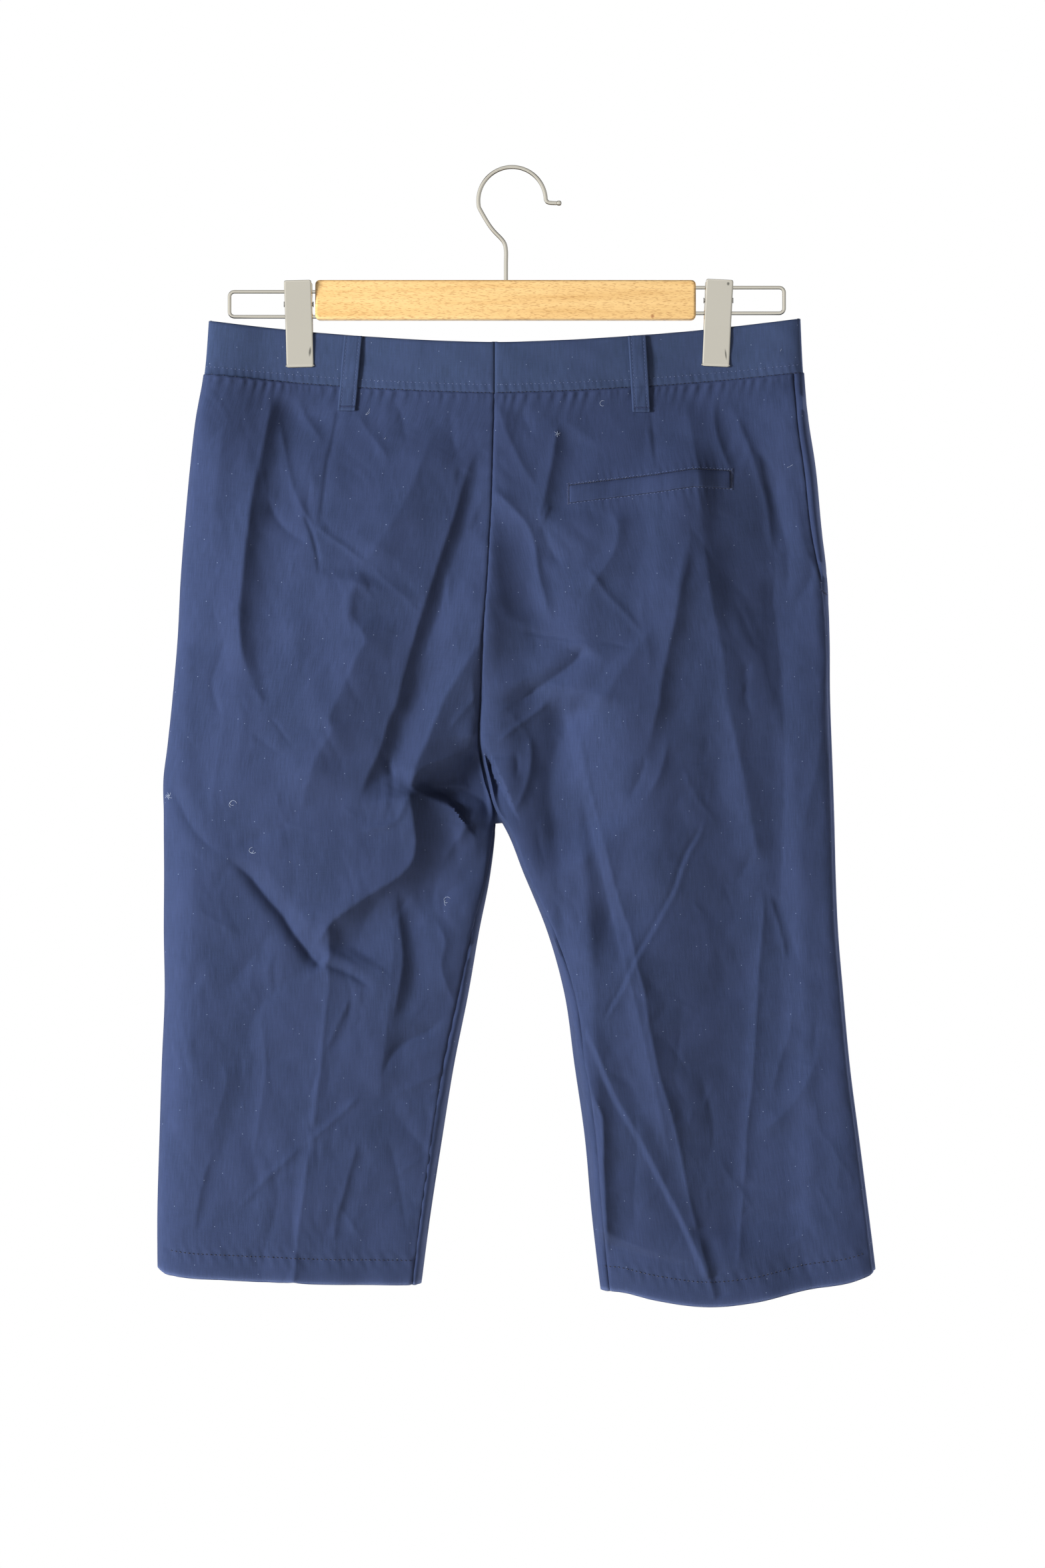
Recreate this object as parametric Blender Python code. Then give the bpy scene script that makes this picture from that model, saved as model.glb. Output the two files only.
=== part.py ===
# Capri pants hanging by the waistband from a wooden clip hanger, seat towards -Y.
# Sizes and heights are in millimetres. Meshes are made in metres through MM.
# The origin is the inside of the hook, where a rail bears. The wearer's right is +X.

import math
from collections import namedtuple

import bmesh
import bpy
import numpy as np
from mathutils import Vector
from mathutils.bvhtree import BVHTree

MM = 0.001
BACK = -1.0
FRONT = 1.0

# Cloth
PANEL_WALL = 1.3
BAND_WALL = 2.0
HEM_EXTRA_WALL = 0.9
HEM_HEIGHT = 16.5
SEAM_GAP = 0.3
LAY_GAP = 0.4
WAIST_LEVEL = -150.0
CROTCH_LEVEL = -394.0
HEM_LEVEL = -755.0
CENTRE_X = -7.5
WAIST_HALF_WIDTH = 199.0
WAIST_CURVE_POWER = 1.6
BAND_TOP_CENTRE = -118.3
BAND_TOP_RISE = 15.0
WAIST_SEAM_CENTRE = -152.9
WAIST_SEAM_RISE = 13.0
FRONT_BAND_DROP = 9.0
FRONT_HEM_LIFT = 3.0

# How far below the waist its curve and its pinch are felt, over which height the seat turns into two legs,
# and the level below which the hem's unevenness grows.
WAIST_CURVE_REACH = 150.0
PINCH_REACH = 95.0
LEG_BLEND = 105.0
HEM_SWAY_LEVEL = -560.0

# Grid of a panel
BACK_COLUMNS = 20
FRONT_COLUMNS = 13
BAND_COLUMNS = 17
TORSO_ROWS = 12
LEG_ROWS = 13
PARTING_LEVELS = (-403.0, -421.0, -440.0, -447.0)
HEM_FOLD_ROWS = 2

# The outline seen from behind: side and inner edges of the two halves at each height.
# Above the crotch both inner edges are the centre seam.
OUTLINE_COLUMNS = ("height", "left_side", "left_inner", "right_inner", "right_side")
OUTLINE = (
    (-100.0, -203.0, -7.3, -7.3, 201.6),
    (-140.0, -206.3, -7.5, -7.5, 203.6),
    (-170.0, -211.5, -8.1, -8.1, 206.4),
    (-200.0, -215.0, -8.9, -8.9, 211.0),
    (-240.0, -218.8, -10.4, -10.4, 215.0),
    (-280.0, -221.8, -12.5, -12.5, 219.3),
    (-320.0, -223.8, -15.6, -15.6, 220.9),
    (-360.0, -227.2, -17.1, -17.1, 221.3),
    (-394.0, -230.8, -17.8, -17.8, 222.4),
    (-415.0, -233.4, -14.0, -13.3, 223.2),
    (-440.0, -233.2, -6.8, -6.0, 224.0),
    (-447.0, -233.2, -7.0, -1.6, 224.2),
    (-480.0, -233.0, -10.5, 12.3, 225.0),
    (-520.0, -233.2, -18.3, 28.5, 226.7),
    (-560.0, -232.6, -25.2, 39.6, 230.0),
    (-610.0, -234.6, -35.2, 46.8, 234.6),
    (-660.0, -236.2, -43.3, 53.9, 241.0),
    (-710.0, -237.6, -51.0, 58.4, 247.4),
    (-775.0, -237.2, -59.5, 66.0, 255.4),
)

# How far the cloth stands out from the hanger's plane, behind and in front, and how square its edge is.
DEPTH_COLUMNS = ("height", "back", "front", "edge_power")
DEPTH = (
    (-230.0, 24.0, 20.0, 3.0),
    (-300.0, 31.0, 25.0, 2.4),
    (-360.0, 32.0, 26.0, 2.3),
    (-394.0, 31.0, 25.0, 2.3),
    (-443.0, 29.0, 24.0, 2.3),
    (-520.0, 25.0, 21.0, 2.3),
    (-600.0, 22.0, 19.0, 2.3),
    (-700.0, 20.0, 17.0, 2.3),
    (-775.0, 19.0, 16.0, 2.3),
)
WAIST_EDGE_POWER = 60.0
# Back and front stay clear of each other: near the centre seam, and away from the thin side edge.
CENTRE_SEAM_REACH = 60.0
CENTRE_SEAM_DEPTH = PANEL_WALL + 0.2
SIDE_EDGE_REACH = 8.0
LEAST_DEPTH = PANEL_WALL + 0.6

# The same along the waistband: pinched under the two clips, a little open between and beyond them.
WAIST_COLUMNS = ("x", "back", "front")
WAIST = (
    (-206.0, 4.6, 4.6),
    (-186.0, 5.0, 4.8),
    (-162.0, 2.7, 2.7),
    (-150.0, 2.3, 2.3),
    (-132.0, 2.3, 2.3),
    (-112.0, 3.6, 3.4),
    (-60.0, 8.0, 7.0),
    (-5.0, 10.0, 8.5),
    (55.0, 8.0, 7.0),
    (113.0, 3.6, 3.4),
    (133.0, 2.3, 2.3),
    (154.0, 2.3, 2.3),
    (166.0, 2.8, 2.8),
    (190.0, 5.0, 4.8),
    (206.0, 4.6, 4.6),
)

# Where the hem ends below or above its level, from the side edge (0) to the inner edge (1).
HEM_COLUMNS = ("across", "left", "right")
HEM = (
    (0.00, 7.0, 5.8),
    (0.07, 2.5, -0.5),
    (0.26, 0.0, -6.9),
    (0.45, -1.5, -15.5),
    (0.60, -2.8, -18.3),
    (0.81, -3.4, -13.7),
    (0.93, -3.7, -8.7),
    (1.00, -3.7, -8.0),
)

# How far the front panel wraps round to the back, in millimetres seen from behind.
WRAP_COLUMNS = ("height", "left_side", "right_side", "inseam")
WRAP = (
    (-140.0, -1.0, 6.8, 0.0),
    (-215.0, -1.0, 8.6, 0.0),
    (-260.0, -1.0, 7.3, 0.0),
    (-290.0, -1.0, 3.8, 0.0),
    (-330.0, -1.0, 1.6, 0.0),
    (-410.0, -1.0, 1.4, 0.0),
    (-450.0, -1.0, 1.4, 0.6),
    (-560.0, -1.0, 1.4, 6.4),
    (-690.0, -1.0, 1.4, 6.6),
    (-775.0, -1.0, 1.4, 5.6),
)

# Folds: rise out of the cloth (a trough is negative), widths to the left and right of the line, and the
# line itself as x, height, from top to bottom.
Fold = namedtuple("Fold", "name rise left_width right_width line")
BACK_FOLDS = (
    Fold(
        "left_side_trough", -6.0, 9, 17,
        ((-150, -152), (-158, -192), (-167, -240), (-173, -285), (-171, -330), (-138, -388)),
    ),
    Fold(
        "left_side_ridge", 3.5, 14, 8,
        ((-176, -165), (-183, -230), (-194, -290), (-193, -340), (-182, -366)),
    ),
    Fold(
        "left_dart_trough", -4.0, 10, 10,
        ((-135, -158), (-131, -210), (-122, -258), (-94, -280), (-76, -300)),
    ),
    Fold(
        "seat_ridge", 4.5, 34, 9,
        ((-14, -168), (-27, -206), (-45, -262), (-60, -313), (-72, -353), (-103, -431)),
    ),
    Fold(
        "seat_trough", -6.0, 9, 15,
        ((0, -174), (-12, -210), (-29, -262), (-43, -310), (-55, -350), (-86, -428)),
    ),
    Fold(
        "crotch_ridge", 4.5, 13, 9,
        ((-17, -318), (-34, -350), (-50, -378), (-64, -417), (-71, -444)),
    ),
    Fold("crotch_hollow", -9.0, 12, 16, ((-34, -402), (-44, -428), (-50, -462))),
    Fold("lobe_edge", 5.5, 22, 9, ((-67, -418), (-64, -457), (-80, -488), (-122, -516), (-134, -532))),
    Fold("under_lobe", -7.0, 10, 16, ((-14, -476), (-54, -493), (-84, -507), (-116, -526))),
    Fold(
        "thigh_trough", -6.5, 11, 13,
        ((-228, -413), (-216, -447), (-198, -463), (-167, -488), (-149, -509), (-130, -538)),
    ),
    Fold(
        "left_press_crease", 4.0, 12, 12,
        ((-121, -525), (-122, -560), (-125, -603), (-131, -653), (-141, -720), (-149, -760)),
    ),
    Fold("left_knee_trough", -4.5, 11, 11, ((-39, -575), (-60, -603), (-90, -633))),
    Fold(
        "left_knee_ridge", 4.0, 10, 12,
        ((-36, -610), (-84, -642), (-135, -668), (-167, -694), (-190, -716)),
    ),
    Fold("left_calf_trough", -3.5, 10, 10, ((-74, -525), (-73, -551), (-84, -600))),
    Fold("left_hem_trough", -3.0, 12, 12, ((-165, -610), (-171, -680), (-172, -750))),
    Fold("seam_ridge", 4.5, 9, 15, ((-2, -226), (18, -247), (24, -270), (33, -316))),
    Fold("seam_trough", -4.5, 12, 9, ((2, -250), (8, -275), (14, -300), (16, -318))),
    Fold("pocket_crease", -4.0, 10, 10, ((35, -184), (38, -207), (29, -228), (36, -256))),
    Fold("right_thigh_crease", -4.5, 10, 10, ((52, -327), (22, -347), (-1, -377))),
    Fold(
        "right_press_crease", 4.0, 12, 12,
        ((43, -353), (52, -392), (65, -451), (80, -504), (101, -598), (136, -768)),
    ),
    Fold(
        "right_hip_trough", -6.5, 10, 22,
        ((125, -255), (116, -306), (109, -349), (102, -389), (88, -437)),
    ),
    Fold(
        "right_hip_crease", -3.5, 9, 14,
        ((133, -221), (138, -254), (149, -311), (158, -381), (175, -470)),
    ),
    Fold(
        "right_side_strip", 3.5, 9, 16,
        ((163, -155), (175, -203), (184, -262), (191, -306), (193, -372), (190, -499)),
    ),
    Fold(
        "right_long_crease", -3.5, 9, 13,
        ((175, -490), (173, -544), (170, -598), (164, -660), (159, -745)),
    ),
    Fold("right_thigh_ridge", 4.5, 12, 13, ((133, -443), (115, -491), (89, -539), (68, -580))),
    Fold(
        "right_inner_fold", 5.5, 9, 20,
        ((47, -549), (57, -578), (73, -616), (95, -659), (117, -704), (138, -752)),
    ),
    Fold(
        "right_inner_recess", -4.5, 13, 9,
        ((50, -600), (62, -640), (78, -680), (97, -720), (112, -758)),
    ),
)
FRONT_FOLDS = (
    Fold(
        "front_left_crease", 5.0, 13, 13,
        ((-118, -215), (-122, -330), (-126, -450), (-136, -600), (-148, -760)),
    ),
    Fold(
        "front_right_crease", 5.0, 13, 13,
        ((104, -215), (108, -330), (112, -450), (132, -600), (150, -760)),
    ),
    Fold("front_left_whisker", -4.5, 11, 13, ((-24, -372), (-60, -352), (-100, -342), (-150, -338))),
    Fold("front_right_whisker", -4.5, 11, 13, ((-8, -368), (30, -350), (76, -340), (130, -332))),
    Fold("front_left_drape", -5.0, 12, 16, ((-170, -190), (-178, -260), (-176, -340), (-160, -420))),
    Fold("front_right_drape", -5.0, 16, 12, ((160, -190), (172, -260), (174, -340), (160, -420))),
    Fold("front_left_thigh", -5.0, 12, 14, ((-40, -440), (-66, -482), (-104, -514), (-160, -536))),
    Fold("front_right_thigh", -5.0, 14, 12, ((26, -446), (56, -488), (96, -522), (150, -546))),
    Fold("front_left_knee", -4.0, 11, 11, ((-66, -590), (-96, -622), (-140, -650), (-190, -664))),
    Fold("front_right_knee", -4.0, 11, 11, ((84, -596), (112, -630), (156, -660), (204, -676))),
)
FOLD_END_FADE = 22.0
FOLD_SIDE_FADE = 14.0
FOLD_WAIST_FADE = 26.0
FOLD_REACH = 60.0

# Belt loops: each starts at top_x just under the band's top edge and ends at bottom_x below the waist seam.
Loop = namedtuple("Loop", "name face top_x bottom_x length")
LOOPS = (
    Loop("belt_loop_back_left", BACK, -103.9, -108.4, 50.5),
    Loop("belt_loop_back_right", BACK, 89.5, 92.5, 51.5),
    Loop("belt_loop_front_left", FRONT, -112.0, -114.0, 50.5),
    Loop("belt_loop_front_right", FRONT, 100.0, 102.0, 50.5),
)
LOOP_WIDTH = 12.0
LOOP_THICKNESS = 1.4
LOOP_STAND = 1.4
LOOP_STAND_SHARE = 0.75
LOOP_TOP_DROP = 2.0

# Single-welt pocket on the wearer's right seat: its top edge, as x and height
WELT_TOP = ((43.5, -216.2), (103.2, -209.0), (128.2, -205.3), (152.6, -206.2))
WELT_HEIGHT = 11.5
WELT_THICKNESS = 1.2

# Closure at the centre front
FLY_WIDTH = 35.0
FLY_LENGTH = 152.0
FLY_THICKNESS = 1.2
FLY_LAP = 2.5
FLY_STRAIGHT_SHARE = 0.72
FLY_LEAST_WIDTH = 3.0
FLY_TOP_DROP = 1.2
FLY_PROBE = 5.0
TAB_REACH = 22.0
UNDERLAP_REACH = 18.0
TAB_LIFT = BAND_WALL + 0.4
TAB_EASE = 26.0
TAB_OVERLAP = 2.0
ZIP_WIDTH = 24.0
ZIP_LENGTH = 138.0
ZIP_THICKNESS = 1.2
ZIP_ROWS = 14
ZIP_TOP_DROP = 6.0
COIL_RISE = 0.9
BUTTON_RADIUS = 7.5
BUTTON_THICKNESS = 3.0
BUTTON_X = CENTRE_X - 8.0

# Hanger
BAR_LEFT = -129.8
BAR_RIGHT = 129.5
BAR_TOP = -75.6
BAR_BOTTOM = -102.6
BAR_DEPTH = 14.0
BAR_EDGE = 2.2
HOOK_WIRE = 1.38
HOOK_CENTRE = (4.27, -21.18)
HOOK_RADIUS = 23.0
HOOK_START_DEGREES = 191.0
HOOK_END_DEGREES = 2.0
HOOK_THROAT = ((0.1, -55.0), (-1.6, -49.0), (-8.4, -41.6), (-12.7, -35.6))
HOOK_TIP = ((28.6, -22.2), (31.4, -22.7), (34.6, -22.8))
HOOK_BALL = 1.75
SHANK_X = 0.1
SHANK_LENGTH = 12.0
SOCKET_DEPTH = 15.0
SOCKET_CLEARANCE = 0.3
RAIL_WIRE = 1.25
RAIL_CORNER = 3.4
RAIL_STRAIGHT = 10.0
Rail = namedtuple("Rail", "name side bar_end end_x upper lower")
RAILS = {
    "left": Rail("wire_loop_left", -1.0, BAR_LEFT, -188.4, -83.25, -100.3),
    "right": Rail("wire_loop_right", 1.0, BAR_RIGHT, 189.8, -80.4, -97.9),
}

# Clips: two sprung jaws on a pivot pin that rides between the wires
Clip = namedtuple("Clip", "side top_x bottom_x top bottom")
CLIPS = (
    Clip("left", -141.6, -140.2, -76.1, -135.2),
    Clip("right", 145.6, 143.0, -75.6, -134.3),
)
CLIP_WIDTH = 18.6
CLIP_CORNER = 1.2
JAW_WALL = 1.0
JAW_CROWN = 0.35
JAW_LIP_CROWN = 0.1
JAW_RIM_WALL = JAW_WALL - 0.3
EAR_WALL = 0.8
EAR_SIDE_GAP = 0.35
EAR_HALF_HEIGHT = 6.85
EAR_PAST_CENTRE = 3.0
EAR_TOP_SHARE = 0.55
PIN_RADIUS = 1.2
PIN_CLEARANCE = 0.3
PIN_HEAD_RADIUS = 1.9
PIN_HEAD_THICKNESS = 0.6
SPRING_INNER = 1.5
SPRING_OUTER = 2.9
SPRING_LENGTH = 10.0
LEG_HALF_WIDTH = 0.7
LEG_THICKNESS = 1.4
LEG_RISE = 8.0
# Half the distance between the jaws' inner faces, at a depth below the clip's top
JAW_COLUMNS = ("below_top", "half_gap")
JAW = (
    (0.0, 10.4),
    (3.0, 10.2),
    (10.0, 8.6),
    (20.0, 5.9),
    (27.0, 3.7),
    (31.5, 2.65),
    (57.0, 2.65),
    (59.1, 3.3),
)

# Faces of a block given as two outlines of four corners each
PRISM_FACES = ((0, 1, 2, 3), (7, 6, 5, 4), (0, 4, 5, 1), (1, 5, 6, 2), (2, 6, 7, 3), (3, 7, 4, 0))
# Where the surface is felt round a laid point, in steps of the probe's size
PROBES = ((0.0, 0.0), (1.0, 0.0), (-1.0, 0.0), (0.0, 1.0), (0.0, -1.0))


def columns_of(names, table):
    """The table's columns as arrays, by name."""
    return dict(zip(names, np.array(table, dtype=float).T))


OUTLINE_DATA = columns_of(OUTLINE_COLUMNS, OUTLINE)
DEPTH_DATA = columns_of(DEPTH_COLUMNS, DEPTH)
WAIST_DATA = columns_of(WAIST_COLUMNS, WAIST)
HEM_DATA = columns_of(HEM_COLUMNS, HEM)
WRAP_DATA = columns_of(WRAP_COLUMNS, WRAP)
JAW_DATA = columns_of(JAW_COLUMNS, JAW)


def smooth(keys, values, at):
    """Curve through the table's rows, with no corners. Keys may rise or fall."""
    if keys[0] > keys[-1]:
        keys = keys[::-1]
        values = values[::-1]
    slopes = np.gradient(values, keys)
    at = min(max(at, keys[0]), keys[-1])
    row = int(np.clip(np.searchsorted(keys, at) - 1, 0, len(keys) - 2))
    span = keys[row + 1] - keys[row]
    t = (at - keys[row]) / span
    rise = values[row + 1] - values[row]
    cubic = (3 - 2 * t) * t * t
    ease_out = t * (1 - t) ** 2 * slopes[row] * span
    ease_in = t * t * (1 - t) * slopes[row + 1] * span
    return float(values[row] + rise * cubic + ease_out - ease_in)


def ramp(low, high, value):
    """0 at low, 1 at high, eased at both ends."""
    t = min(max((value - low) / (high - low), 0.0), 1.0)
    return t * t * (3 - 2 * t)


def outline_x(edge, height):
    return smooth(OUTLINE_DATA["height"], OUTLINE_DATA[edge], height)


def waist_curve(x):
    """0 at the centre of the waist and 1 at its corners."""
    return min(abs(x - CENTRE_X) / WAIST_HALF_WIDTH, 1.1) ** WAIST_CURVE_POWER


def waist_seam(x):
    return WAIST_SEAM_CENTRE + WAIST_SEAM_RISE * waist_curve(x)


def band_top(x, face):
    """Top edge of the waistband. The front dips behind the back at the centre."""
    drop = FRONT_BAND_DROP * (1 - waist_curve(x)) if face == FRONT else 0.0
    return BAND_TOP_CENTRE + BAND_TOP_RISE * waist_curve(x) - max(drop, 0.0)


def sway(half, x, across, level, face):
    """How far a point lies above its level: the curved waist and the uneven hem."""
    waist = (waist_seam(x) - WAIST_LEVEL) * (1 - ramp(0, WAIST_CURVE_REACH, WAIST_LEVEL - level))
    hem = smooth(HEM_DATA["across"], HEM_DATA[half], across)
    if face == FRONT:
        hem += FRONT_HEM_LIFT * math.sin(math.pi * min(max(across, 0), 1))
    return waist + hem * ramp(0, HEM_SWAY_LEVEL - HEM_LEVEL, HEM_SWAY_LEVEL - level)


def edges(half, level):
    """Side and inner edge of one half at a level, read at the heights where they really lie."""
    side_x = outline_x(half + "_side", level)
    side_z = level + sway(half, side_x, 0.0, level, BACK)
    inner_x = outline_x(half + "_inner", level)
    inner_z = level + sway(half, inner_x, 1.0, level, BACK)
    return outline_x(half + "_side", side_z), outline_x(half + "_inner", inner_z)


def leg_share(level):
    """0 where the seat is one tube, 1 from the crotch down, where each leg is its own."""
    return ramp(0, LEG_BLEND, CROTCH_LEVEL + LEG_BLEND - level)


def fold_shape(fold, x, z):
    """Height of a fold of rise 1: full on its line, gone at its ends and past its widths."""
    nearest = math.inf
    walked = 0.0
    for (ax, az), (bx, bz) in zip(fold.line, fold.line[1:]):
        dx = bx - ax
        dz = bz - az
        length = math.hypot(dx, dz)
        t = min(max(((x - ax) * dx + (z - az) * dz) / length**2, 0.0), 1.0)
        off_x = x - ax - t * dx
        off_z = z - az - t * dz
        distance = math.hypot(off_x, off_z)
        if distance < nearest:
            nearest = distance
            place = walked + t * length
            width = fold.right_width if off_z * dx > off_x * dz else fold.left_width
        walked += length
    ends = ramp(0, FOLD_END_FADE, place) * ramp(0, FOLD_END_FADE, walked - place)
    return math.exp(-((nearest / width) ** 2)) * ends


def fold_rise(face, x, z):
    """Sum of all folds at a point of one face."""
    total = 0.0
    for fold in BACK_FOLDS if face == BACK else FRONT_FOLDS:
        if fold.line[-1][1] - FOLD_REACH < z < fold.line[0][1] + FOLD_REACH:
            total += fold.rise * fold_shape(fold, x, z)
    return total


def fold_fade(side, inner, x, level):
    """Folds die out at the side seams and the waist, and at the inseams once the legs part."""
    at_side = ramp(0, FOLD_SIDE_FADE, abs(x - side))
    at_inner = ramp(0, FOLD_SIDE_FADE, abs(x - inner))
    at_waist = ramp(0, FOLD_WAIST_FADE, WAIST_LEVEL - level)
    return at_side * at_waist * (1 - ramp(0.35, 1.0, leg_share(level)) * (1 - at_inner))


def plain_depth(side, inner, x, level, face):
    """Depth of the cloth without its folds: a pinched waist, a wide seat and two tubes."""
    name = "back" if face == BACK else "front"
    full = smooth(DEPTH_DATA["height"], DEPTH_DATA[name], level)
    power = smooth(DEPTH_DATA["height"], DEPTH_DATA["edge_power"], level)
    pinch = 1 - ramp(0, PINCH_REACH, WAIST_LEVEL - level)
    power *= (WAIST_EDGE_POWER / power) ** pinch
    waist = smooth(WAIST_DATA["x"], WAIST_DATA[name], x)
    from_centre = min(max((x - inner) / (side - inner), 0.0), 1.0)
    seat = (waist * pinch + full * (1 - pinch)) * math.sqrt(1 - from_centre**power)
    from_middle = min(abs(x - (side + inner) / 2) / (abs(side - inner) / 2), 1.0)
    leg = full * math.sqrt(1 - from_middle**power)
    share = leg_share(level)
    return seat * (1 - share) + leg * share


def depth_at(half, x, level, face):
    """Distance of the cloth's outer side from the hanger's plane."""
    side, inner = edges(half, level)
    z = level + sway(half, x, (side - x) / (side - inner), level, face)
    depth = plain_depth(side, inner, x, level, face)
    depth += fold_rise(face, x, z) * fold_fade(side, inner, x, level)
    if level > CROTCH_LEVEL - 1 and abs(x - inner) < CENTRE_SEAM_REACH:
        depth = max(depth, CENTRE_SEAM_DEPTH)
    if abs(x - side) > SIDE_EDGE_REACH:
        depth = max(depth, LEAST_DEPTH)
    return depth


def across_share(turn, level):
    """Share of the way from the side edge to the inner edge, for a turn of 0 to 1."""
    share = leg_share(level)
    seat = 1 - math.cos(math.pi * turn / 2)
    leg = (1 - math.cos(math.pi * turn)) / 2
    return seat * (1 - share) + leg * share


def turn_for(distance, half, level):
    """The turn at which the ring lies this far from its side edge."""
    side, inner = edges(half, level)
    low = 0.0
    high = 1.0
    for _ in range(30):
        middle = (low + high) / 2
        if across_share(middle, level) * abs(side - inner) < distance:
            low = middle
        else:
            high = middle
    return low


def ring_point(half, turn, level):
    """Point of the outer side. Turn 0 is the side edge, -1 the inner edge by the back, +1 by the front."""
    face = FRONT if 0 < turn <= 1 or turn < -1 else BACK
    if abs(turn) > 1:
        turn = math.copysign(2, turn) - turn
    side, inner = edges(half, level)
    across = across_share(abs(turn), level)
    x = side + (inner - side) * across
    y = face * depth_at(half, x, level, face)
    if abs(turn) == 1 and level < CROTCH_LEVEL - 1:
        y = 0.0
    return np.array((x, y, level + sway(half, x, across, level, face)))


def seam_turns(half, level, face):
    """First and last turn of a panel at a level: its side seam and its centre seam or inseam."""
    wrap = smooth(WRAP_DATA["height"], WRAP_DATA[half + "_side"], level)
    inseam_wrap = smooth(WRAP_DATA["height"], WRAP_DATA["inseam"], level)
    side_turn = -math.copysign(turn_for(abs(wrap), half, level), wrap)
    side, inner = edges(half, level)
    inner_turn = 0.0
    if inseam_wrap > 0.01:
        inner_turn = 1 - turn_for(abs(side - inner) - inseam_wrap, half, level)
    return side_turn, face + inner_turn


def panel_levels():
    """Rows of a panel from the waist seam to the hem."""
    torso = np.linspace(WAIST_LEVEL, CROTCH_LEVEL, TORSO_ROWS + 1)
    hem_top = HEM_LEVEL + HEM_HEIGHT
    leg = np.linspace(PARTING_LEVELS[-1], hem_top + 1.2, LEG_ROWS)[1:]
    return np.concatenate([torso, PARTING_LEVELS, leg, [hem_top, HEM_LEVEL]])


def wall_inwards(half, turn, level):
    """Unit vector into the cloth's hollow, level, square to the ring."""
    if level > CROTCH_LEVEL - 1 and abs(turn) > 0.999:
        return np.array((0.0, -math.copysign(1.0, turn), 0.0))
    step = 0.012
    along = ring_point(half, turn + step, level) - ring_point(half, turn - step, level)
    inwards = np.array((along[1], -along[0], 0.0)) if half == "left" else np.array((-along[1], along[0], 0.0))
    return inwards / np.linalg.norm(inwards)


def open_seams(row, first_way=None, last_way=None):
    """Draws both ends of a row back by half the seam gap, along the cloth or a given way."""
    row = np.array(row)
    ends = ((0, first_way, row[1] - row[0]), (-1, last_way, row[-2] - row[-1]))
    for end, given, along in ends:
        way = np.array(along if given is None else given, dtype=float)
        row[end] += way / np.linalg.norm(way) * SEAM_GAP / 2
    return row


def panel(name, half, face, columns, material):
    """One cut piece of cloth from waist seam to hem, as a wall."""
    outer = []
    inner = []
    levels = panel_levels()
    for row, level in enumerate(levels):
        wall = PANEL_WALL + (HEM_EXTRA_WALL if row >= len(levels) - HEM_FOLD_ROWS else 0.0)
        outer_row = []
        inner_row = []
        for turn in np.linspace(*seam_turns(half, level, face), columns + 1):
            point = ring_point(half, turn, level)
            outer_row.append(point)
            inner_row.append(point + wall_inwards(half, turn, level) * wall)
        centre_way = None
        if level > CROTCH_LEVEL - 1:
            centre_way = (1.0 if half == "right" else -1.0, 0, 0)
        outer.append(open_seams(outer_row, None, centre_way))
        inner.append(open_seams(inner_row, None, centre_way))
    for grid in (outer, inner):
        grid[0] = grid[0] - np.array((0, 0, SEAM_GAP / 2))
    return wall_solid(name, np.array(outer), np.array(inner), material)


def wall_solid(name, outer, inner, material):
    """Closed wall between two grids of points."""
    rows, columns = outer.shape[:2]
    points = np.concatenate([outer.reshape(-1, 3), inner.reshape(-1, 3)])
    under = rows * columns
    index = np.arange(under).reshape(rows, columns)
    faces = []
    for i in range(rows - 1):
        for j in range(columns - 1):
            quad = (index[i, j], index[i, j + 1], index[i + 1, j + 1], index[i + 1, j])
            faces.append(quad)
            faces.append(tuple(corner + under for corner in reversed(quad)))
    rim = [*index[0, :], *index[1:, -1], *index[-1, -2::-1], *index[-2:0:-1, 0]]
    for a, b in zip(rim, rim[1:] + rim[:1]):
        faces.append((a, a + under, b + under, b))
    return mesh_object(name, points, faces, material)


def mesh_object(name, points, faces, material):
    mesh = bpy.data.meshes.new(name)
    corners = [tuple(point) for point in np.array(points) * MM]
    mesh.from_pydata(corners, [], [tuple(map(int, face)) for face in faces])
    bm = bmesh.new()
    bm.from_mesh(mesh)
    bmesh.ops.triangulate(bm, faces=bm.faces)
    if bm.calc_volume(signed=True) < 0:
        bmesh.ops.reverse_faces(bm, faces=bm.faces)
    bm.to_mesh(mesh)
    bm.free()
    return add_object(name, mesh, material)


def add_object(name, data, material):
    obj = bpy.data.objects.new(name, data)
    bpy.context.scene.collection.objects.link(obj)
    data.materials.append(material)
    if isinstance(data, bpy.types.Mesh):
        data.shade_smooth()
        data.set_sharp_from_angle(angle=math.radians(50))
    return obj


def new_material(name, colour, roughness, metallic=0.0):
    made = bpy.data.materials.new(name)
    made.use_nodes = True
    shader = made.node_tree.nodes["Principled BSDF"]
    shader.inputs["Base Color"].default_value = (*colour, 1)
    shader.inputs["Roughness"].default_value = roughness
    shader.inputs["Metallic"].default_value = metallic
    return made


def band_point(x, share, face, lift):
    """Point of the waistband's outer side, from its top edge (0) to the waist seam (1)."""
    side_edge = "left_side" if x < CENTRE_X else "right_side"
    z = band_top(x, face) * (1 - share) + (waist_seam(x) + SEAM_GAP / 2) * share
    side = outline_x(side_edge, z)
    reach = (side - CENTRE_X) / (outline_x(side_edge, waist_seam(side)) - CENTRE_X)
    x = CENTRE_X + (x - CENTRE_X) * reach
    from_centre = min(abs((x - CENTRE_X) / (side - CENTRE_X)), 1.0)
    depth = smooth(WAIST_DATA["x"], WAIST_DATA["back" if face == BACK else "front"], x)
    depth *= math.sqrt(1 - from_centre**WAIST_EDGE_POWER)
    return np.array((x, face * (depth + lift), z))


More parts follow.
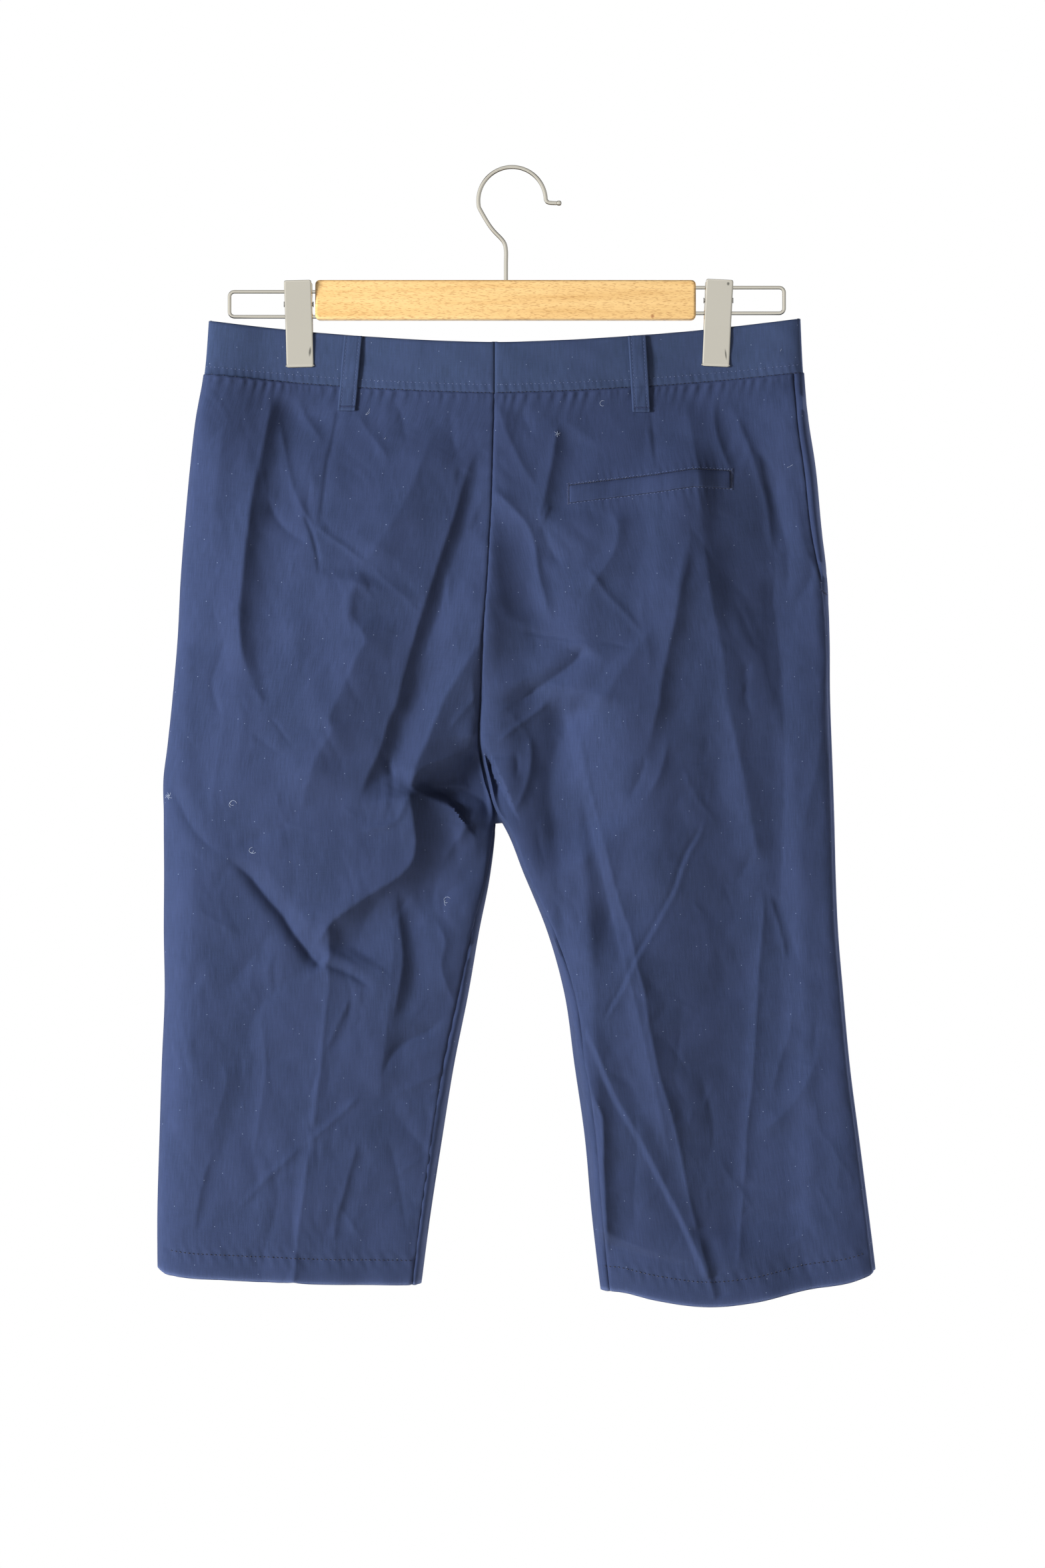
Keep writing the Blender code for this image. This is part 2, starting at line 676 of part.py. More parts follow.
def band(name, face, start_x, end_x, material, lift_from=None):
    """One waistband piece between two places along the waist, its top edge softened."""
    shares = (0.0, 0.04, 0.5, 1.0)
    step = 0.4
    middle = (start_x + end_x) / 2
    reach = (end_x - start_x) / 2
    side_end = max(start_x, end_x, key=lambda x: abs(x - CENTRE_X))
    outer = [[] for _ in shares]
    inner = [[] for _ in shares]
    for angle in np.linspace(0, math.pi, BAND_COLUMNS + 1):
        x = middle - reach * math.cos(angle)
        lift = 0.0
        if lift_from is not None:
            lift = TAB_LIFT * (1 - ramp(0, TAB_EASE, x - lift_from))
        for row, share in enumerate(shares):
            point = band_point(x, share, face, lift)
            ahead = band_point(min(x + step, end_x), share, face, lift)
            behind = band_point(max(x - step, start_x), share, face, lift)
            along = ahead - behind
            inwards = np.array((-along[1], along[0], 0.0)) * -face
            inwards /= np.linalg.norm(inwards)
            if abs(x - CENTRE_X) > abs(side_end - CENTRE_X) - 0.05:
                inwards = np.array((-math.copysign(1.0, x), 0.0, 0.0))
            soften = 0.35 if row == 0 else 0.0
            outer[row].append(point + inwards * soften)
            inner[row].append(point + inwards * (BAND_WALL - soften))
    side_way = (0, face, 0)
    if side_end < CENTRE_X:
        ways = (side_way, (-1, 0, 0))
    else:
        ways = ((1, 0, 0), side_way)
    outer = np.array([open_seams(row, *ways) for row in outer])
    inner = np.array([open_seams(row, *ways) for row in inner])
    return wall_solid(name, outer, inner, material)


def surface_of(objects):
    """Tree of the faces of some pieces, in millimetres, for laying other pieces on them."""
    points = []
    faces = []
    for obj in objects:
        start = len(points)
        points += [Vector(v.co) / MM for v in obj.data.vertices]
        faces += [[start + corner for corner in p.vertices] for p in obj.data.polygons]
    return BVHTree.FromPolygons(points, faces)


def outside_y(tree, x, z, face):
    """Where a piece's outer side lies, looking at the garment from behind or in front."""
    hit = tree.ray_cast(Vector((x, face * 200, z)), Vector((0, -face, 0)))[0]
    return None if hit is None else hit.y


def laid_piece(name, tree, face, corner, rows, columns, thickness, material, stand=None, probe=2.2):
    """A flat piece made from a panel's points, moved out. corner(u, v) gives its x and height."""
    outer = np.zeros((rows + 1, columns + 1, 3))
    inner = np.zeros((rows + 1, columns + 1, 3))
    for i in range(rows + 1):
        for j in range(columns + 1):
            x, z = corner(j / columns, i / rows)
            reach = [outside_y(tree, x + dx * probe, z + dz * probe, face) for dx, dz in PROBES]
            near = max(value * face for value in reach if value is not None) + LAY_GAP
            if stand is not None:
                near += stand(i / rows)
            inner[i, j] = (x, face * near, z)
            outer[i, j] = (x, face * (near + thickness), z)
    return wall_solid(name, outer, inner, material)


def belt_loop(loop, tree, material):
    """Loop sewn down at both ends, standing a little off the band between them."""
    top = band_top(loop.top_x, loop.face) - LOOP_TOP_DROP

    def corner(u, v):
        x = loop.top_x + (loop.bottom_x - loop.top_x) * v + (u - 0.5) * LOOP_WIDTH
        return x, top - loop.length * v

    def stand(v):
        return LOOP_STAND * math.sin(math.pi * min(v / LOOP_STAND_SHARE, 1.0))

    return laid_piece(loop.name, tree, loop.face, corner, 11, 3, LOOP_THICKNESS, material, stand)


def welt(tree, material):
    """Strip of the single-welt pocket."""
    top_x, top_z = np.array(WELT_TOP).T

    def corner(u, v):
        x = top_x[0] + (top_x[-1] - top_x[0]) * u
        return x, float(np.interp(x, top_x, top_z)) - WELT_HEIGHT * v

    return laid_piece("pocket_welt_back", tree, BACK, corner, 3, 26, WELT_THICKNESS, material)


def fly_placket(tree, material):
    """The stitched fly on the right front, its outer edge curving in to the seam at the bottom."""
    top = waist_seam(CENTRE_X) - FLY_TOP_DROP

    def corner(u, v):
        z = top - FLY_LENGTH * v
        curve = max((v - FLY_STRAIGHT_SHARE) / (1 - FLY_STRAIGHT_SHARE), 0.0)
        width = FLY_WIDTH * math.sqrt(1 - curve**2) + FLY_LEAST_WIDTH
        return outline_x("left_inner", z) - FLY_LAP + width * u, z

    return laid_piece("fly_placket", tree, FRONT, corner, 20, 5, FLY_THICKNESS, material, None, FLY_PROBE)


def fly_zip(tree, material):
    """Closed zip behind the fly: tapes with a raised coil, made from the inner side of the fronts."""
    offsets = (-1.0, -0.25, -0.12, 0.12, 0.25, 1.0)
    outer = np.zeros((ZIP_ROWS + 1, len(offsets), 3))
    inner = np.zeros((ZIP_ROWS + 1, len(offsets), 3))
    for i in range(ZIP_ROWS + 1):
        z = waist_seam(CENTRE_X) - ZIP_TOP_DROP - ZIP_LENGTH * i / ZIP_ROWS
        seam_x = outline_x("left_inner", z)
        for j, offset in enumerate(offsets):
            coil = abs(offset) < 0.2
            x = seam_x + offset * ZIP_WIDTH / 2
            reach = []
            for dx, dz in PROBES:
                off_seam = math.copysign(2.0, x + dx - seam_x) if coil else 0.0
                hit = tree.ray_cast(Vector((x + dx + off_seam, 0.0, z + dz)), Vector((0, 1, 0)))[0]
                if hit is not None:
                    reach.append(hit.y)
            near = min(reach) - LAY_GAP
            inner[i, j] = (x, near - ZIP_THICKNESS - (COIL_RISE if coil else 0.0), z)
            outer[i, j] = (x, near, z)
    return wall_solid("fly_zip", outer, inner, material)


def lathe(name, profile, turns, material):
    """Solid turned about the Y axis through its own origin. The profile is radius, distance along Y."""
    points = []
    faces = []
    for radius, along in profile:
        for step in range(turns):
            angle = 2 * math.pi * step / turns
            points.append((radius * math.cos(angle), along, radius * math.sin(angle)))
    rings = len(profile)
    for ring in range(rings - 1):
        here = ring * turns
        above = here + turns
        for step in range(turns):
            after = (step + 1) % turns
            faces.append((here + step, here + after, above + after, above + step))
    faces.append(tuple(range(turns))[::-1])
    faces.append(tuple(range((rings - 1) * turns, rings * turns)))
    return mesh_object(name, points, faces, material)


def waist_button(tree, material):
    """Sewn button with a raised rim and a sunk middle, on the tab."""
    z = (band_top(BUTTON_X, FRONT) + waist_seam(BUTTON_X)) / 2
    spots = [(BUTTON_X + dx, z + dz) for dx in (-6, 0, 6) for dz in (-6, 0, 6)]
    near = max(outside_y(tree, x, height, FRONT) for x, height in spots) + LAY_GAP
    half = BUTTON_THICKNESS / 2
    profile = (
        (BUTTON_RADIUS * 0.82, -half),
        (BUTTON_RADIUS, -half * 0.3),
        (BUTTON_RADIUS, half * 0.4),
        (BUTTON_RADIUS * 0.86, half),
        (BUTTON_RADIUS * 0.66, half * 0.9),
        (BUTTON_RADIUS * 0.52, half * 0.35),
    )
    button = lathe("waist_button", profile, 28, material)
    button.location = Vector((BUTTON_X, near + half, z)) * MM
    return button


def wire(name, path, radius, material, radii=None):
    """Round wire along a path of points."""
    curve = bpy.data.curves.new(name, "CURVE")
    curve.dimensions = "3D"
    curve.bevel_depth = radius * MM
    curve.bevel_resolution = 2
    curve.use_fill_caps = True
    spline = curve.splines.new("POLY")
    spline.points.add(len(path) - 1)
    for index, point in enumerate(path):
        spline.points[index].co = (*(coordinate * MM for coordinate in point), 1)
        spline.points[index].radius = 1.0 if radii is None else radii[index]
    return add_object(name, curve, material)


def spline_through(points, steps):
    """Even curve through points, each span cut into steps."""
    points = [np.array(point, dtype=float) for point in points]
    padded = [2 * points[0] - points[1], *points, 2 * points[-1] - points[-2]]
    path = []
    for a, b, c, d in zip(padded, padded[1:], padded[2:], padded[3:]):
        for step in range(steps):
            t = step / steps
            curve = (2 * b) + (c - a) * t + (2 * a - 5 * b + 4 * c - d) * t * t
            path.append((curve + (3 * b - a - 3 * c + d) * t**3) / 2)
    path.append(points[-1])
    return path


def arc_points(centre, radius, start_degrees, end_degrees, count):
    """Points along an arc, as x and height."""
    angles = np.radians(np.linspace(start_degrees, end_degrees, count))
    return [(centre[0] + radius * math.cos(a), centre[1] + abs(radius) * math.sin(a)) for a in angles]


def hook(material):
    """Wire hook: shank out of the bar, throat, round crown and a turned-out ball tip."""
    arc = arc_points(HOOK_CENTRE, HOOK_RADIUS, HOOK_START_DEGREES, HOOK_END_DEGREES, 18)
    heights = (BAR_TOP - SOCKET_DEPTH + 1.0, BAR_TOP, BAR_TOP + SHANK_LENGTH)
    shank = [(SHANK_X, height) for height in heights]
    throat = spline_through([shank[-1], *HOOK_THROAT, arc[0], arc[1]], 2)[1:-2]
    tip = spline_through([arc[-1], *HOOK_TIP], 2)[1:]
    path = [*shank, *throat, *arc, *tip]
    end = np.array(path[-1])
    radii = [1.0] * len(path)
    ball = HOOK_BALL / HOOK_WIRE
    for place, radius in ((0.25, 1.0), (0.9, ball * 0.8), (1.8, ball), (2.7, ball * 0.78), (3.2, 0.45)):
        path.append(end + np.array((place, 0.0)))
        radii.append(radius)
    return wire("hook", [(x, 0.0, z) for x, z in path], HOOK_WIRE, material, radii)


def wire_loop(rail, material):
    """Flat wire loop that carries a clip, both legs set in the bar's end."""
    inside = rail.bar_end - rail.side * (SOCKET_DEPTH - 1.0)
    outside = rail.bar_end + rail.side * RAIL_STRAIGHT
    corner_x = rail.end_x - rail.side * RAIL_CORNER
    radius = rail.side * RAIL_CORNER
    path = [(inside, rail.upper), (outside, rail.upper)]
    path += arc_points((corner_x, rail.upper - RAIL_CORNER), radius, 90, 0, 5)
    path += arc_points((corner_x, rail.lower + RAIL_CORNER), radius, 0, -90, 5)
    path += [(outside, rail.lower), (inside, rail.lower)]
    return wire(rail.name, [(x, 0.0, z) for x, z in path], RAIL_WIRE, material)


def box(name, low, high, material, edge):
    """Block between two corners, its edges rounded."""
    mesh = bpy.data.meshes.new(name)
    bm = bmesh.new()
    bmesh.ops.create_cube(bm, size=1.0)
    size = np.array(high) - np.array(low)
    middle = (np.array(high) + np.array(low)) / 2
    bmesh.ops.scale(bm, vec=Vector(size * MM), verts=bm.verts)
    bmesh.ops.translate(bm, vec=Vector(middle * MM), verts=bm.verts)
    bmesh.ops.bevel(bm, geom=bm.edges, offset=edge * MM, segments=3, profile=0.5, affect="EDGES")
    bm.to_mesh(mesh)
    bm.free()
    return add_object(name, mesh, material)


def rod(name, start, end, radius, material, sides=16):
    """Straight round rod between two points on a line along X or Z."""
    mesh = bpy.data.meshes.new(name)
    bm = bmesh.new()
    along = Vector(end) - Vector(start)
    bmesh.ops.create_cone(
        bm, cap_ends=True, segments=sides, radius1=radius * MM, radius2=radius * MM, depth=along.length * MM
    )
    turn = Vector((0, 0, 1)).rotation_difference(along.normalized()).to_matrix()
    bmesh.ops.rotate(bm, cent=(0, 0, 0), matrix=turn, verts=bm.verts)
    bmesh.ops.translate(bm, vec=(Vector(start) + Vector(end)) / 2 * MM, verts=bm.verts)
    bm.to_mesh(mesh)
    bm.free()
    return add_object(name, mesh, material)


def combine(target, other, operation):
    """Cuts a helper from a solid, or welds it on, and drops the helper."""
    modifier = target.modifiers.new(operation.lower(), "BOOLEAN")
    modifier.object = other
    modifier.operation = operation
    graph = bpy.context.evaluated_depsgraph_get()
    result = bpy.data.meshes.new_from_object(target.evaluated_get(graph))
    target.modifiers.remove(modifier)
    target.data = result
    bpy.data.objects.remove(other)


def drill(target, start, end, radius, material):
    combine(target, rod("hole", start, end, radius, material), "DIFFERENCE")


def hanger_bar(material):
    """Wooden bar with blind holes for the hook's shank and the wire loops' legs."""
    half = BAR_DEPTH / 2
    bar = box("hanger_bar", (BAR_LEFT, -half, BAR_BOTTOM), (BAR_RIGHT, half, BAR_TOP), material, BAR_EDGE)
    hole_foot = (SHANK_X, 0, BAR_TOP - SOCKET_DEPTH)
    drill(bar, hole_foot, (SHANK_X, 0, BAR_TOP + 5), HOOK_WIRE + SOCKET_CLEARANCE, material)
    for rail in RAILS.values():
        for z in (rail.upper, rail.lower):
            start = (rail.bar_end - rail.side * SOCKET_DEPTH, 0, z)
            end = (rail.bar_end + rail.side * 5, 0, z)
            drill(bar, start, end, RAIL_WIRE + SOCKET_CLEARANCE, material)
    return bar


def clip_x(clip, z):
    """Middle of a clip, which hangs a little out of plumb."""
    return clip.top_x + (clip.bottom_x - clip.top_x) * (clip.top - z) / (clip.top - clip.bottom)


def pivot_height(clip):
    rail = RAILS[clip.side]
    return (rail.upper + rail.lower) / 2


def jaw_half_gap(below_top):
    return float(np.interp(below_top, JAW_DATA["below_top"], JAW_DATA["half_gap"]))


def jaw(clip, face, material):
    """One pressed jaw: plate along its profile, with two ears that take the pivot pin."""
    outer = []
    inner = []
    for below_top, half_gap in JAW:
        z = clip.top - below_top
        at_end = below_top in (JAW[0][0], JAW[-1][0])
        half_width = CLIP_WIDTH / 2 - (CLIP_CORNER if at_end else 0.0)
        crown = JAW_CROWN if below_top > 0 else JAW_LIP_CROWN
        outer_row = []
        inner_row = []
        for across in (-1.0, -0.86, 0.0, 0.86, 1.0):
            x = clip_x(clip, z) + across * half_width
            bulge = crown if abs(across) < 0.9 else 0.0
            inner_row.append((x, face * half_gap, z))
            outer_row.append((x, face * (half_gap + JAW_RIM_WALL + bulge), z))
        outer.append(outer_row)
        inner.append(inner_row)
    name = f"clip_{clip.side}_jaw_{'back' if face == BACK else 'front'}"
    plate = wall_solid(name, np.array(outer), np.array(inner), material)
    pivot_z = pivot_height(clip)
    middle = clip_x(clip, pivot_z)
    # The front jaw's ears lie inside those of the back jaw.
    ear_x = CLIP_WIDTH / 2 - EAR_WALL - (0.0 if face == BACK else EAR_WALL + EAR_SIDE_GAP)
    for sign in (-1, 1):
        ends = sorted((middle + sign * ear_x, middle + sign * (ear_x + EAR_WALL)))
        combine(plate, ear_plate(clip, face, ends, pivot_z, material), "UNION")
    hole_ends = [(middle + sign * CLIP_WIDTH, 0, pivot_z) for sign in (-1, 1)]
    drill(plate, *hole_ends, PIN_RADIUS + PIN_CLEARANCE, material)
    return plate


def ear_plate(clip, face, ends, pivot_z, material):
    """Upright ear whose root follows the slope of the jaw's plate and whose foot sits on the lower wire."""
    foot = pivot_z - EAR_HALF_HEIGHT
    points = []
    for x in ends:
        for z in (pivot_z + EAR_HALF_HEIGHT, foot):
            points.append((x, face * (jaw_half_gap(clip.top - z) + 0.35), z))
        points.append((x, -face * EAR_PAST_CENTRE, foot))
        points.append((x, -face * EAR_PAST_CENTRE, pivot_z + EAR_HALF_HEIGHT * EAR_TOP_SHARE))
    return mesh_object("ear", points, PRISM_FACES, material)


def clip_pin(clip, material):
    """Pivot pin with two flat heads."""
    z = pivot_height(clip)
    middle = clip_x(clip, z)
    half = CLIP_WIDTH / 2 + 0.3
    ends = [(middle + sign * (half + PIN_HEAD_THICKNESS / 2), 0, z) for sign in (-1, 1)]
    pin = rod(f"clip_{clip.side}_pin", *ends, PIN_RADIUS, material)
    for sign in (-1, 1):
        start = (middle + sign * half, 0, z)
        end = (middle + sign * (half + PIN_HEAD_THICKNESS), 0, z)
        combine(pin, rod("head", start, end, PIN_HEAD_RADIUS, material), "UNION")
    return pin


def clip_spring(clip, material):
    """Torsion spring on the pin: its coil as a sleeve, and two legs that press the upper jaws apart."""
    z = pivot_height(clip)
    middle = clip_x(clip, z)
    half = SPRING_LENGTH / 2
    ends = ((middle - half, 0, z), (middle + half, 0, z))
    spring = rod(f"clip_{clip.side}_spring", *ends, SPRING_OUTER, material, 20)
    reach = jaw_half_gap(clip.top - (z + LEG_RISE)) - 1.1
    for face, x in ((BACK, middle - half + 0.8), (FRONT, middle + half - 0.8)):
        points = []
        for dx in (-LEG_HALF_WIDTH, LEG_HALF_WIDTH):
            points.append((x + dx, face * 1.2, z + 1.6))
            points.append((x + dx, face * reach, z + LEG_RISE))
            points.append((x + dx, face * (reach - LEG_THICKNESS), z + LEG_RISE + 0.4))
            points.append((x + dx, face * -0.4, z + 2.2))
        combine(spring, mesh_object("leg", points, PRISM_FACES, material), "UNION")
    drill(spring, (middle - 9, 0, z), (middle + 9, 0, z), SPRING_INNER, material)
    return spring


def garment():
    twill = new_material("navy_cotton_twill", (0.012, 0.019, 0.045), 0.85)
    band_cloth = new_material("navy_waistband", (0.013, 0.020, 0.047), 0.85)
    zip_tape = new_material("navy_zip", (0.008, 0.012, 0.03), 0.6)
    button_resin = new_material("navy_button", (0.01, 0.013, 0.025), 0.35)

    backs = [panel(f"back_{half}", half, BACK, BACK_COLUMNS, twill) for half in ("left", "right")]
    fronts = [panel(f"front_{half}", half, FRONT, FRONT_COLUMNS, twill) for half in ("left", "right")]

    left_end = outline_x("left_side", waist_seam(-206.0))
    right_end = outline_x("right_side", waist_seam(203.6))
    tab_x = CENTRE_X - TAB_REACH
    underlap_x = CENTRE_X + UNDERLAP_REACH
    back_bands = [
        band("waistband_back_left", BACK, left_end, CENTRE_X, band_cloth),
        band("waistband_back_right", BACK, CENTRE_X, right_end, band_cloth),
    ]
    front_bands = [
        band("waistband_front_left", FRONT, left_end, underlap_x, band_cloth),
        band("waistband_front_right", FRONT, tab_x, right_end, band_cloth, underlap_x + TAB_OVERLAP),
    ]

    back_tree = surface_of([*backs, *fronts, *back_bands])
    front_tree = surface_of([*fronts, *backs, *front_bands])
    for loop in LOOPS:
        belt_loop(loop, back_tree if loop.face == BACK else front_tree, band_cloth)
    welt(back_tree, twill)
    fly_placket(front_tree, twill)
    fly_zip(surface_of(fronts), zip_tape)
    waist_button(front_tree, button_resin)


def hanger():
    beech = new_material("oiled_beech", (0.62, 0.40, 0.21), 0.5)
    chrome = new_material("chromed_steel", (0.75, 0.76, 0.78), 0.16, 1.0)
    hanger_bar(beech)
    hook(chrome)
    for rail in RAILS.values():
        wire_loop(rail, chrome)
    for clip in CLIPS:
        jaw(clip, BACK, chrome)
        jaw(clip, FRONT, chrome)
        clip_pin(clip, chrome)
        clip_spring(clip, chrome)


for old_object in list(bpy.data.objects):
    bpy.data.objects.remove(old_object)
garment()
hanger()
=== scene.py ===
import math

import bmesh
import bpy
import numpy as np
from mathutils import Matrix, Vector
from mathutils.bvhtree import BVHTree


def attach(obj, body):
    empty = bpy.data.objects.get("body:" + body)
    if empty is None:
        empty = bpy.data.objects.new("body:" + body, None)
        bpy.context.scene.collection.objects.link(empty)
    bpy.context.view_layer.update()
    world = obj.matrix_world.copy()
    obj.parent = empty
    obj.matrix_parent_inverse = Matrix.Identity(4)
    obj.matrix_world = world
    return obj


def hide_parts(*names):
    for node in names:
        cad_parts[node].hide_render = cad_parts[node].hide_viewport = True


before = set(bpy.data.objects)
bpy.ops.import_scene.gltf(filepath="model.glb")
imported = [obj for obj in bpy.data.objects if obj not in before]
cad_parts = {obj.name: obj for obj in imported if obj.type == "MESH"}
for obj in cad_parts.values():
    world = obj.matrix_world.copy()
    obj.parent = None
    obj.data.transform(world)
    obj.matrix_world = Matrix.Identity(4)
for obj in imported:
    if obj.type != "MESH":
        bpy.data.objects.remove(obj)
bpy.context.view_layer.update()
print("frame loaded:", len(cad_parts), "nodes")

mm = 0.001
back = -1.0  # the seat faces -Y
front = 1.0
wholeTurn = 2 * math.pi


def linearColour(value):
    # sRGB hex to the linear red, green, blue and alpha that a socket takes; anything else stays as it is
    if not (isinstance(value, str) and value.startswith("#")):
        return value
    parts = [int(value[i:i + 2], 16) / 255 for i in (1, 3, 5)]
    return (*[p / 12.92 if p <= 0.04045 else ((p + 0.055) / 1.055) ** 2.4 for p in parts], 1)


def addNode(tree, kind, settings=None, output=0):
    # one shader node with its properties, socket values and incoming links; gives back an output, or the
    # node itself
    node = tree.nodes.new("ShaderNode" + kind)
    for name, value in (settings or {}).items():
        if isinstance(value, bpy.types.NodeSocket):
            tree.links.new(value, node.inputs[name])
        elif isinstance(name, int) or name in node.inputs:
            node.inputs[name].default_value = linearColour(value)
        else:
            setattr(node, name, value)
    return node if output is None else node.outputs[output]


def ranged(tree, value, low, high, top=1.0):
    # 0 where the value is at low, top where it is at high
    return addNode(tree, "MapRange", {"From Min": low, "From Max": high, "To Max": top, "Value": value})


def mixed(tree, share, first, second):
    # colours, each a hex text or a socket
    return addNode(tree, "Mix", {"data_type": "RGBA", 0: share, 6: first, 7: second}, 2)


def maths(tree, operation, *values):
    return addNode(tree, "Math", {"operation": operation, **dict(enumerate(values))})


def newFinish(name, settings):
    # a Principled material, with its constants on the shader's own sockets
    made = bpy.data.materials.new(name)
    made.use_nodes = True
    shader = made.node_tree.nodes["Principled BSDF"]
    for socket, value in settings.items():
        shader.inputs[socket].default_value = linearColour(value)
    return made, made.node_tree, shader


def addBump(tree, shader, height, strength, distance):
    bump = addNode(tree, "Bump", {"Strength": strength, "Distance": distance, "Height": height})
    tree.links.new(bump, shader.inputs["Normal"])


def placeObject(name, data):
    obj = bpy.data.objects.new(name, data)
    bpy.context.scene.collection.objects.link(obj)
    return obj


def smoothRamp(low, high, value):
    # 0 at low, 1 at high, eased at both ends
    t = np.clip((value - low) / (high - low), 0, 1)
    return t * t * (3 - 2 * t)


def tableOf(names, rows):
    # named columns, sorted by the first
    return dict(zip(names.split(), np.array(sorted(rows), float).T))


def curveThrough(table, column, at):
    # smooth curve through one column, read at any place of the first
    keys = next(iter(table.values()))
    values = table[column]
    slopes = np.gradient(values, keys)
    at = np.clip(at, keys[0], keys[-1])
    row = np.clip(np.searchsorted(keys, at) - 1, 0, len(keys) - 2)
    span = keys[row + 1] - keys[row]
    t = (at - keys[row]) / span
    rise = values[row + 1] - values[row]
    ease = t * (1 - t) ** 2 * slopes[row] * span - t * t * (1 - t) * slopes[row + 1] * span
    return values[row] + rise * (3 - 2 * t) * t * t + ease


def throughPoints(points, steps):
    # an even curve through points
    points = [np.array(point, float) for point in points]
    padded = [2 * points[0] - points[1], *points, 2 * points[-1] - points[-2]]
    path = []
    for a, b, c, d in zip(padded, padded[1:], padded[2:], padded[3:]):
        for step in range(steps):
            t = step / steps
            path.append(tuple((2 * b + (c - a) * t + (2 * a - 5 * b + 4 * c - d) * t * t
                               + (d - 3 * c + 3 * b - a) * t ** 3) / 2))
    return path + [tuple(points[-1])]


def finishPiece(obj, nodes, made):
    # rides on the body, stands for its CAD nodes and takes its finish
    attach(obj, "root")
    if nodes:
        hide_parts(*nodes)
    obj.data.materials.clear()
    obj.data.materials.append(made)
    return obj


# The cut and the hang of the cloth, in millimetres.
cut = {
    "panelWall": 1.3, "bandWall": 2.0, "hemExtraWall": 0.9, "hemHeight": 16.5,
    "waistLevel": -150.0, "crotchLevel": -394.0, "hemLevel": -755.0, "centreX": -7.5,
    "waistHalfWidth": 199.0, "waistCurvePower": 1.6, "waistCurveEnd": 1.1,
    "bandTopCentre": -118.3, "bandTopRise": 15.0, "waistSeamCentre": -152.9, "waistSeamRise": 13.0,
    "frontBandDrop": 9.0, "frontHemLift": 3.0,
    "waistCurveReach": 150.0, "pinchReach": 95.0, "legBlend": 105.0, "hemSwayLevel": -560.0,
    "waistEdgePower": 60.0, "centreSeamReach": 60.0, "centreSeamDepth": 1.5,
    "sideEdgeReach": 8.0, "leastDepth": 1.9,
}

outline = tableOf("height leftSide leftInner rightInner rightSide", (
    (-100.0, -203.0, -7.3, -7.3, 201.6),
    (-140.0, -206.3, -7.5, -7.5, 203.6),
    (-170.0, -211.5, -8.1, -8.1, 206.4),
    (-200.0, -215.0, -8.9, -8.9, 211.0),
    (-240.0, -218.8, -10.4, -10.4, 215.0),
    (-280.0, -221.8, -12.5, -12.5, 219.3),
    (-320.0, -223.8, -15.6, -15.6, 220.9),
    (-360.0, -227.2, -17.1, -17.1, 221.3),
    (-394.0, -230.8, -17.8, -17.8, 222.4),
    (-415.0, -233.4, -14.0, -13.3, 223.2),
    (-440.0, -233.2, -6.8, -6.0, 224.0),
    (-447.0, -233.2, -7.0, -1.6, 224.2),
    (-480.0, -233.0, -10.5, 12.3, 225.0),
    (-520.0, -233.2, -18.3, 28.5, 226.7),
    (-560.0, -232.6, -25.2, 39.6, 230.0),
    (-610.0, -234.6, -35.2, 46.8, 234.6),
    (-660.0, -236.2, -43.3, 53.9, 241.0),
    (-710.0, -237.6, -51.0, 58.4, 247.4),
    (-775.0, -237.2, -59.5, 66.0, 255.4),
))
depthTable = tableOf("height back front edgePower", (
    (-230.0, 24.0, 20.0, 3.0),
    (-300.0, 31.0, 25.0, 2.4),
    (-360.0, 32.0, 26.0, 2.3),
    (-394.0, 31.0, 25.0, 2.3),
    (-443.0, 29.0, 24.0, 2.3),
    (-520.0, 25.0, 21.0, 2.3),
    (-600.0, 22.0, 19.0, 2.3),
    (-700.0, 20.0, 17.0, 2.3),
    (-775.0, 19.0, 16.0, 2.3),
))
# the waist is pinched under the two clips and a little open between and beyond them
waistTable = tableOf("x back front", (
    (-206.0, 4.6, 4.6), (-186.0, 5.0, 4.8), (-162.0, 2.7, 2.7), (-150.0, 2.3, 2.3), (-132.0, 2.3, 2.3),
    (-112.0, 3.6, 3.4), (-60.0, 8.0, 7.0), (-5.0, 10.0, 8.5), (55.0, 8.0, 7.0), (113.0, 3.6, 3.4),
    (133.0, 2.3, 2.3), (154.0, 2.3, 2.3), (166.0, 2.8, 2.8), (190.0, 5.0, 4.8), (206.0, 4.6, 4.6),
))
# where the hem ends above or below its level, from the side edge (0) to the inseam (1)
hemTable = tableOf("across left right", (
    (0.00, 7.2, 5.8), (0.022, 4.6, 3.2), (0.07, 2.6, -0.5), (0.26, 0.0, -6.9), (0.45, -1.5, -15.5),
    (0.60, -2.8, -18.3), (0.81, -3.4, -13.7), (0.93, -3.7, -8.7), (1.00, -3.7, -8.0),
))
# how far the front wraps round to the back
wrapTable = tableOf("height leftSide rightSide inseam", (
    (-140.0, -1.0, 6.8, 0.0), (-215.0, -1.0, 8.6, 0.0), (-260.0, -1.0, 7.3, 0.0), (-290.0, -1.0, 3.8, 0.0),
    (-330.0, -1.0, 1.6, 0.0), (-410.0, -1.0, 1.4, 0.0), (-450.0, -1.0, 1.4, 0.6), (-560.0, -1.0, 1.4, 6.4),
    (-690.0, -1.0, 1.4, 6.6), (-775.0, -1.0, 1.4, 5.6),
))

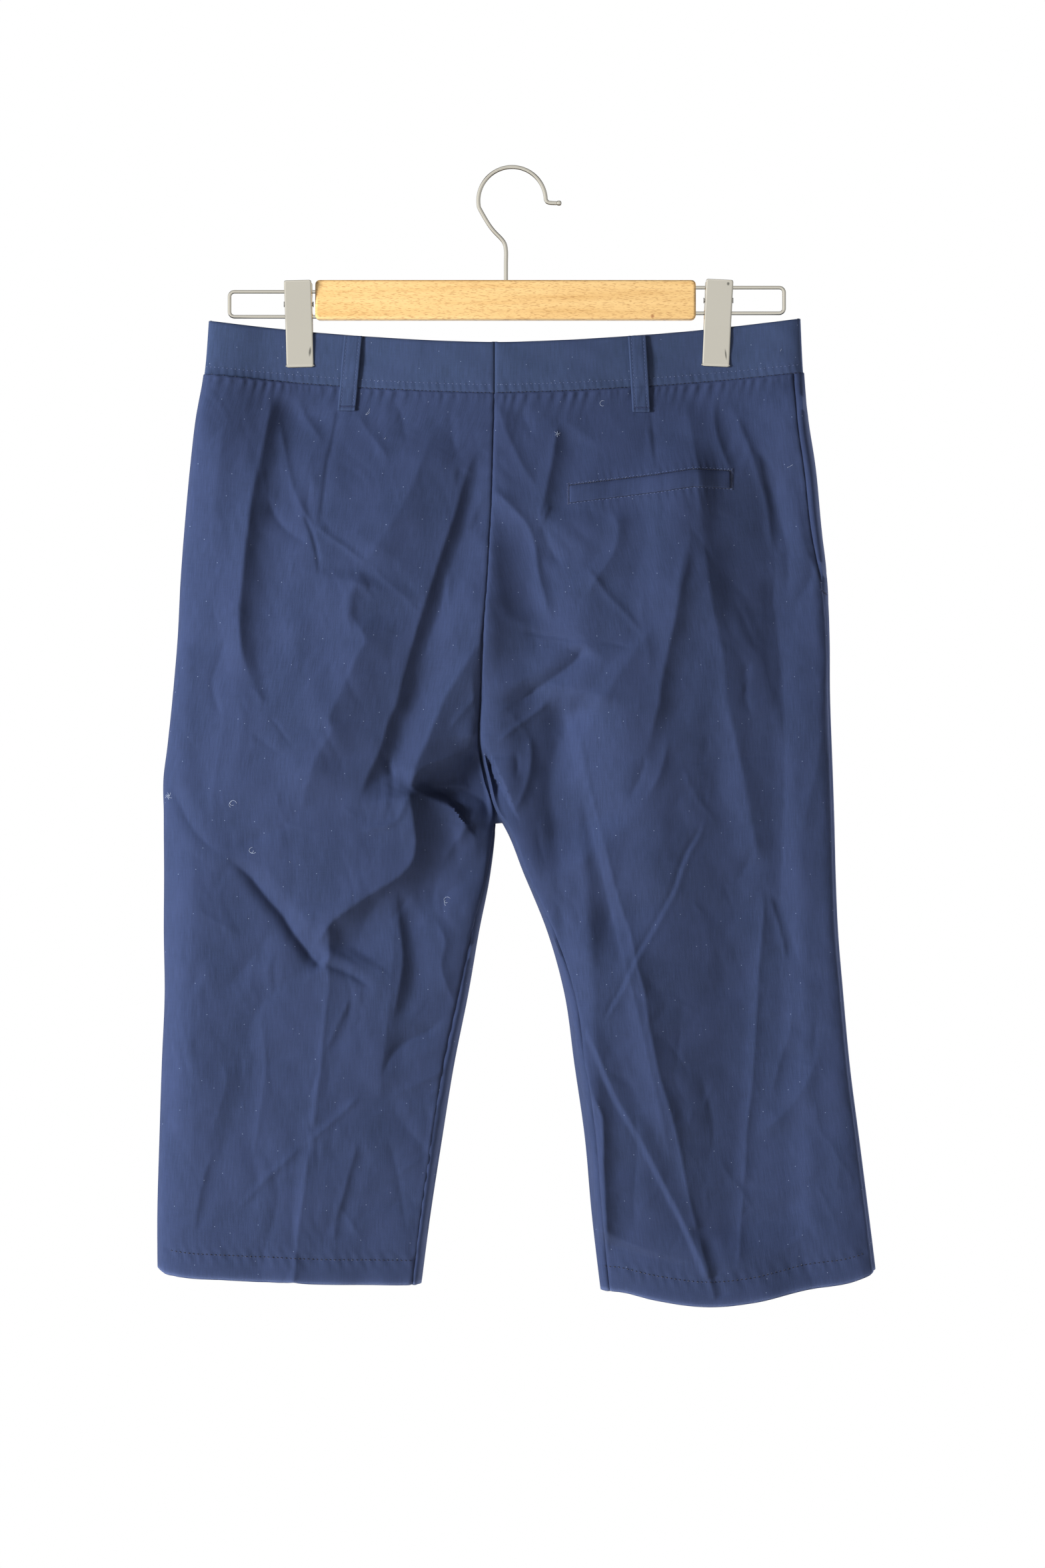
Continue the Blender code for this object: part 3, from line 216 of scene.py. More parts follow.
# What a fold does across its line: the distance to the right of the line and the slope of the cloth there,
# up to the right is positive.
foldShapes = {
    "cliff": ((-16, 0), (-1, 0.12), (0, 0.1), (0.5, -0.55), (5, -0.5), (12, -0.24), (20, 0), (30, 0.12),
             (44, 0)),
    "diagonal": ((-3, 0), (0, 0), (0.4, -0.8), (3, -0.7), (7, -0.3), (11, 0.1), (20, 0.36), (32, 0.22),
                (50, 0)),
    "bank": ((-45, 0), (-12, 0.09), (0, 0.13), (0.8, -0.22), (16, -0.2), (30, -0.06), (52, 0)),
    "ridge": ((-9, 0), (-3, 0.22), (-0.4, 0.42), (0.4, -0.42), (3, -0.25), (9, 0)),
    "crest": ((-18, 0), (-8, 0.3), (-3, 0.4), (0, 0.75), (0.6, -0.25), (8, -0.28), (16, -0.1), (24, 0)),
    "thighEdge": ((-34, 0), (-10, 0.1), (0, 0.16), (0.4, -0.85), (5, -0.75), (12, -0.42), (20, -0.1),
                 (32, 0.2), (60, 0)),
    "vValley": ((-18, 0), (-9, -0.3), (-3, -0.95), (0, -1.2), (0.4, 0.6), (4, 0.35), (14, 0)),
    "bankValley": ((-28, 0), (-14, -0.2), (-5, -0.5), (0, -0.6), (0.4, 0.5), (5, 0.4), (12, 0.12), (22, 0)),
    "hollowRidge": ((-34, 0), (-26, -0.22), (-14, 0), (-5, 0.3), (-0.4, 0.55), (0.4, -0.5), (2.5, -0.3),
                   (9, 0)),
    "press": ((-12, 0), (-4, 0.1), (-0.4, 0.36), (0.4, -0.34), (3, -0.16), (12, 0)),
    "pressBank": ((-52, 0), (-40, -0.1), (-26, -0.26), (-15, -0.14), (-6, 0.12), (0, 0.14), (1, -0.1),
                 (12, -0.1), (26, 0)),
    "foldedRidge": ((-6, 0), (-3, -0.2), (-1.6, -0.3), (-1.2, 0.5), (1.0, 0.5), (1.4, -0.2), (7, 0)),
    "riser": ((-12, 0), (-1, -0.1), (0, -0.1), (0.5, 0.24), (8, 0.18), (16, 0.06), (28, 0)),
    "recess": ((-8, 0), (-1, 0.4), (0, 0.3), (0.4, -1.0), (5, -0.8), (14, -0.45), (24, -0.2), (30, 0)),
    "stepUp": ((-3, 0), (-1.6, 0.9), (0.4, 1.1), (0.8, 0.06), (14, 0)),
    "crease": ((-2.8, 0), (-1.2, -0.75), (-0.1, -0.6), (0.1, 0.6), (1.2, 0.75), (2.8, 0)),
    "dart": ((-10, 0), (-2, -0.12), (-0.6, -0.8), (0.6, -0.8), (0.9, 0.22), (4, 0.12), (12, 0)),
    "pressed": ((-26, 0), (-3, 0.1), (-0.3, 0.34), (0.3, -0.36), (3, -0.12), (24, 0)),
    "flank": ((-62, 0), (-46, -0.1), (-22, -0.2), (-4, -0.2), (2, 0), (12, 0.1), (30, 0.1), (44, 0)),
    "pressValley": ((-36, 0), (-27, -0.28), (-5, -0.4), (-1, -0.2), (0, 0.3), (1, 0.25), (3, 0), (30, 0.05),
                   (50, 0)),
    "falls": ((-6, 0), (4, -0.3), (24, -0.34), (34, -0.1), (46, 0.12), (70, 0)),
    "underlap": ((-3, 0), (0, 0), (0.4, -1.6), (6, -1.5), (10, -0.8), (16, -0.35), (24, -0.1), (34, 0.25),
                (52, 0.1), (60, 0)),
    "shallowValley": ((-118, 0), (-112, 0.42), (-100, 0.42), (-94, -0.18), (-12, -0.18), (0, 0), (10, 0.2),
                     (44, 0.2), (52, -0.1), (62, 0)),
    "swell": ((-26, 0), (-13, 0.26), (0, 0), (13, -0.26), (26, 0)),
}
# Folds: the shape, how wide and how strong it is, the lengths over which its two ends fade, then its line
# from top to bottom as x, height, x, height and so on.
backFolds = (
    # broad hang of the cloth
    ("flank", 1, 1, 50, 30, 176, -170, 179, -240, 181, -330, 183, -420, 186, -520, 190, -620, 194, -720,
     196, -775),
    ("swell", 1.5, 1, 30, 60, 114, -180, 118, -230, 120, -290, 118, -345),
    ("bank", 1.3, 0.8, 40, 40, -170, -205, -176, -250, -180, -300, -180, -345),
    ("swell", 0.9, -0.8, 40, 30, -198, -290, -200, -340, -202, -400, -205, -440),
    ("falls", 1, 1.1, 40, 30, -8, -225, -10, -270, -10, -315, -6, -355),
    ("falls", 1.2, 1.5, 24, 30, -2, -350, 2, -395, 10, -440, 24, -485),
    ("pressValley", 1, 1, 20, 50, 37, -359, 48, -406, 61, -460, 72, -506, 83, -552),
    ("shallowValley", 1, 1, 110, 30, 138, -300, 146, -420, 153, -500, 157, -600, 160, -745),
    ("bank", 1, 1.1, 40, 40, 75, -515, 87, -566, 101, -625, 114, -685),
    ("bank", 1.5, 0.7, 60, 60, -212, -440, -214, -520, -214, -600, -213, -690),
    # left half, waistband to crotch
    ("cliff", 1, 1, 16, 40, -159, -150, -161, -165, -163, -177, -166, -194, -171, -215, -174, -234,
     -176, -251, -178, -268, -179, -282, -181, -297, -181, -311, -179, -328, -175, -342, -169, -354,
     -164, -365),
    ("ridge", 0.8, -0.7, 14, 14, -187, -315, -193, -330, -199, -349, -197, -362, -193, -374),
    ("ridge", 1.2, 0.35, 40, 40, -188, -153, -192, -182, -196, -211, -198, -239, -198, -263),
    ("ridge", 0.7, -0.5, 20, 20, -200, -287, -197, -306, -191, -322),
    ("cliff", 0.45, 0.75, 8, 12, -142, -156, -137, -168, -131, -177, -124, -188),
    ("ridge", 0.7, 0.8, 16, 10, -154, -170, -151, -189, -147, -208, -143, -221, -137, -234, -132, -245),
    ("ridge", 0.8, -0.6, 10, 6, -133, -211, -134, -222, -134, -234, -129, -243),
    ("dart", 0.7, 0.85, 1, 10, -115, -164, -118, -184, -122, -201, -124, -220, -127, -244),
    ("ridge", 1.1, -0.7, 14, 6, -162, -222, -156, -238, -147, -248, -134, -256),
    ("ridge", 0.55, 1.1, 5, 14, -129, -243, -121, -250, -112, -256, -103, -263, -92, -272),
    ("crease", 1, 0.9, 8, 12, -138, -233, -133, -244, -129, -256, -127, -267, -126, -278),
    ("ridge", 0.7, 0.5, 12, 16, -92, -268, -83, -280, -68, -292, -58, -304),
    ("bank", 1, 1, 30, 20, -44, -175, -53, -187, -60, -206, -68, -225, -79, -244, -92, -264, -99, -273),
    ("bank", 0.9, 1.2, 10, 30, -99, -274, -103, -290, -105, -304, -98, -315, -95, -322, -100, -330,
     -104, -340, -108, -349, -114, -361, -120, -374, -118, -383, -126, -396, -131, -408, -136, -424,
     -138, -436),
    ("cliff", 0.5, 0.7, 8, 10, -102, -282, -107, -294, -107, -306, -104, -317),
    ("diagonal", 1, 1, 70, 26, -12, -182, -19, -192, -25, -203, -30, -218, -34, -234, -40, -251, -45, -266,
     -50, -282, -55, -297, -60, -313, -65, -330, -70, -349, -74, -365, -79, -375, -84, -393, -88, -402,
     -94, -414, -100, -430),
    ("ridge", 0.7, -1.2, 10, 5, -85, -394, -81, -402, -78, -410, -75, -415),
    ("crest", 1, 1, 34, 14, -15, -319, -23, -330, -31, -343, -40, -357, -48, -375, -54, -390, -60, -402,
     -64, -415, -66, -422),
    ("ridge", 0.6, 0.8, 10, 10, -14, -354, -22, -362, -30, -371, -40, -384),
    ("underlap", 1, 1, 3, 8, -15, -391, -21, -394, -30, -398, -40, -402, -50, -405, -59, -411, -65, -421),
    ("thighEdge", 1, 1, 6, 14, -66, -422, -65, -430, -63, -439, -62, -449, -61, -459, -63, -470, -68, -477,
     -75, -483, -85, -489, -98, -497, -108, -504, -118, -512, -125, -522, -129, -528),
    ("ridge", 0.6, 1.2, 6, 8, -67, -427, -69, -434, -73, -442, -80, -447, -88, -448, -98, -451),
    ("ridge", 0.6, 0.6, 8, 10, -37, -273, -39, -287, -38, -304),
    ("ridge", 1.3, -0.5, 10, 10, -78, -153, -71, -168, -68, -187),
    ("ridge", 1, 0.5, 10, 10, -102, -165, -95, -177, -85, -190, -78, -201),
    ("ridge", 0.8, -0.5, 8, 10, -37, -165, -37, -180, -34, -194),
    ("cliff", 0.35, 0.7, 6, 16, -33, -202, -35, -211, -34, -220),
    # left leg
    ("ridge", 1.4, -0.9, 20, 40, -230, -411, -226, -424, -220, -435, -212, -449, -202, -460, -189, -469),
    ("vValley", 1, 1, 30, 6, -189, -469, -176, -479, -169, -487, -161, -497, -152, -507, -146, -517,
     -138, -528, -131, -537, -123, -544),
    ("vValley", 0.5, 0.8, 3, 16, -123, -541, -112, -545, -103, -549, -90, -558),
    ("press", 1, 1, 8, 6, -119, -514, -120, -530, -120, -544, -120, -558, -122, -570, -123, -583,
     -124, -593, -125, -605, -127, -620, -129, -638, -131, -653),
    ("press", 1, 1, 8, 2, -134, -664, -135, -678, -137, -696, -140, -716, -142, -736, -144, -758),
    ("cliff", 0.35, 0.8, 10, 14, -104, -561, -113, -580, -123, -602),
    ("ridge", 0.8, -0.5, 14, 14, -124, -605, -130, -621, -135, -638),
    ("ridge", 0.6, 1, 10, 10, -98, -629, -108, -639, -118, -648, -128, -657, -138, -665),
    ("ridge", 1.1, 0.55, 8, 26, -37, -610, -53, -619, -68, -626, -85, -637),
    ("ridge", 1.8, -0.8, 16, 30, -41, -577, -53, -587, -64, -592, -75, -600, -81, -610, -86, -625),
    ("ridge", 0.7, 0.9, 8, 26, -138, -664, -151, -676, -164, -688, -176, -701, -185, -710),
    ("cliff", 0.55, 1.15, 34, 34, -75, -489, -73, -510, -71, -525, -70, -540, -72, -555, -75, -570,
     -78, -584),
    ("ridge", 0.9, 0.7, 14, 14, -50, -507, -41, -525, -44, -542, -39, -558, -35, -569),
    ("ridge", 0.8, 0.5, 14, 14, -32, -421, -27, -436, -30, -454, -32, -467),
    ("ridge", 1, 0.6, 16, 14, -15, -431, -25, -446, -35, -459, -44, -474),
    ("bank", 0.5, 0.9, 40, 16, -88, -489, -76, -512, -82, -595, -84, -612, -86, -633),
    ("cliff", 0.35, 0.7, 12, 14, -198, -668, -204, -682, -208, -698, -211, -715, -213, -726),
    ("ridge", 0.9, 0.45, 26, 26, -165, -567, -165, -587, -163, -606, -164, -624, -167, -644, -170, -666,
     -170, -684),
    ("cliff", 0.35, 0.75, 12, 8, -100, -660, -103, -671, -107, -684, -111, -700, -115, -714, -117, -730),
    ("ridge", 0.8, -0.4, 14, 14, -81, -657, -75, -676, -71, -698, -67, -726),
    ("ridge", 0.6, 1.3, 20, 10, -44, -623, -48, -643, -51, -663, -53, -683, -56, -706, -58, -724,
     -62, -742),
    ("ridge", 1, 0.4, 14, 14, -195, -602, -189, -620, -193, -635, -198, -653),
    ("ridge", 0.9, 0.45, 10, 10, -196, -353, -191, -371, -193, -393, -198, -421, -198, -444),
    ("cliff", 0.35, 0.6, 8, 8, -175, -350, -168, -358, -162, -366),
    ("crease", 0.8, 0.5, 8, 8, -162, -371, -154, -380, -144, -395),
    ("ridge", 1.6, -0.45, 24, 24, -136, -431, -148, -446, -166, -454, -189, -462),
    ("ridge", 1, 0.4, 14, 14, -212, -502, -196, -512, -179, -522),
    ("ridge", 0.9, -0.35, 14, 14, -204, -540, -212, -555, -219, -573),
    ("ridge", 0.9, 0.35, 14, 14, -165, -525, -174, -550, -166, -570),
    # right half, waistband to crotch
    ("ridge", 0.9, 0.7, 10, 20, -6, -158, -2, -172, 4, -187, 11, -202, 18, -213, 24, -221),
    ("ridge", 1.4, -0.45, 10, 14, 10, -160, 15, -175, 22, -187),
    ("cliff", 0.75, 1, 14, 14, 36, -172, 33, -187, 31, -201, 28, -215, 25, -230, 23, -242),
    ("ridge", 0.8, -0.9, 6, 10, 24, -243, 29, -256, 36, -268, 40, -273),
    ("ridge", 0.4, 1.1, 4, 6, 30, -228, 27, -236, 24, -244),
    ("hollowRidge", 1, 1, 10, 18, -9, -218, -2, -225, 6, -233, 14, -242, 19, -254, 21, -266, 23, -280,
     27, -294, 32, -310),
    ("ridge", 0.6, 1, 16, 18, 51, -268, 61, -280, 70, -292, 80, -302, 90, -314, 95, -322),
    ("bank", 0.35, 1.3, 10, 12, 72, -233, 76, -244, 75, -256, 69, -269, 61, -280, 54, -292),
    ("crease", 0.8, 0.9, 8, 8, 12, -315, 25, -318, 39, -320, 50, -322),
    ("crease", 0.7, 0.8, 5, 10, 63, -324, 73, -324, 87, -328),
    ("bankValley", 1, 1, 8, 34, 53, -324, 49, -333, 42, -340, 32, -347, 20, -355, 8, -362, -4, -369),
    ("press", 1, 0.9, 16, 4, 41, -356, 44, -371, 48, -386, 52, -400, 56, -419, 61, -436, 66, -456, 71, -477,
     75, -492, 80, -507, 85, -522, 88, -538, 94, -560, 97, -583, 99, -591, 104, -616, 110, -635, 115, -653,
     119, -670, 122, -688, 126, -706, 130, -722),
    ("pressBank", 1, 0.5, 60, 40, 41, -356, 48, -386, 56, -419, 66, -456, 75, -492, 85, -522, 94, -560,
     97, -583, 104, -616, 115, -653, 122, -688, 130, -722),
    ("cliff", 0.75, 0.95, 50, 50, 125, -242, 124, -258, 122, -273, 118, -287, 115, -304, 111, -322,
     107, -341, 104, -358, 104, -363, 100, -378, 97, -392, 93, -403),
    ("cliff", 0.4, 0.8, 20, 20, 122, -254, 119, -273, 115, -292),
    ("ridge", 0.8, 0.8, 16, 12, 110, -386, 107, -403, 102, -417, 95, -427),
    ("ridge", 1.3, -0.7, 20, 10, 96, -396, 91, -414, 82, -431),
    ("bank", 0.5, 1.1, 40, 16, 132, -244, 135, -263, 138, -285, 141, -303, 145, -322, 148, -340, 148, -350,
     150, -364, 154, -381, 158, -400, 162, -419, 165, -436, 169, -456, 172, -474),
    ("bank", 0.7, 1.1, 30, 50, 122, -153, 124, -168, 127, -184, 129, -201, 131, -218, 132, -237, 134, -251),
    ("cliff", 0.45, 0.8, 14, 14, 142, -158, 142, -172, 145, -187, 151, -202, 156, -211),
    ("cliff", 0.4, 0.9, 20, 20, 156, -166, 162, -181, 167, -194, 171, -208, 175, -221, 178, -235, 180, -249,
     182, -264),
    ("ridge", 0.7, 0.6, 16, 16, 170, -190, 174, -208, 178, -225, 182, -242),
    ("riser", 1, 1, 40, 24, 182, -251, 183, -273, 182, -292, 184, -311, 186, -330, 187, -349, 188, -368,
     189, -376, 189, -391, 189, -424, 188, -449, 187, -474, 187, -499),
    ("ridge", 0.8, -0.6, 10, 10, 160, -354, 164, -340, 163, -361, 168, -374),
    ("dart", 0.55, 0.6, 1, 4, 98, -165, 100, -182, 101, -196, 102, -207),
    ("ridge", 0.6, 0.5, 8, 8, 96, -175, 98, -187, 99, -199),
    ("cliff", 0.35, 0.8, 8, 4, 204, -258, 210, -272, 217, -283),
    ("ridge", 0.9, 0.35, 14, 16, 94, -285, 92, -306, 97, -328, 96, -349),
    # right leg
    ("foldedRidge", 1, 1, 20, 16, 134, -441, 131, -453, 125, -463, 119, -477, 115, -490, 106, -507,
     97, -523, 88, -538, 80, -556, 71, -572, 66, -583),
    ("ridge", 0.6, 0.4, 10, 14, 120, -406, 127, -424, 135, -435, 145, -447),
    ("riser", 0.8, -0.7, 14, 10, 215, -381, 212, -402, 208, -421, 204, -436, 200, -455),
    ("ridge", 1, 0.75, 16, 8, 173, -490, 175, -502, 174, -525, 172, -545, 171, -565, 170, -582, 169, -600,
     167, -628, 164, -653, 163, -676, 162, -693),
    ("press", 0.8, 0.9, 8, 10, 162, -693, 160, -714, 159, -734, 158, -746),
    ("cliff", 0.3, 1, 8, 10, 179, -494, 183, -507, 187, -520, 191, -539),
    ("ridge", 1.6, -0.5, 16, 16, 168, -459, 164, -474, 156, -487),
    ("bank", 0.45, 1.2, 30, 20, 214, -597, 206, -618, 195, -636, 182, -649, 170, -659),
    ("ridge", 1.2, 0.5, 20, 20, 195, -562, 193, -587, 185, -612, 180, -633),
    ("recess", 1, 1, 60, 14, 42, -560, 47, -580, 52, -602, 56, -620, 60, -633, 65, -644, 66, -660, 66, -678,
     67, -698, 68, -718, 69, -740),
    ("stepUp", 1, 1, 50, 6, 43, -558, 49, -572, 56, -590, 63, -605, 69, -620, 75, -633, 82, -645, 94, -666,
     107, -691, 120, -716, 130, -739, 137, -756),
    ("cliff", 0.35, 0.9, 14, 2, 130, -722, 134, -739, 137, -749, 142, -769),
    ("ridge", 0.8, 0.9, 8, 14, 16, -386, 17, -401, 15, -416, 9, -431, 2, -442),
    ("ridge", 0.8, -0.9, 8, 8, 6, -395, 8, -406, 7, -416),
    ("ridge", 0.5, 1.1, 6, 10, 30, -363, 15, -374, 3, -383, -7, -392),
    ("ridge", 0.5, 0.9, 6, 10, 20, -353, 5, -364, -8, -372),
    ("crease", 0.7, 0.7, 4, 6, -16, -400, -10, -400, -6, -398),
    ("ridge", 0.7, 0.4, 10, 10, 145, -672, 150, -683, 160, -695, 171, -714),
    ("ridge", 0.7, 0.4, 10, 10, 209, -688, 218, -703, 226, -720),
    ("crease", 0.7, 0.35, 10, 10, 107, -616, 125, -609, 145, -606),
    ("ridge", 0.8, 0.35, 12, 12, 210, -633, 213, -653, 226, -673, 224, -698),
    ("crease", 0.7, 0.4, 10, 10, 124, -405, 154, -401, 187, -399),
    ("crease", 0.6, 0.4, 8, 8, 61, -514, 71, -510, 81, -508),
    ("ridge", 1, -0.4, 14, 20, 88, -640, 89, -670, 87, -698, 88, -724),
)
frontFolds = (
    ("pressed", 1, 1, 8, 6, -118, -205, -122, -330, -126, -450, -136, -600, -148, -762),
    ("pressed", 1, 1, 8, 6, 104, -205, 108, -330, 112, -450, 132, -600, 150, -764),
    ("swell", 1, -1.3, 40, 40, -24, -372, -60, -352, -100, -342, -150, -338),
    ("swell", 1, -1.3, 40, 40, -8, -368, 30, -350, 76, -340, 130, -332),
    ("swell", 0.7, -1, 40, 40, -20, -392, -64, -384, -116, -388, -160, -402),
    ("swell", 0.7, -1, 40, 40, -8, -390, 34, -382, 84, -386, 136, -398),
    ("swell", 1.1, -1.4, 40, 40, -170, -180, -178, -260, -176, -340, -160, -420),
    ("swell", 1.1, -1.4, 40, 40, 160, -180, 172, -260, 174, -340, 160, -420),
    ("swell", 1, 0.8, 40, 40, -36, -182, -52, -250, -66, -320),
    ("swell", 1, 0.8, 40, 40, 28, -182, 44, -250, 56, -320),
    ("swell", 1, -1.4, 40, 40, -40, -440, -66, -482, -104, -514, -160, -536),
    ("swell", 1, -1.4, 40, 40, 26, -446, 56, -488, 96, -522, 150, -546),
    ("swell", 0.9, -1.2, 40, 40, -66, -590, -96, -622, -140, -650, -190, -664),
    ("swell", 0.9, -1.2, 40, 40, 84, -596, 112, -630, 156, -660, 204, -676),
    ("swell", 0.8, -0.9, 40, 40, -196, -560, -202, -660, -204, -748),
    ("swell", 0.8, -0.9, 40, 40, 200, -560, 214, -660, 222, -748),
    ("cliff", 0.5, 0.8, 20, 20, -84, -190, -92, -250, -104, -300),
    ("cliff", -0.5, 0.8, 20, 20, 74, -190, 84, -250, 96, -300),
    ("ridge", 1.2, 0.7, 20, 30, -60, -420, -96, -452, -140, -470),
    ("ridge", 1.2, -0.7, 20, 30, 50, -424, 86, -456, 130, -478),
    ("ridge", 1, 0.6, 20, 20, -170, -560, -176, -620, -168, -700),
    ("ridge", 1, 0.6, 20, 20, 176, -560, 186, -630, 184, -710),
)
clothRelief = {
    "foldSideFade": 14.0, "foldInnerFade": 6.0, "foldWaistFade": 16.0,
    "foldEndPower": 1.6, "foldEndWidth": 0.3, "foldSteps": 240, "foldLineSteps": 3, "foldMargin": 2,
    "crumples": ((62.0, 0.55, 1.9), (27.0, 0.15, 1.5)), "crumpleWaves": 11, "crumpleMiddle": 0.7,
    "crumpleSpread": (-0.7, 0.6), "crumpleBend": 0.22, "crumpleBendSize": 2.4, "crumpleAmount": (0.65, 0.5),
    "crumpleAmountSize": 3.1, "crumpleAmountEnds": (0.1, 1.6), "crumpleSoftness": 0.015,
    "crumpleFades": (18, 9), "rumpleFades": (30, 12), "creaseSeamFade": 8, "rightLipFade": 24,
    "rumpleRise": 0.32, "rumpleGain": 1.6, "rumpleSizes": (16.0, 64.0), "rumpleWaves": 26,
    "creaseCount": 150, "creaseSlope": (0.15, 0.5), "creaseWidth": (0.3, 0.6), "creaseLength": (9.0, 46.0),
    "creaseUpShare": 0.4, "creaseFade": 0.45, "creaseHeights": (-750, -180),
    "sideRise": 5.6, "sideReach": (1.0, 12.0, 78.0), "lipRise": 8.0, "lipReach": (0.0, 3.2, 44.0),
    "centreRise": 13.0, "centreReach": 38.0,
    "waistPuckerPitch": 7.6, "waistPuckerRise": 1.0, "waistPuckerReach": 6.5,
    "seamPuckerPitch": 13.0, "seamPuckerRise": 0.22, "seamPuckerReach": 6.0,
    "hemPuckerPitch": 8.5, "hemPuckerRise": 0.22, "hemPuckerReach": 6.0,
    "hemGroove": 0.3, "hemGrooveReach": 1.6,
    "weltPuckerPitch": 5.4, "weltPuckerRise": 0.5, "weltPuckerReach": 4.5, "weltPuckerEnd": 6,
    "seamRoll": 0.75, "seamRollReach": 2.6, "seamDrawBack": 0.1,
}
# the welt's upper edge and its height: the panel gathers along it
weltTop = ((43.5, -216.2), (103.2, -209.0), (128.2, -205.3), (152.6, -206.2))
weltHeight = 11.5
# share of the rise at a depth below the hook, along the inseams and along the centre seam
innerLips = {
    "left": ((445, 0), (500, 1), (800, 1)),
    "right": ((385, 0), (402, 1.4), (470, 1.6), (520, 1.2), (600, 0.8), (680, 0.5), (760, 0.4)),
}
centreLift = ((285, 0), (350, 0.8), (386, 1), (400, 0))


def waistCurve(x):
    away = np.minimum(np.abs(x - cut["centreX"]) / cut["waistHalfWidth"], cut["waistCurveEnd"])
    return away ** cut["waistCurvePower"]


def waistSeam(x):
    return cut["waistSeamCentre"] + cut["waistSeamRise"] * waistCurve(x)


def bandTop(x, face):
    drop = cut["frontBandDrop"] * (1 - waistCurve(x)) if face == front else 0.0
    return cut["bandTopCentre"] + cut["bandTopRise"] * waistCurve(x) - np.maximum(drop, 0.0)


def sway(half, x, across, level, frontShare):
    # how far a point lies above its level: the curved waist and the uneven hem
    waist = waistSeam(x) - cut["waistLevel"]
    waist = waist * (1 - smoothRamp(0, cut["waistCurveReach"], cut["waistLevel"] - level))
    hem = curveThrough(hemTable, half, across)
    hem = hem + frontShare * cut["frontHemLift"] * np.sin(np.pi * np.clip(across, 0, 1))
    return waist + hem * smoothRamp(0, cut["hemSwayLevel"] - cut["hemLevel"], cut["hemSwayLevel"] - level)


def edgesAt(half, level):
    # side and inner edge of one half, read at the heights where they really lie
    found = []
    for edge, across in (("Side", 0.0), ("Inner", 1.0)):
        x = curveThrough(outline, half + edge, level)
        found.append(curveThrough(outline, half + edge, level + sway(half, x, across, level, 0.0)))
    return found


def legShare(level):
    return smoothRamp(0, cut["legBlend"], cut["crotchLevel"] + cut["legBlend"] - level)


def acrossShare(turn, level):
    share = legShare(level)
    return (1 - np.cos(np.pi * turn / 2)) * (1 - share) + (1 - np.cos(np.pi * turn)) / 2 * share


def turnFor(distance, half, level):
    # the turn at which the ring lies this far from its side edge
    side, inner = edgesAt(half, level)
    low = np.zeros_like(level)
    high = np.ones_like(level)
    for _ in range(30):
        middle = (low + high) / 2
        short = acrossShare(middle, level) * np.abs(side - inner) < distance
        low = np.where(short, middle, low)
        high = np.where(short, high, middle)
    return low


def seamTurns(half, level, face):
    wrap = curveThrough(wrapTable, half + "Side", level)
    inseamWrap = curveThrough(wrapTable, "inseam", level)
    sideTurn = -np.copysign(turnFor(np.abs(wrap), half, level), wrap)
    side, inner = edgesAt(half, level)
    innerTurn = 1 - turnFor(np.abs(side - inner) - inseamWrap, half, level)
    return sideTurn, face + np.where(inseamWrap > 0.01, innerTurn, 0.0)


def plainDepth(side, inner, x, level, name):
    # a pinched waist, a wide seat and two tubes, without folds
    full = curveThrough(depthTable, name, level)
    power = curveThrough(depthTable, "edgePower", level)
    pinch = 1 - smoothRamp(0, cut["pinchReach"], cut["waistLevel"] - level)
    power = power * (cut["waistEdgePower"] / power) ** pinch
    waist = curveThrough(waistTable, name, x)
    fromCentre = np.clip((x - inner) / (side - inner), 0, 1)
    seat = (waist * pinch + full * (1 - pinch)) * np.sqrt(1 - fromCentre ** power)
    fromMiddle = np.clip(np.abs(x - (side + inner) / 2) / (np.abs(side - inner) / 2), 0, 1)
    share = legShare(level)
    return seat * (1 - share) + full * np.sqrt(1 - fromMiddle ** power) * share


def endShare(distance, over):
    return 1 - (1 - np.clip(distance / over, 0, 1)) ** clothRelief["foldEndPower"]


def foldRise(folds, x, z):
    total = np.zeros_like(x)
    for shape, width, strength, fadeIn, fadeOut, *numbers in folds:
        line = np.array(throughPoints(zip(numbers[::2], numbers[1::2]), clothRelief["foldLineSteps"]))
        distances, slopes = np.array(foldShapes[shape], float).T
        reach = np.linspace(distances[0], distances[-1], clothRelief["foldSteps"])
        slope = np.interp(reach, distances, slopes)
        heights = np.concatenate([[0], np.cumsum((slope[1:] + slope[:-1]) / 2 * np.diff(reach))])
        heights -= heights[-1] * smoothRamp(distances[0], distances[-1], reach)
        margin = np.abs(distances).max() * abs(width) + clothRelief["foldMargin"]
        low = line.min(axis=0) - margin
        high = line.max(axis=0) + margin
        near = (x > low[0]) & (x < high[0]) & (z > low[1]) & (z < high[1])
        if not near.any():
            continue
        px = x[near]
        pz = z[near]
        best = np.full(px.shape, 1e9)
        place = np.zeros_like(px)
        rightSide = np.zeros(px.shape, bool)
        walked = 0.0
        for (ax, az), (bx, bz) in zip(line, line[1:]):
            dx, dz = bx - ax, bz - az
            length = math.hypot(dx, dz)
            t = np.clip(((px - ax) * dx + (pz - az) * dz) / length ** 2, 0, 1)
            offX = px - ax - t * dx
            offZ = pz - az - t * dz
            distance = np.hypot(offX, offZ)
            closer = distance < best
            best = np.where(closer, distance, best)
            place = np.where(closer, walked + t * length, place)
            rightSide = np.where(closer, offZ * dx > offX * dz, rightSide)
            walked += length
        share = endShare(place, fadeIn) * endShare(walked - place, fadeOut)
        # an end runs out to a point: the fold gets narrower as it gets lower
        narrow = clothRelief["foldEndWidth"] + (1 - clothRelief["foldEndWidth"]) * share
        off = np.where(rightSide, best, -best) / (narrow * width)
        total[near] += np.interp(off, reach, heights) * share * narrow * strength * abs(width)
    return total


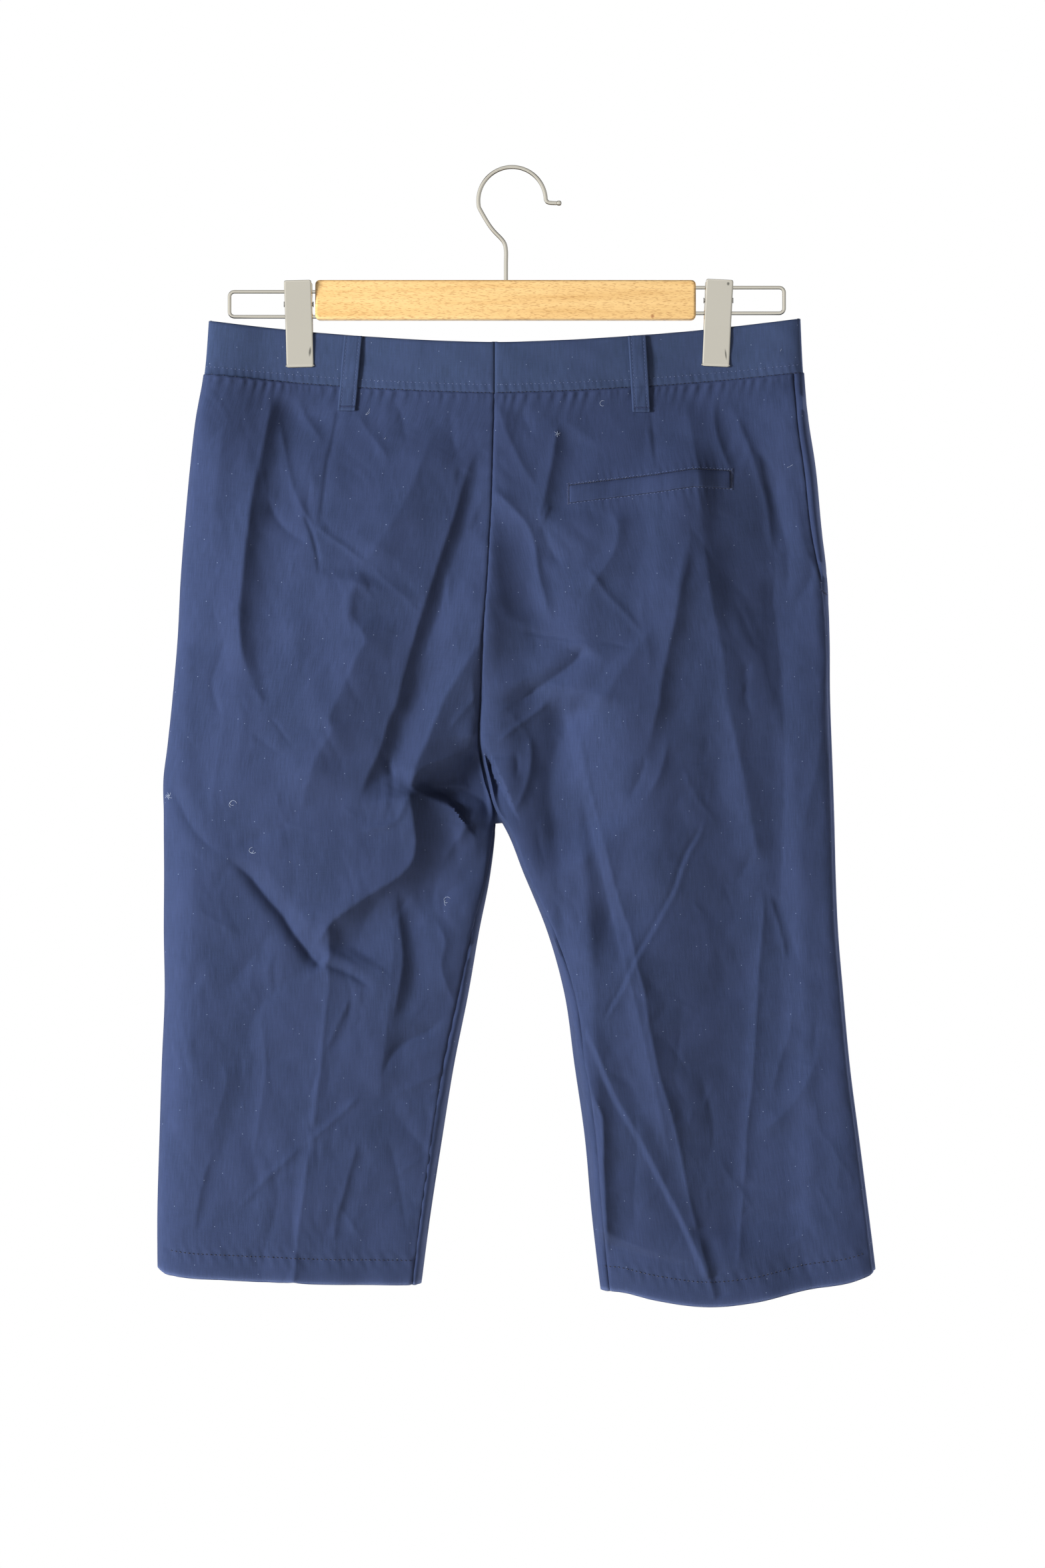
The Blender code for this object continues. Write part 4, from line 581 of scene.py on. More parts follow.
def wave(x, z, length, dice):
    # one wave of this length in a random direction
    angle = dice.uniform(0, np.pi)
    return np.sin((x * np.cos(angle) + z * np.sin(angle)) * 2 * np.pi / length + dice.uniform(0, 2 * np.pi))


def waveField(x, z, seed, size):
    # smooth random height of about unit size, its waves about this long
    dice = np.random.default_rng(seed)
    total = np.zeros_like(x)
    for _ in range(clothRelief["crumpleWaves"]):
        total += wave(x, z, size * 2.0 ** dice.uniform(*clothRelief["crumpleSpread"]), dice)
    return total / math.sqrt(clothRelief["crumpleWaves"] / 2)


def crumple(x, z, seed):
    # a net of fine creases, where a wandering wave changes sign, at two sizes
    spec = clothRelief
    least, swing = spec["crumpleAmount"]
    total = np.zeros_like(x)
    for step, (size, rise, stretch) in enumerate(spec["crumples"]):
        own = seed + 10 * step
        bent = x + spec["crumpleBend"] * size * waveField(x, z, own + 1, spec["crumpleBendSize"] * size)
        field = waveField(bent, z / stretch, own + 2, size)
        amount = least + swing * waveField(x, z, own + 3, spec["crumpleAmountSize"] * size)
        amount = np.clip(amount, *spec["crumpleAmountEnds"])
        total += rise * amount * (np.sqrt(field ** 2 + spec["crumpleSoftness"]) - spec["crumpleMiddle"])
    return total


def rumple(x, z, seed):
    # faint unevenness of hung cotton: waves of many sizes and directions
    dice = np.random.default_rng(seed)
    small, large = clothRelief["rumpleSizes"]
    total = np.zeros_like(x)
    for _ in range(clothRelief["rumpleWaves"]):
        size = small * (large / small) ** dice.random()
        total += wave(x, z, size, dice) * size / large
    rise = clothRelief["rumpleRise"] * clothRelief["rumpleGain"]
    return total / math.sqrt(clothRelief["rumpleWaves"]) * rise


def fineCreases(seed, xRange):
    # short faint creases left by folding and wear
    dice = np.random.default_rng(seed)
    spec = clothRelief
    found = []
    for _ in range(spec["creaseCount"]):
        x = dice.uniform(*xRange)
        z = dice.uniform(*spec["creaseHeights"])
        angle = dice.uniform(0, 2 * np.pi)
        length = dice.uniform(*spec["creaseLength"])
        bend = dice.uniform(-0.5, 0.5)
        line = [(x, z)]
        for _ in range(3):
            x += math.cos(angle) * length / 3
            z += math.sin(angle) * length / 3
            angle += bend / 3
            line.append((x, z))
        line.sort(key=lambda point: -point[1])
        strength = dice.uniform(*spec["creaseSlope"]) * (1 if dice.random() > spec["creaseUpShare"] else -1)
        fade = spec["creaseFade"] * length
        found.append(("ridge", dice.uniform(*spec["creaseWidth"]), strength, fade, fade, *np.ravel(line)))
    return found


def ringPlaces(half, turn, level):
    # x, height, plain depth, fold fade, least depth and side of the ring at these turns and levels
    onFront = ((turn > 0) & (turn <= 1)) | (turn < -1)
    turn = np.where(np.abs(turn) > 1, np.copysign(2, turn) - turn, turn)
    side, inner = edgesAt(half, level)
    across = acrossShare(np.abs(turn), level)
    x = side + (inner - side) * across
    z = level + sway(half, x, across, level, onFront * 1.0)
    plain = np.where(onFront, *[plainDepth(side, inner, x, level, name) for name in ("front", "back")])
    fade = smoothRamp(0, clothRelief["foldSideFade"], np.abs(x - side))
    fade = fade * smoothRamp(0, clothRelief["foldWaistFade"], cut["waistLevel"] - level)
    atInner = smoothRamp(0, clothRelief["foldInnerFade"], np.abs(x - inner))
    fade = fade * (1 - smoothRamp(0.35, 1.0, legShare(level)) * (1 - atInner))
    least = np.where(np.abs(x - side) > cut["sideEdgeReach"], cut["leastDepth"], 0.0)
    nearCentre = (level > cut["crotchLevel"] - 1) & (np.abs(x - inner) < cut["centreSeamReach"])
    least = np.where(nearCentre, np.maximum(least, cut["centreSeamDepth"]), least)
    return x, z, plain, fade, least, onFront


def arcLengths(points):
    steps = np.linalg.norm(np.diff(points, axis=-2), axis=-1)
    return np.concatenate([np.zeros(steps.shape[:-1] + (1,)), np.cumsum(steps, axis=-1)], axis=-1)


def panelGrid(half, face, columns, rows, seed):
    # points of a panel's outer side, rows from the waist seam to the hem, with even steps along the cloth
    top, bottom = cut["waistLevel"], cut["hemLevel"]
    levels = np.linspace(top, bottom, rows)[:, None]
    first, last = seamTurns(half, levels, face)
    dense = first + (last - first) * np.linspace(0, 1, 241)[None, :]
    x, z, plain, _, least, onFront = ringPlaces(half, dense, levels)
    y = np.where(onFront, front, back) * np.maximum(plain, least)
    lengths = arcLengths(np.stack([x, y, z], axis=-1))
    turns = np.empty((rows, columns))
    for row in range(rows):
        turns[row] = np.interp(np.linspace(0, lengths[row, -1], columns), lengths[row], dense[row])
    turns[:, 0] = first[:, 0]
    turns[:, -1] = last[:, 0]
    x, z, plain, fade, least, onFront = ringPlaces(half, turns, levels)
    across = np.linspace(0, 1, columns)[None, :] * lengths[:, -1:]
    down = (top - levels) * np.ones_like(x)
    fromSeam = np.minimum(across, lengths[:, -1:] - across)
    relief = np.where(onFront, foldRise(frontFolds, x, z), foldRise(backFolds, x, z)) * fade
    # the cloth turns sharply at the side seams and is flatter between them
    near, full, far = clothRelief["sideReach"]
    if half == "left":
        bulge = smoothRamp(near, full, across) * (1 - smoothRamp(full, far, across))
        relief += clothRelief["sideRise"] * bulge
    relief += edgeLips(half, x, z, levels, down) * ~onFront
    for uneven, fades in ((rumple(x, z, seed), "rumpleFades"), (crumple(x, z, seed + 5), "crumpleFades")):
        below, beside = clothRelief[fades]
        relief += uneven * smoothRamp(0, below, down) * smoothRamp(0, beside, fromSeam)
    creases = foldRise(fineCreases(seed + 1, (x.min(), x.max())), x, z)
    relief += creases * smoothRamp(0, clothRelief["creaseSeamFade"], fromSeam)
    relief += seamPuckers(x, down, fromSeam, seed)
    if half == "right":
        relief += weltPuckers(x, z) * ~onFront
    depth = np.maximum(plain + relief, least)
    atInseam = (np.arange(columns) == columns - 1)[None, :] & (levels < cut["crotchLevel"] - 1)
    atInseam = atInseam & (np.abs(np.abs(turns) - 1) < 1e-9)
    y = np.where(atInseam, 0.0, np.where(onFront, front, back) * depth)
    return np.stack([x, y, z], axis=-1), across, down


def edgeLips(half, x, z, levels, down):
    # An edge on the right stands forward, so that the cloth beside it still faces the light, and so does the
    # centre seam above the crotch. The right thigh falls away from its inseam.
    side, inner = edgesAt(half, levels)
    near, full, far = clothRelief["lipReach"]

    def lip(distance):
        fall = np.clip(1 - (distance - full) / (far - full), 0, 1) ** 2
        return np.where(distance < full, smoothRamp(near, full, distance), fall)

    fromInner = np.abs(x - inner)
    total = clothRelief["lipRise"] * lip(fromInner) * np.interp(-z, *zip(*innerLips[half]))
    if half == "right":
        fade = smoothRamp(0, clothRelief["rightLipFade"], down)
        total += clothRelief["lipRise"] * lip(np.abs(x - side)) * fade
    ridge = np.clip(1 - fromInner / clothRelief["centreReach"], 0, 1) ** 2
    return total + clothRelief["centreRise"] * ridge * np.interp(-z, *zip(*centreLift))


def weltPuckers(x, z):
    # short gathers above and below the pocket's welt
    spec = clothRelief
    xs, zs = zip(*weltTop)
    above = z - np.interp(x, xs, zs)
    away = np.maximum(above, -above - weltHeight)
    end = spec["weltPuckerEnd"]
    ends = smoothRamp(xs[0], xs[0] + end, x) * (1 - smoothRamp(xs[-1] - end, xs[-1], x))
    amount = 0.6 + 0.4 * np.sin(x / 7.3) * np.sin(x / 13.1 + 1.0)
    gathers = np.sin(2 * np.pi * (x + 0.25 * above) / spec["weltPuckerPitch"] + np.sin(x / 11.0)) * amount
    fall = np.exp(-away / spec["weltPuckerReach"]) * smoothRamp(0, 2.0, away)
    return gathers * spec["weltPuckerRise"] * fall * ends


def seamPuckers(x, down, fromSeam, seed):
    # small gathers where the cloth is eased into the waistband, along the long seams and at the hem
    dice = np.random.default_rng(seed + 2)
    spec = clothRelief
    wander = sum(np.sin(x / size + phase) for size, phase in zip((9.0, 17.0, 31.0), dice.uniform(0, 6, 3)))
    amount = 0.55 + 0.45 * np.sin(x / 23.0 + dice.uniform(0, 6)) * np.sin(x / 9.5 + dice.uniform(0, 6))
    waist = np.sin(2 * np.pi * (x + 0.3 * down) / spec["waistPuckerPitch"] + 1.7 * wander) * amount
    between = np.sin(2 * np.pi * x / (0.62 * spec["waistPuckerPitch"]) - 1.3 * wander)
    waist += 0.6 * between * (1 - amount) * np.exp(-down / 5)
    fall = np.exp(-down / spec["waistPuckerReach"]) * smoothRamp(0, 2.0, down)
    total = waist * spec["waistPuckerRise"] * fall
    bend = 1.4 * np.sin(down / 27.0 + dice.uniform(0, 6))
    along = np.sin(2 * np.pi * down / spec["seamPuckerPitch"] + bend)
    total += along * spec["seamPuckerRise"] * np.exp(-fromSeam / spec["seamPuckerReach"])
    fromHem = cut["waistLevel"] - cut["hemLevel"] - down
    fromStitch = fromHem - cut["hemHeight"]
    roping = np.sin(2 * np.pi * (x + 0.5 * fromHem) / spec["hemPuckerPitch"] + 0.8 * wander)
    groove = spec["hemGroove"] * np.exp(-(fromStitch / spec["hemGrooveReach"]) ** 2)
    total += (roping * spec["hemPuckerRise"] - groove) * np.exp(-(fromStitch / spec["hemPuckerReach"]) ** 2)
    return total


def gridNormals(points, outward):
    # normals of a grid of points, on its outward side
    normals = np.cross(np.gradient(points, axis=1), np.gradient(points, axis=0))
    normals = normals / np.maximum(np.linalg.norm(normals, axis=-1, keepdims=True), 1e-9)
    return -normals if (normals * outward).sum() < 0 else normals


def boundaryLoop(index):
    return np.concatenate([index[0, :], index[1:, -1], index[-1, -2::-1], index[-2:0:-1, 0]])


def gridFaces(index, order):
    corners = (index[:-1, :-1], index[:-1, 1:], index[1:, 1:], index[1:, :-1])
    return np.stack([corners[k] for k in order], axis=-1).reshape(-1, 4)


def clothShell(name, outer, wall, skip, across, down, outward):
    # closed wall of cloth: a fine outer side, a coarser inner side and a rounded rim between them
    rows, columns = outer.shape[:2]
    normals = gridNormals(outer, outward)
    wall = np.broadcast_to(wall, (rows, columns))[..., None]
    inner = (outer - normals * wall)[::skip, ::skip]
    rim = np.zeros_like(outer)
    rim[:, 0] += outer[:, 0] - outer[:, 1]
    rim[:, -1] += outer[:, -1] - outer[:, -2]
    rim[0, :] += outer[0, :] - outer[1, :]
    rim[-1, :] += outer[-1, :] - outer[-2, :]
    rim /= np.maximum(np.linalg.norm(rim, axis=-1, keepdims=True), 1e-9)
    middle = outer - normals * wall / 2 + rim * wall * 0.35
    index = np.arange(rows * columns).reshape(rows, columns)
    inside = np.arange(inner.shape[0] * inner.shape[1]).reshape(inner.shape[:2]) + rows * columns
    loop = boundaryLoop(index)
    coarse = boundaryLoop(inside)
    points = np.concatenate([outer.reshape(-1, 3), inner.reshape(-1, 3), middle.reshape(-1, 3)[loop]])
    quads = gridFaces(index, (0, 1, 2, 3))
    faces = [tuple(quad) for quad in [*quads.tolist(), *gridFaces(inside, (0, 3, 2, 1)).tolist()]]
    count = len(loop)
    middleStart = len(points) - count
    for k in range(count):
        after = (k + 1) % count
        faces.append((int(loop[after]), int(loop[k]), middleStart + k, middleStart + after))
    for j in range(len(coarse)):
        run = [middleStart + (j * skip + step) % count for step in range(skip + 1)]
        faces.append((*run[::-1], int(coarse[j]), int(coarse[(j + 1) % len(coarse)])))
    uv = np.stack([across, down], axis=-1)
    uvs = np.concatenate([uv.reshape(-1, 2), uv[::skip, ::skip].reshape(-1, 2), uv.reshape(-1, 2)[loop]])
    mesh = bpy.data.meshes.new(name)
    mesh.from_pydata((points * mm).tolist(), [], faces)
    if sum(face.area * face.normal.dot(Vector(outward)) for face in mesh.polygons[: len(quads)]) < 0:
        mesh.flip_normals()
    layer = mesh.uv_layers.new(name="clothMap")
    corner = np.empty(len(mesh.loops), np.int32)
    mesh.loops.foreach_get("vertex_index", corner)
    layer.data.foreach_set("uv", (uvs[corner] * mm).astype(np.float32).ravel())
    mesh.shade_smooth()
    mesh.set_sharp_from_angle(angle=math.radians(65))
    return placeObject(name, mesh)


def rollSeams(points, outward):
    # turns both edges of a panel in at its seams, so that they show as fine grooves
    spec = clothRelief
    normals = gridNormals(points, outward)
    lengths = arcLengths(points)
    rolled = points.copy()
    for distance in (lengths, lengths[:, -1:] - lengths):
        near = np.clip(1 - distance / spec["seamRollReach"], 0, 1) ** 2
        rolled -= normals * (near * spec["seamRoll"])[..., None]
    for edge, beside in ((0, 1), (-1, -2)):
        inwards = points[:, beside] - points[:, edge]
        rolled[:, edge] += inwards / np.linalg.norm(inwards, axis=-1, keepdims=True) * spec["seamDrawBack"]
    return rolled


def treeOf(objects):
    # the faces of finished pieces, for laying others on them
    points = []
    faces = []
    for obj in objects:
        start = len(points)
        points += [v.co.copy() for v in obj.data.vertices]
        faces += [[start + corner for corner in p.vertices] for p in obj.data.polygons]
    return BVHTree.FromPolygons(points, faces)


def clothFinish(name, spec):
    # Yarn-dyed fine cotton twill: matt, with faint slub streaks along the warp and a soft bloom at grazing
    # angles. Threads are 0.3 mm apart and are drawn at 0.7 mm, so that they show.
    made, tree, shader = newFinish(name, {
        "Roughness": spec["roughness"], "IOR": 1.5, "Specular IOR Level": 0.2,
        "Sheen Weight": spec["sheen"], "Sheen Roughness": 0.45, "Sheen Tint": spec["sheenColour"],
    })
    place = addNode(tree, "UVMap", {"uv_map": "clothMap"})

    def stretched(across, down, detail):
        scaled = addNode(tree, "Mapping", {"Scale": (1 / (across * mm), 1 / (down * mm), 1), "Vector": place})
        return addNode(tree, "TexNoise", {"Scale": 1.0, "Detail": detail, "Roughness": 0.6, "Vector": scaled})

    warp = stretched(0.7, 13.0, 3.0)
    weft = stretched(9.0, 0.7, 2.0)
    patches = stretched(38.0, 60.0, 3.0)
    pills = stretched(0.7, 0.7, 2.0)
    streaks = maths(tree, "MULTIPLY_ADD", weft, 0.3, warp)
    colour = mixed(tree, ranged(tree, streaks, 0.45, 0.85), spec["dark"], spec["light"])
    colour = mixed(tree, ranged(tree, patches, 0.35, 0.75, 0.35), colour, spec["faded"])
    wear = addNode(tree, "Attribute", {"attribute_name": "wear"}, "Fac")
    worn = addNode(tree, "Math", {"operation": "MULTIPLY", "use_clamp": True, 0: wear, 1: pills})
    colour = mixed(tree, worn, colour, spec["worn"])
    # specks of lint, 0.4 mm across and about 25 mm apart
    speck = addNode(tree, "TexVoronoi", {"voronoi_dimensions": "2D", "Scale": 40.0, "Vector": place})
    colour = mixed(tree, ranged(tree, speck, 0.013, 0.006, 0.7), colour, spec["lint"])
    tree.links.new(colour, shader.inputs["Base Color"])
    lean = (0, 0, math.radians(27))
    leaning = addNode(tree, "Mapping", {"Scale": (1000, 1000, 1), "Rotation": lean, "Vector": place})
    twill = addNode(tree, "TexWave", {"wave_type": "BANDS", "Scale": 0.39, "Distortion": 1.2, "Detail": 1.0,
                                      "Vector": leaning}, "Fac")
    addBump(tree, shader, maths(tree, "MULTIPLY_ADD", twill, 0.5, streaks), spec["bump"], 0.00012)
    return made


clothColours = {
    "roughness": 0.8, "sheen": 0.04, "sheenColour": "#a9b4d8", "bump": 0.35,
    "dark": "#272f47", "light": "#2f3855", "faded": "#373f60", "worn": "#66729a", "lint": "#8a94b0",
}
navyTwill = clothFinish("combedCottonTwill", clothColours)
navyBandTwill = clothFinish("combedCottonBand", {**clothColours, "dark": "#2c364d", "light": "#343f5c"})


def mottledFinish(name, settings, noise, first, second):
    # a finish whose colour wanders between two tones
    made, tree, shader = newFinish(name, settings)
    place = addNode(tree, "TexCoord", None, "Object")
    wander = addNode(tree, "TexNoise", {**noise, "Vector": place})
    tree.links.new(mixed(tree, wander, first, second), shader.inputs["Base Color"])
    return made


def threadFinish(name, first, second):
    # Spun polyester sewing thread: a twisted round yarn with a low silky sheen.
    settings = {"Roughness": 0.5, "Sheen Weight": 0.3, "Sheen Roughness": 0.4}
    return mottledFinish(name, settings, {"Scale": 2600.0, "Detail": 1.0}, first, second)


topThread = threadFinish("topstitchThread", "#3a4568", "#4c587e")
seamThread = threadFinish("seamThread", "#1c2440", "#313c61")
# Near-black thread for the rows that lie in seam grooves: its darkness is partly the thread's own and partly
# painted shade of the groove.
ditchThreadAndPaintedShade = threadFinish("ditchThreadAndPaintedShade", "#0d1222", "#1a2240")
lintFibre = threadFinish("lintFibre", "#7f88a3", "#a9b0c4")
# Cast polyester button: satin, with faint darker swirls.
castResin = mottledFinish("castResin", {
    "Roughness": 0.32, "IOR": 1.55, "Coat Weight": 0.3, "Coat Roughness": 0.15,
}, {"Scale": 320.0, "Detail": 3.0, "Distortion": 1.4}, "#1c2238", "#39415f")


def beechFinish():
    # Planed, clear-lacquered steamed beech: pale and warm, with short dark ray flecks 2 to 4 mm long that
    # lean a little to the grain, soft growth bands, pores and one small knot.
    made, tree, shader = newFinish("lacqueredBeech", {
        "Roughness": 0.42, "IOR": 1.5, "Coat Weight": 0.25, "Coat Roughness": 0.2,
    })
    place = addNode(tree, "TexCoord", None, "Object")

    def grain(lengthwise, upright, tilt, detail):
        turned = addNode(tree, "Mapping", {
            "Rotation": (0, math.radians(tilt), 0), "Vector": place,
            "Scale": (1 / (lengthwise * mm), 1 / (9 * mm), 1 / (upright * mm)),
        })
        return addNode(tree, "TexNoise", {"Scale": 1.0, "Detail": detail, "Roughness": 0.55,
                                          "Vector": turned})

    colour = mixed(tree, ranged(tree, grain(150.0, 5.5, 3.0, 4.0), 0.3, 0.7), "#c2985f", "#d6b27c")
    flecks = maths(tree, "MAXIMUM", grain(4.4, 0.6, 22.0, 1.0), grain(3.2, 0.5, 18.0, 0.5))
    pores = grain(11.0, 0.3, 5.0, 2.0)
    knot = addNode(tree, "VectorMath", {"operation": "DISTANCE", 0: place,
                                        1: (99.9 * mm, -7 * mm, -100.4 * mm)}, "Value")
    for value, low, high, share, tone in (
            (flecks, 0.61, 0.68, 0.5, "#92622f"), (pores, 0.55, 0.75, 0.22, "#b4854b"),
            (knot, 0.0016, 0.0006, 0.8, "#8a5330")):
        colour = mixed(tree, ranged(tree, value, low, high, share), colour, tone)
    tree.links.new(colour, shader.inputs["Base Color"])
    addBump(tree, shader, pores, 0.12, 0.0002)
    return made


# dark patches painted on the two clip plates that face the back, as painted dark reflections: centre, half
# sizes and lean
clipPaintedDarkReflections = (
    ((-0.1334, -0.013, -0.1243), (0.0009, 0.03, 0.0034), 0.1),
    ((0.1499, -0.013, -0.1262), (0.0006, 0.03, 0.0038), -0.12),
    ((0.1513, -0.013, -0.0787), (0.001, 0.03, 0.0012), 0.0),
)


def platedFinish(name, colour, roughness, streak, paintedDarkReflections=()):
    # Bright chromium plate on drawn wire or pressed sheet: a mirror with a faint haze of drawing marks.
    made, tree, shader = newFinish(name, {"Metallic": 1.0, "Base Color": colour})
    place = addNode(tree, "TexCoord", None, "Object")
    haze = addNode(tree, "TexNoise", {"Scale": 420.0, "Detail": 4.0, "Vector": place})
    rough = addNode(tree, "MapRange", {"To Min": roughness, "To Max": roughness + streak, "Value": haze})
    tree.links.new(rough, shader.inputs["Roughness"])
    ripple = addNode(tree, "TexNoise", {"Scale": 90.0, "Detail": 2.0, "Vector": place})
    addBump(tree, shader, ripple, 0.06, 0.0004)
    # each patch mixes the plate's colour towards dark grey: a painted dark reflection, with no dent in the
    # shape
    for centre, halfSizes, lean in paintedDarkReflections:
        around = addNode(tree, "Mapping", {"vector_type": "TEXTURE", "Location": centre,
                                           "Rotation": (0, lean, 0), "Scale": halfSizes, "Vector": place})
        reach = addNode(tree, "VectorMath", {"operation": "LENGTH", 0: around}, "Value")
        colour = mixed(tree, ranged(tree, reach, 1.2, 0.5, 0.75), colour, "#4b4d4a")
        tree.links.new(colour, shader.inputs["Base Color"])
    return made


steamedBeech = beechFinish()
chromePlate = platedFinish("chromiumPlate", "#e6e1d5", 0.09, 0.07)
platePaintedDarkReflections = platedFinish("chromiumPlatePaintedDarkReflections", "#e6e1d5", 0.09, 0.07, clipPaintedDarkReflections)
springWire = platedFinish("drawnSpringWire", "#c3c3c4", 0.24, 0.12)


def zipFinish():
    # Woven polyester tape: a tight flat weave, duller than the twill.
    made, tree, shader = newFinish("wovenZipTape", {"Roughness": 0.75, "Sheen Weight": 0.15})
    weave = addNode(tree, "TexBrick", {
        "Scale": 900.0, "Color1": "#20273f", "Color2": "#2b3350", "Mortar": "#151a2c",
        "Vector": addNode(tree, "UVMap", {"uv_map": "clothMap"}),
    }, None)
    tree.links.new(weave.outputs["Color"], shader.inputs["Base Color"])
    addBump(tree, shader, weave.outputs["Fac"], 0.3, 0.0001)
    return made


zipTape = zipFinish()
print("finishes made")


panelSpecs = {
    "backLeft": {"node": "back_left", "half": "left", "face": back, "columns": 169, "rows": 451,
                 "flat": (0.238, 0.625), "area": 0.128, "seed": 11},
    "backRight": {"node": "back_right", "half": "right", "face": back, "columns": 169, "rows": 451,
                  "flat": (0.240, 0.635), "area": 0.130, "seed": 23},
    "frontLeft": {"node": "front_left", "half": "left", "face": front, "columns": 97, "rows": 253,
                  "flat": (0.238, 0.625), "area": 0.126, "seed": 37},
    "frontRight": {"node": "front_right", "half": "right", "face": front, "columns": 97, "rows": 253,
                   "flat": (0.246, 0.635), "area": 0.132, "seed": 41},
}
panelSize = {"skip": 3, "hemWear": 0.75, "hemWearReach": 1.3}
panelGrids = {}


def makePanel(name, spec):
    points, across, down = panelGrid(spec["half"], spec["face"], spec["columns"], spec["rows"], spec["seed"])
    outward = (0, spec["face"], 0.0)
    points = rollSeams(points, outward)
    panelGrids[name] = points
    fromHem = cut["waistLevel"] - cut["hemLevel"] - down
    wall = cut["panelWall"] + cut["hemExtraWall"] * (fromHem <= cut["hemHeight"])
    panel = clothShell(name, points, wall, panelSize["skip"], across, down, outward)
    # the lower edge of the hem is rubbed a little paler
    values = np.zeros(len(panel.data.vertices), np.float32)
    values[: fromHem.size] = (panelSize["hemWear"] * np.exp(-fromHem / panelSize["hemWearReach"])).ravel()
    attribute = panel.data.attributes.new("wear", "FLOAT", "POINT")
    attribute.data.foreach_set("value", values)
    return finishPiece(panel, [spec["node"]], navyTwill)


panels = {name: makePanel(name, spec) for name, spec in panelSpecs.items()}
print("panels made")


turningEnds = {"seam": -158.0, "centre": -446.0, "hem": cut["hemLevel"] + 3, "crotch": cut["crotchLevel"] - 6}
turningSpecs = (
    # name, the two panels and their column at the seam, lower and upper end, outward
    ("turningBackCentre", "backLeft", "backRight", -1, "centre", "seam", (0, -1.0, 0)),
    ("turningFrontCentre", "frontLeft", "frontRight", -1, "centre", "seam", (0, 1.0, 0)),
    ("turningSideLeft", "backLeft", "frontLeft", 0, "hem", "seam", (-1.0, 0, 0)),
    ("turningSideRight", "backRight", "frontRight", 0, "hem", "seam", (1.0, 0, 0)),
    ("turningInseamLeft", "backLeft", "frontLeft", -1, "hem", "crotch", (1.0, 0, 0)),
    ("turningInseamRight", "backRight", "frontRight", -1, "hem", "crotch", (-1.0, 0, 0)),
)


turningSize = {"step": 5, "leastRows": 8, "clear": 0.12, "reaches": (9.5, 6.4, 3.2, 0.0), "wall": 0.6}


def makeTurning(name, first, second, edge, lowEnd, highEnd, outward):
    # strip of the two panels' turnings, pressed open behind their seam
    size = turningSize
    low, high = turningEnds[lowEnd], turningEnds[highEnd]
    levels = np.linspace(high, low, max(int((high - low) / size["step"]), size["leastRows"]))
    halves = []
    for grid in (panelGrids[first], panelGrids[second]):
        side = outward if outward[1] else (0, grid[:, :, 1].mean(), 0)
        inside = (grid - gridNormals(grid, side) * (cut["panelWall"] + size["clear"]))[::-1]
        inside = inside if edge == 0 else inside[:, ::-1]
        rows = np.linspace(cut["hemLevel"], cut["waistLevel"], len(inside))
        columns = range(inside.shape[1])
        inside = np.stack([[np.interp(levels, rows, inside[:, column, axis]) for column in columns]
                           for axis in range(3)], axis=-1).transpose(1, 0, 2)
        reach = arcLengths(inside)
        halves.append(np.array([[[np.interp(wanted, reach[row], inside[row, :, axis]) for axis in range(3)]
                                 for wanted in size["reaches"]] for row in range(len(levels))]))
    points = np.concatenate([halves[0], halves[1][:, ::-1]], axis=1)
    lengths = arcLengths(points)
    down = np.broadcast_to((high - levels)[:, None], lengths.shape)
    strip = clothShell(name, points, size["wall"], 1, lengths, down, outward)
    finishPiece(strip, [], navyTwill)


for row in turningSpecs:
    makeTurning(*row)
print("seam turnings made")


bandSpec = {
    "columns": 145, "rows": 28, "skip": 3, "crowding": 0.1, "endFade": 3.0,
    "topRoll": 0.54, "topRollReach": 1.6, "seamRoll": 0.6, "seamRollReach": 1.8,
    "topstitchAbove": 5.8, "stitchDip": 0.14, "stitchReach": 1.1,
    "rippleRise": 0.2, "ripplePitch": 5.2, "rippleLean": 0.25, "rippleAbove": 3.5, "rippleReach": 4.5,
    "rumpleShare": 0.9, "rumpleStretch": 1.6, "rumpleFade": 12,
    "underlap": 18.0, "tabReach": 22.0, "tabEase": 26.0, "tabOverlap": 2.0, "tabLift": 2.4,
}


def bandPoints(x, share, face, lift):
    # points of the waistband's outer side, from its top edge (0) to the waist seam (1)
    centre = cut["centreX"]
    found = np.zeros(np.broadcast(x, share).shape + (3,))
    for edge, onHalf in (("leftSide", x < centre), ("rightSide", x >= centre)):
        z = bandTop(x, face) * (1 - share) + waistSeam(x) * share
        side = curveThrough(outline, edge, z)
        reach = (side - centre) / (curveThrough(outline, edge, waistSeam(side)) - centre)
        placed = centre + (x - centre) * reach
        fromCentre = np.clip((placed - centre) / (side - centre), 0, 1)
        depth = curveThrough(waistTable, "back" if face == back else "front", placed)
        depth = depth * np.sqrt(1 - fromCentre ** cut["waistEdgePower"])
        made = np.stack(np.broadcast_arrays(placed, face * (depth + lift), z), axis=-1)
        found = np.where(np.broadcast_to(onHalf, found.shape[:2])[..., None], made, found)
    return found


def bell(distance, reach):
    return np.exp(-(distance / reach) ** 2)


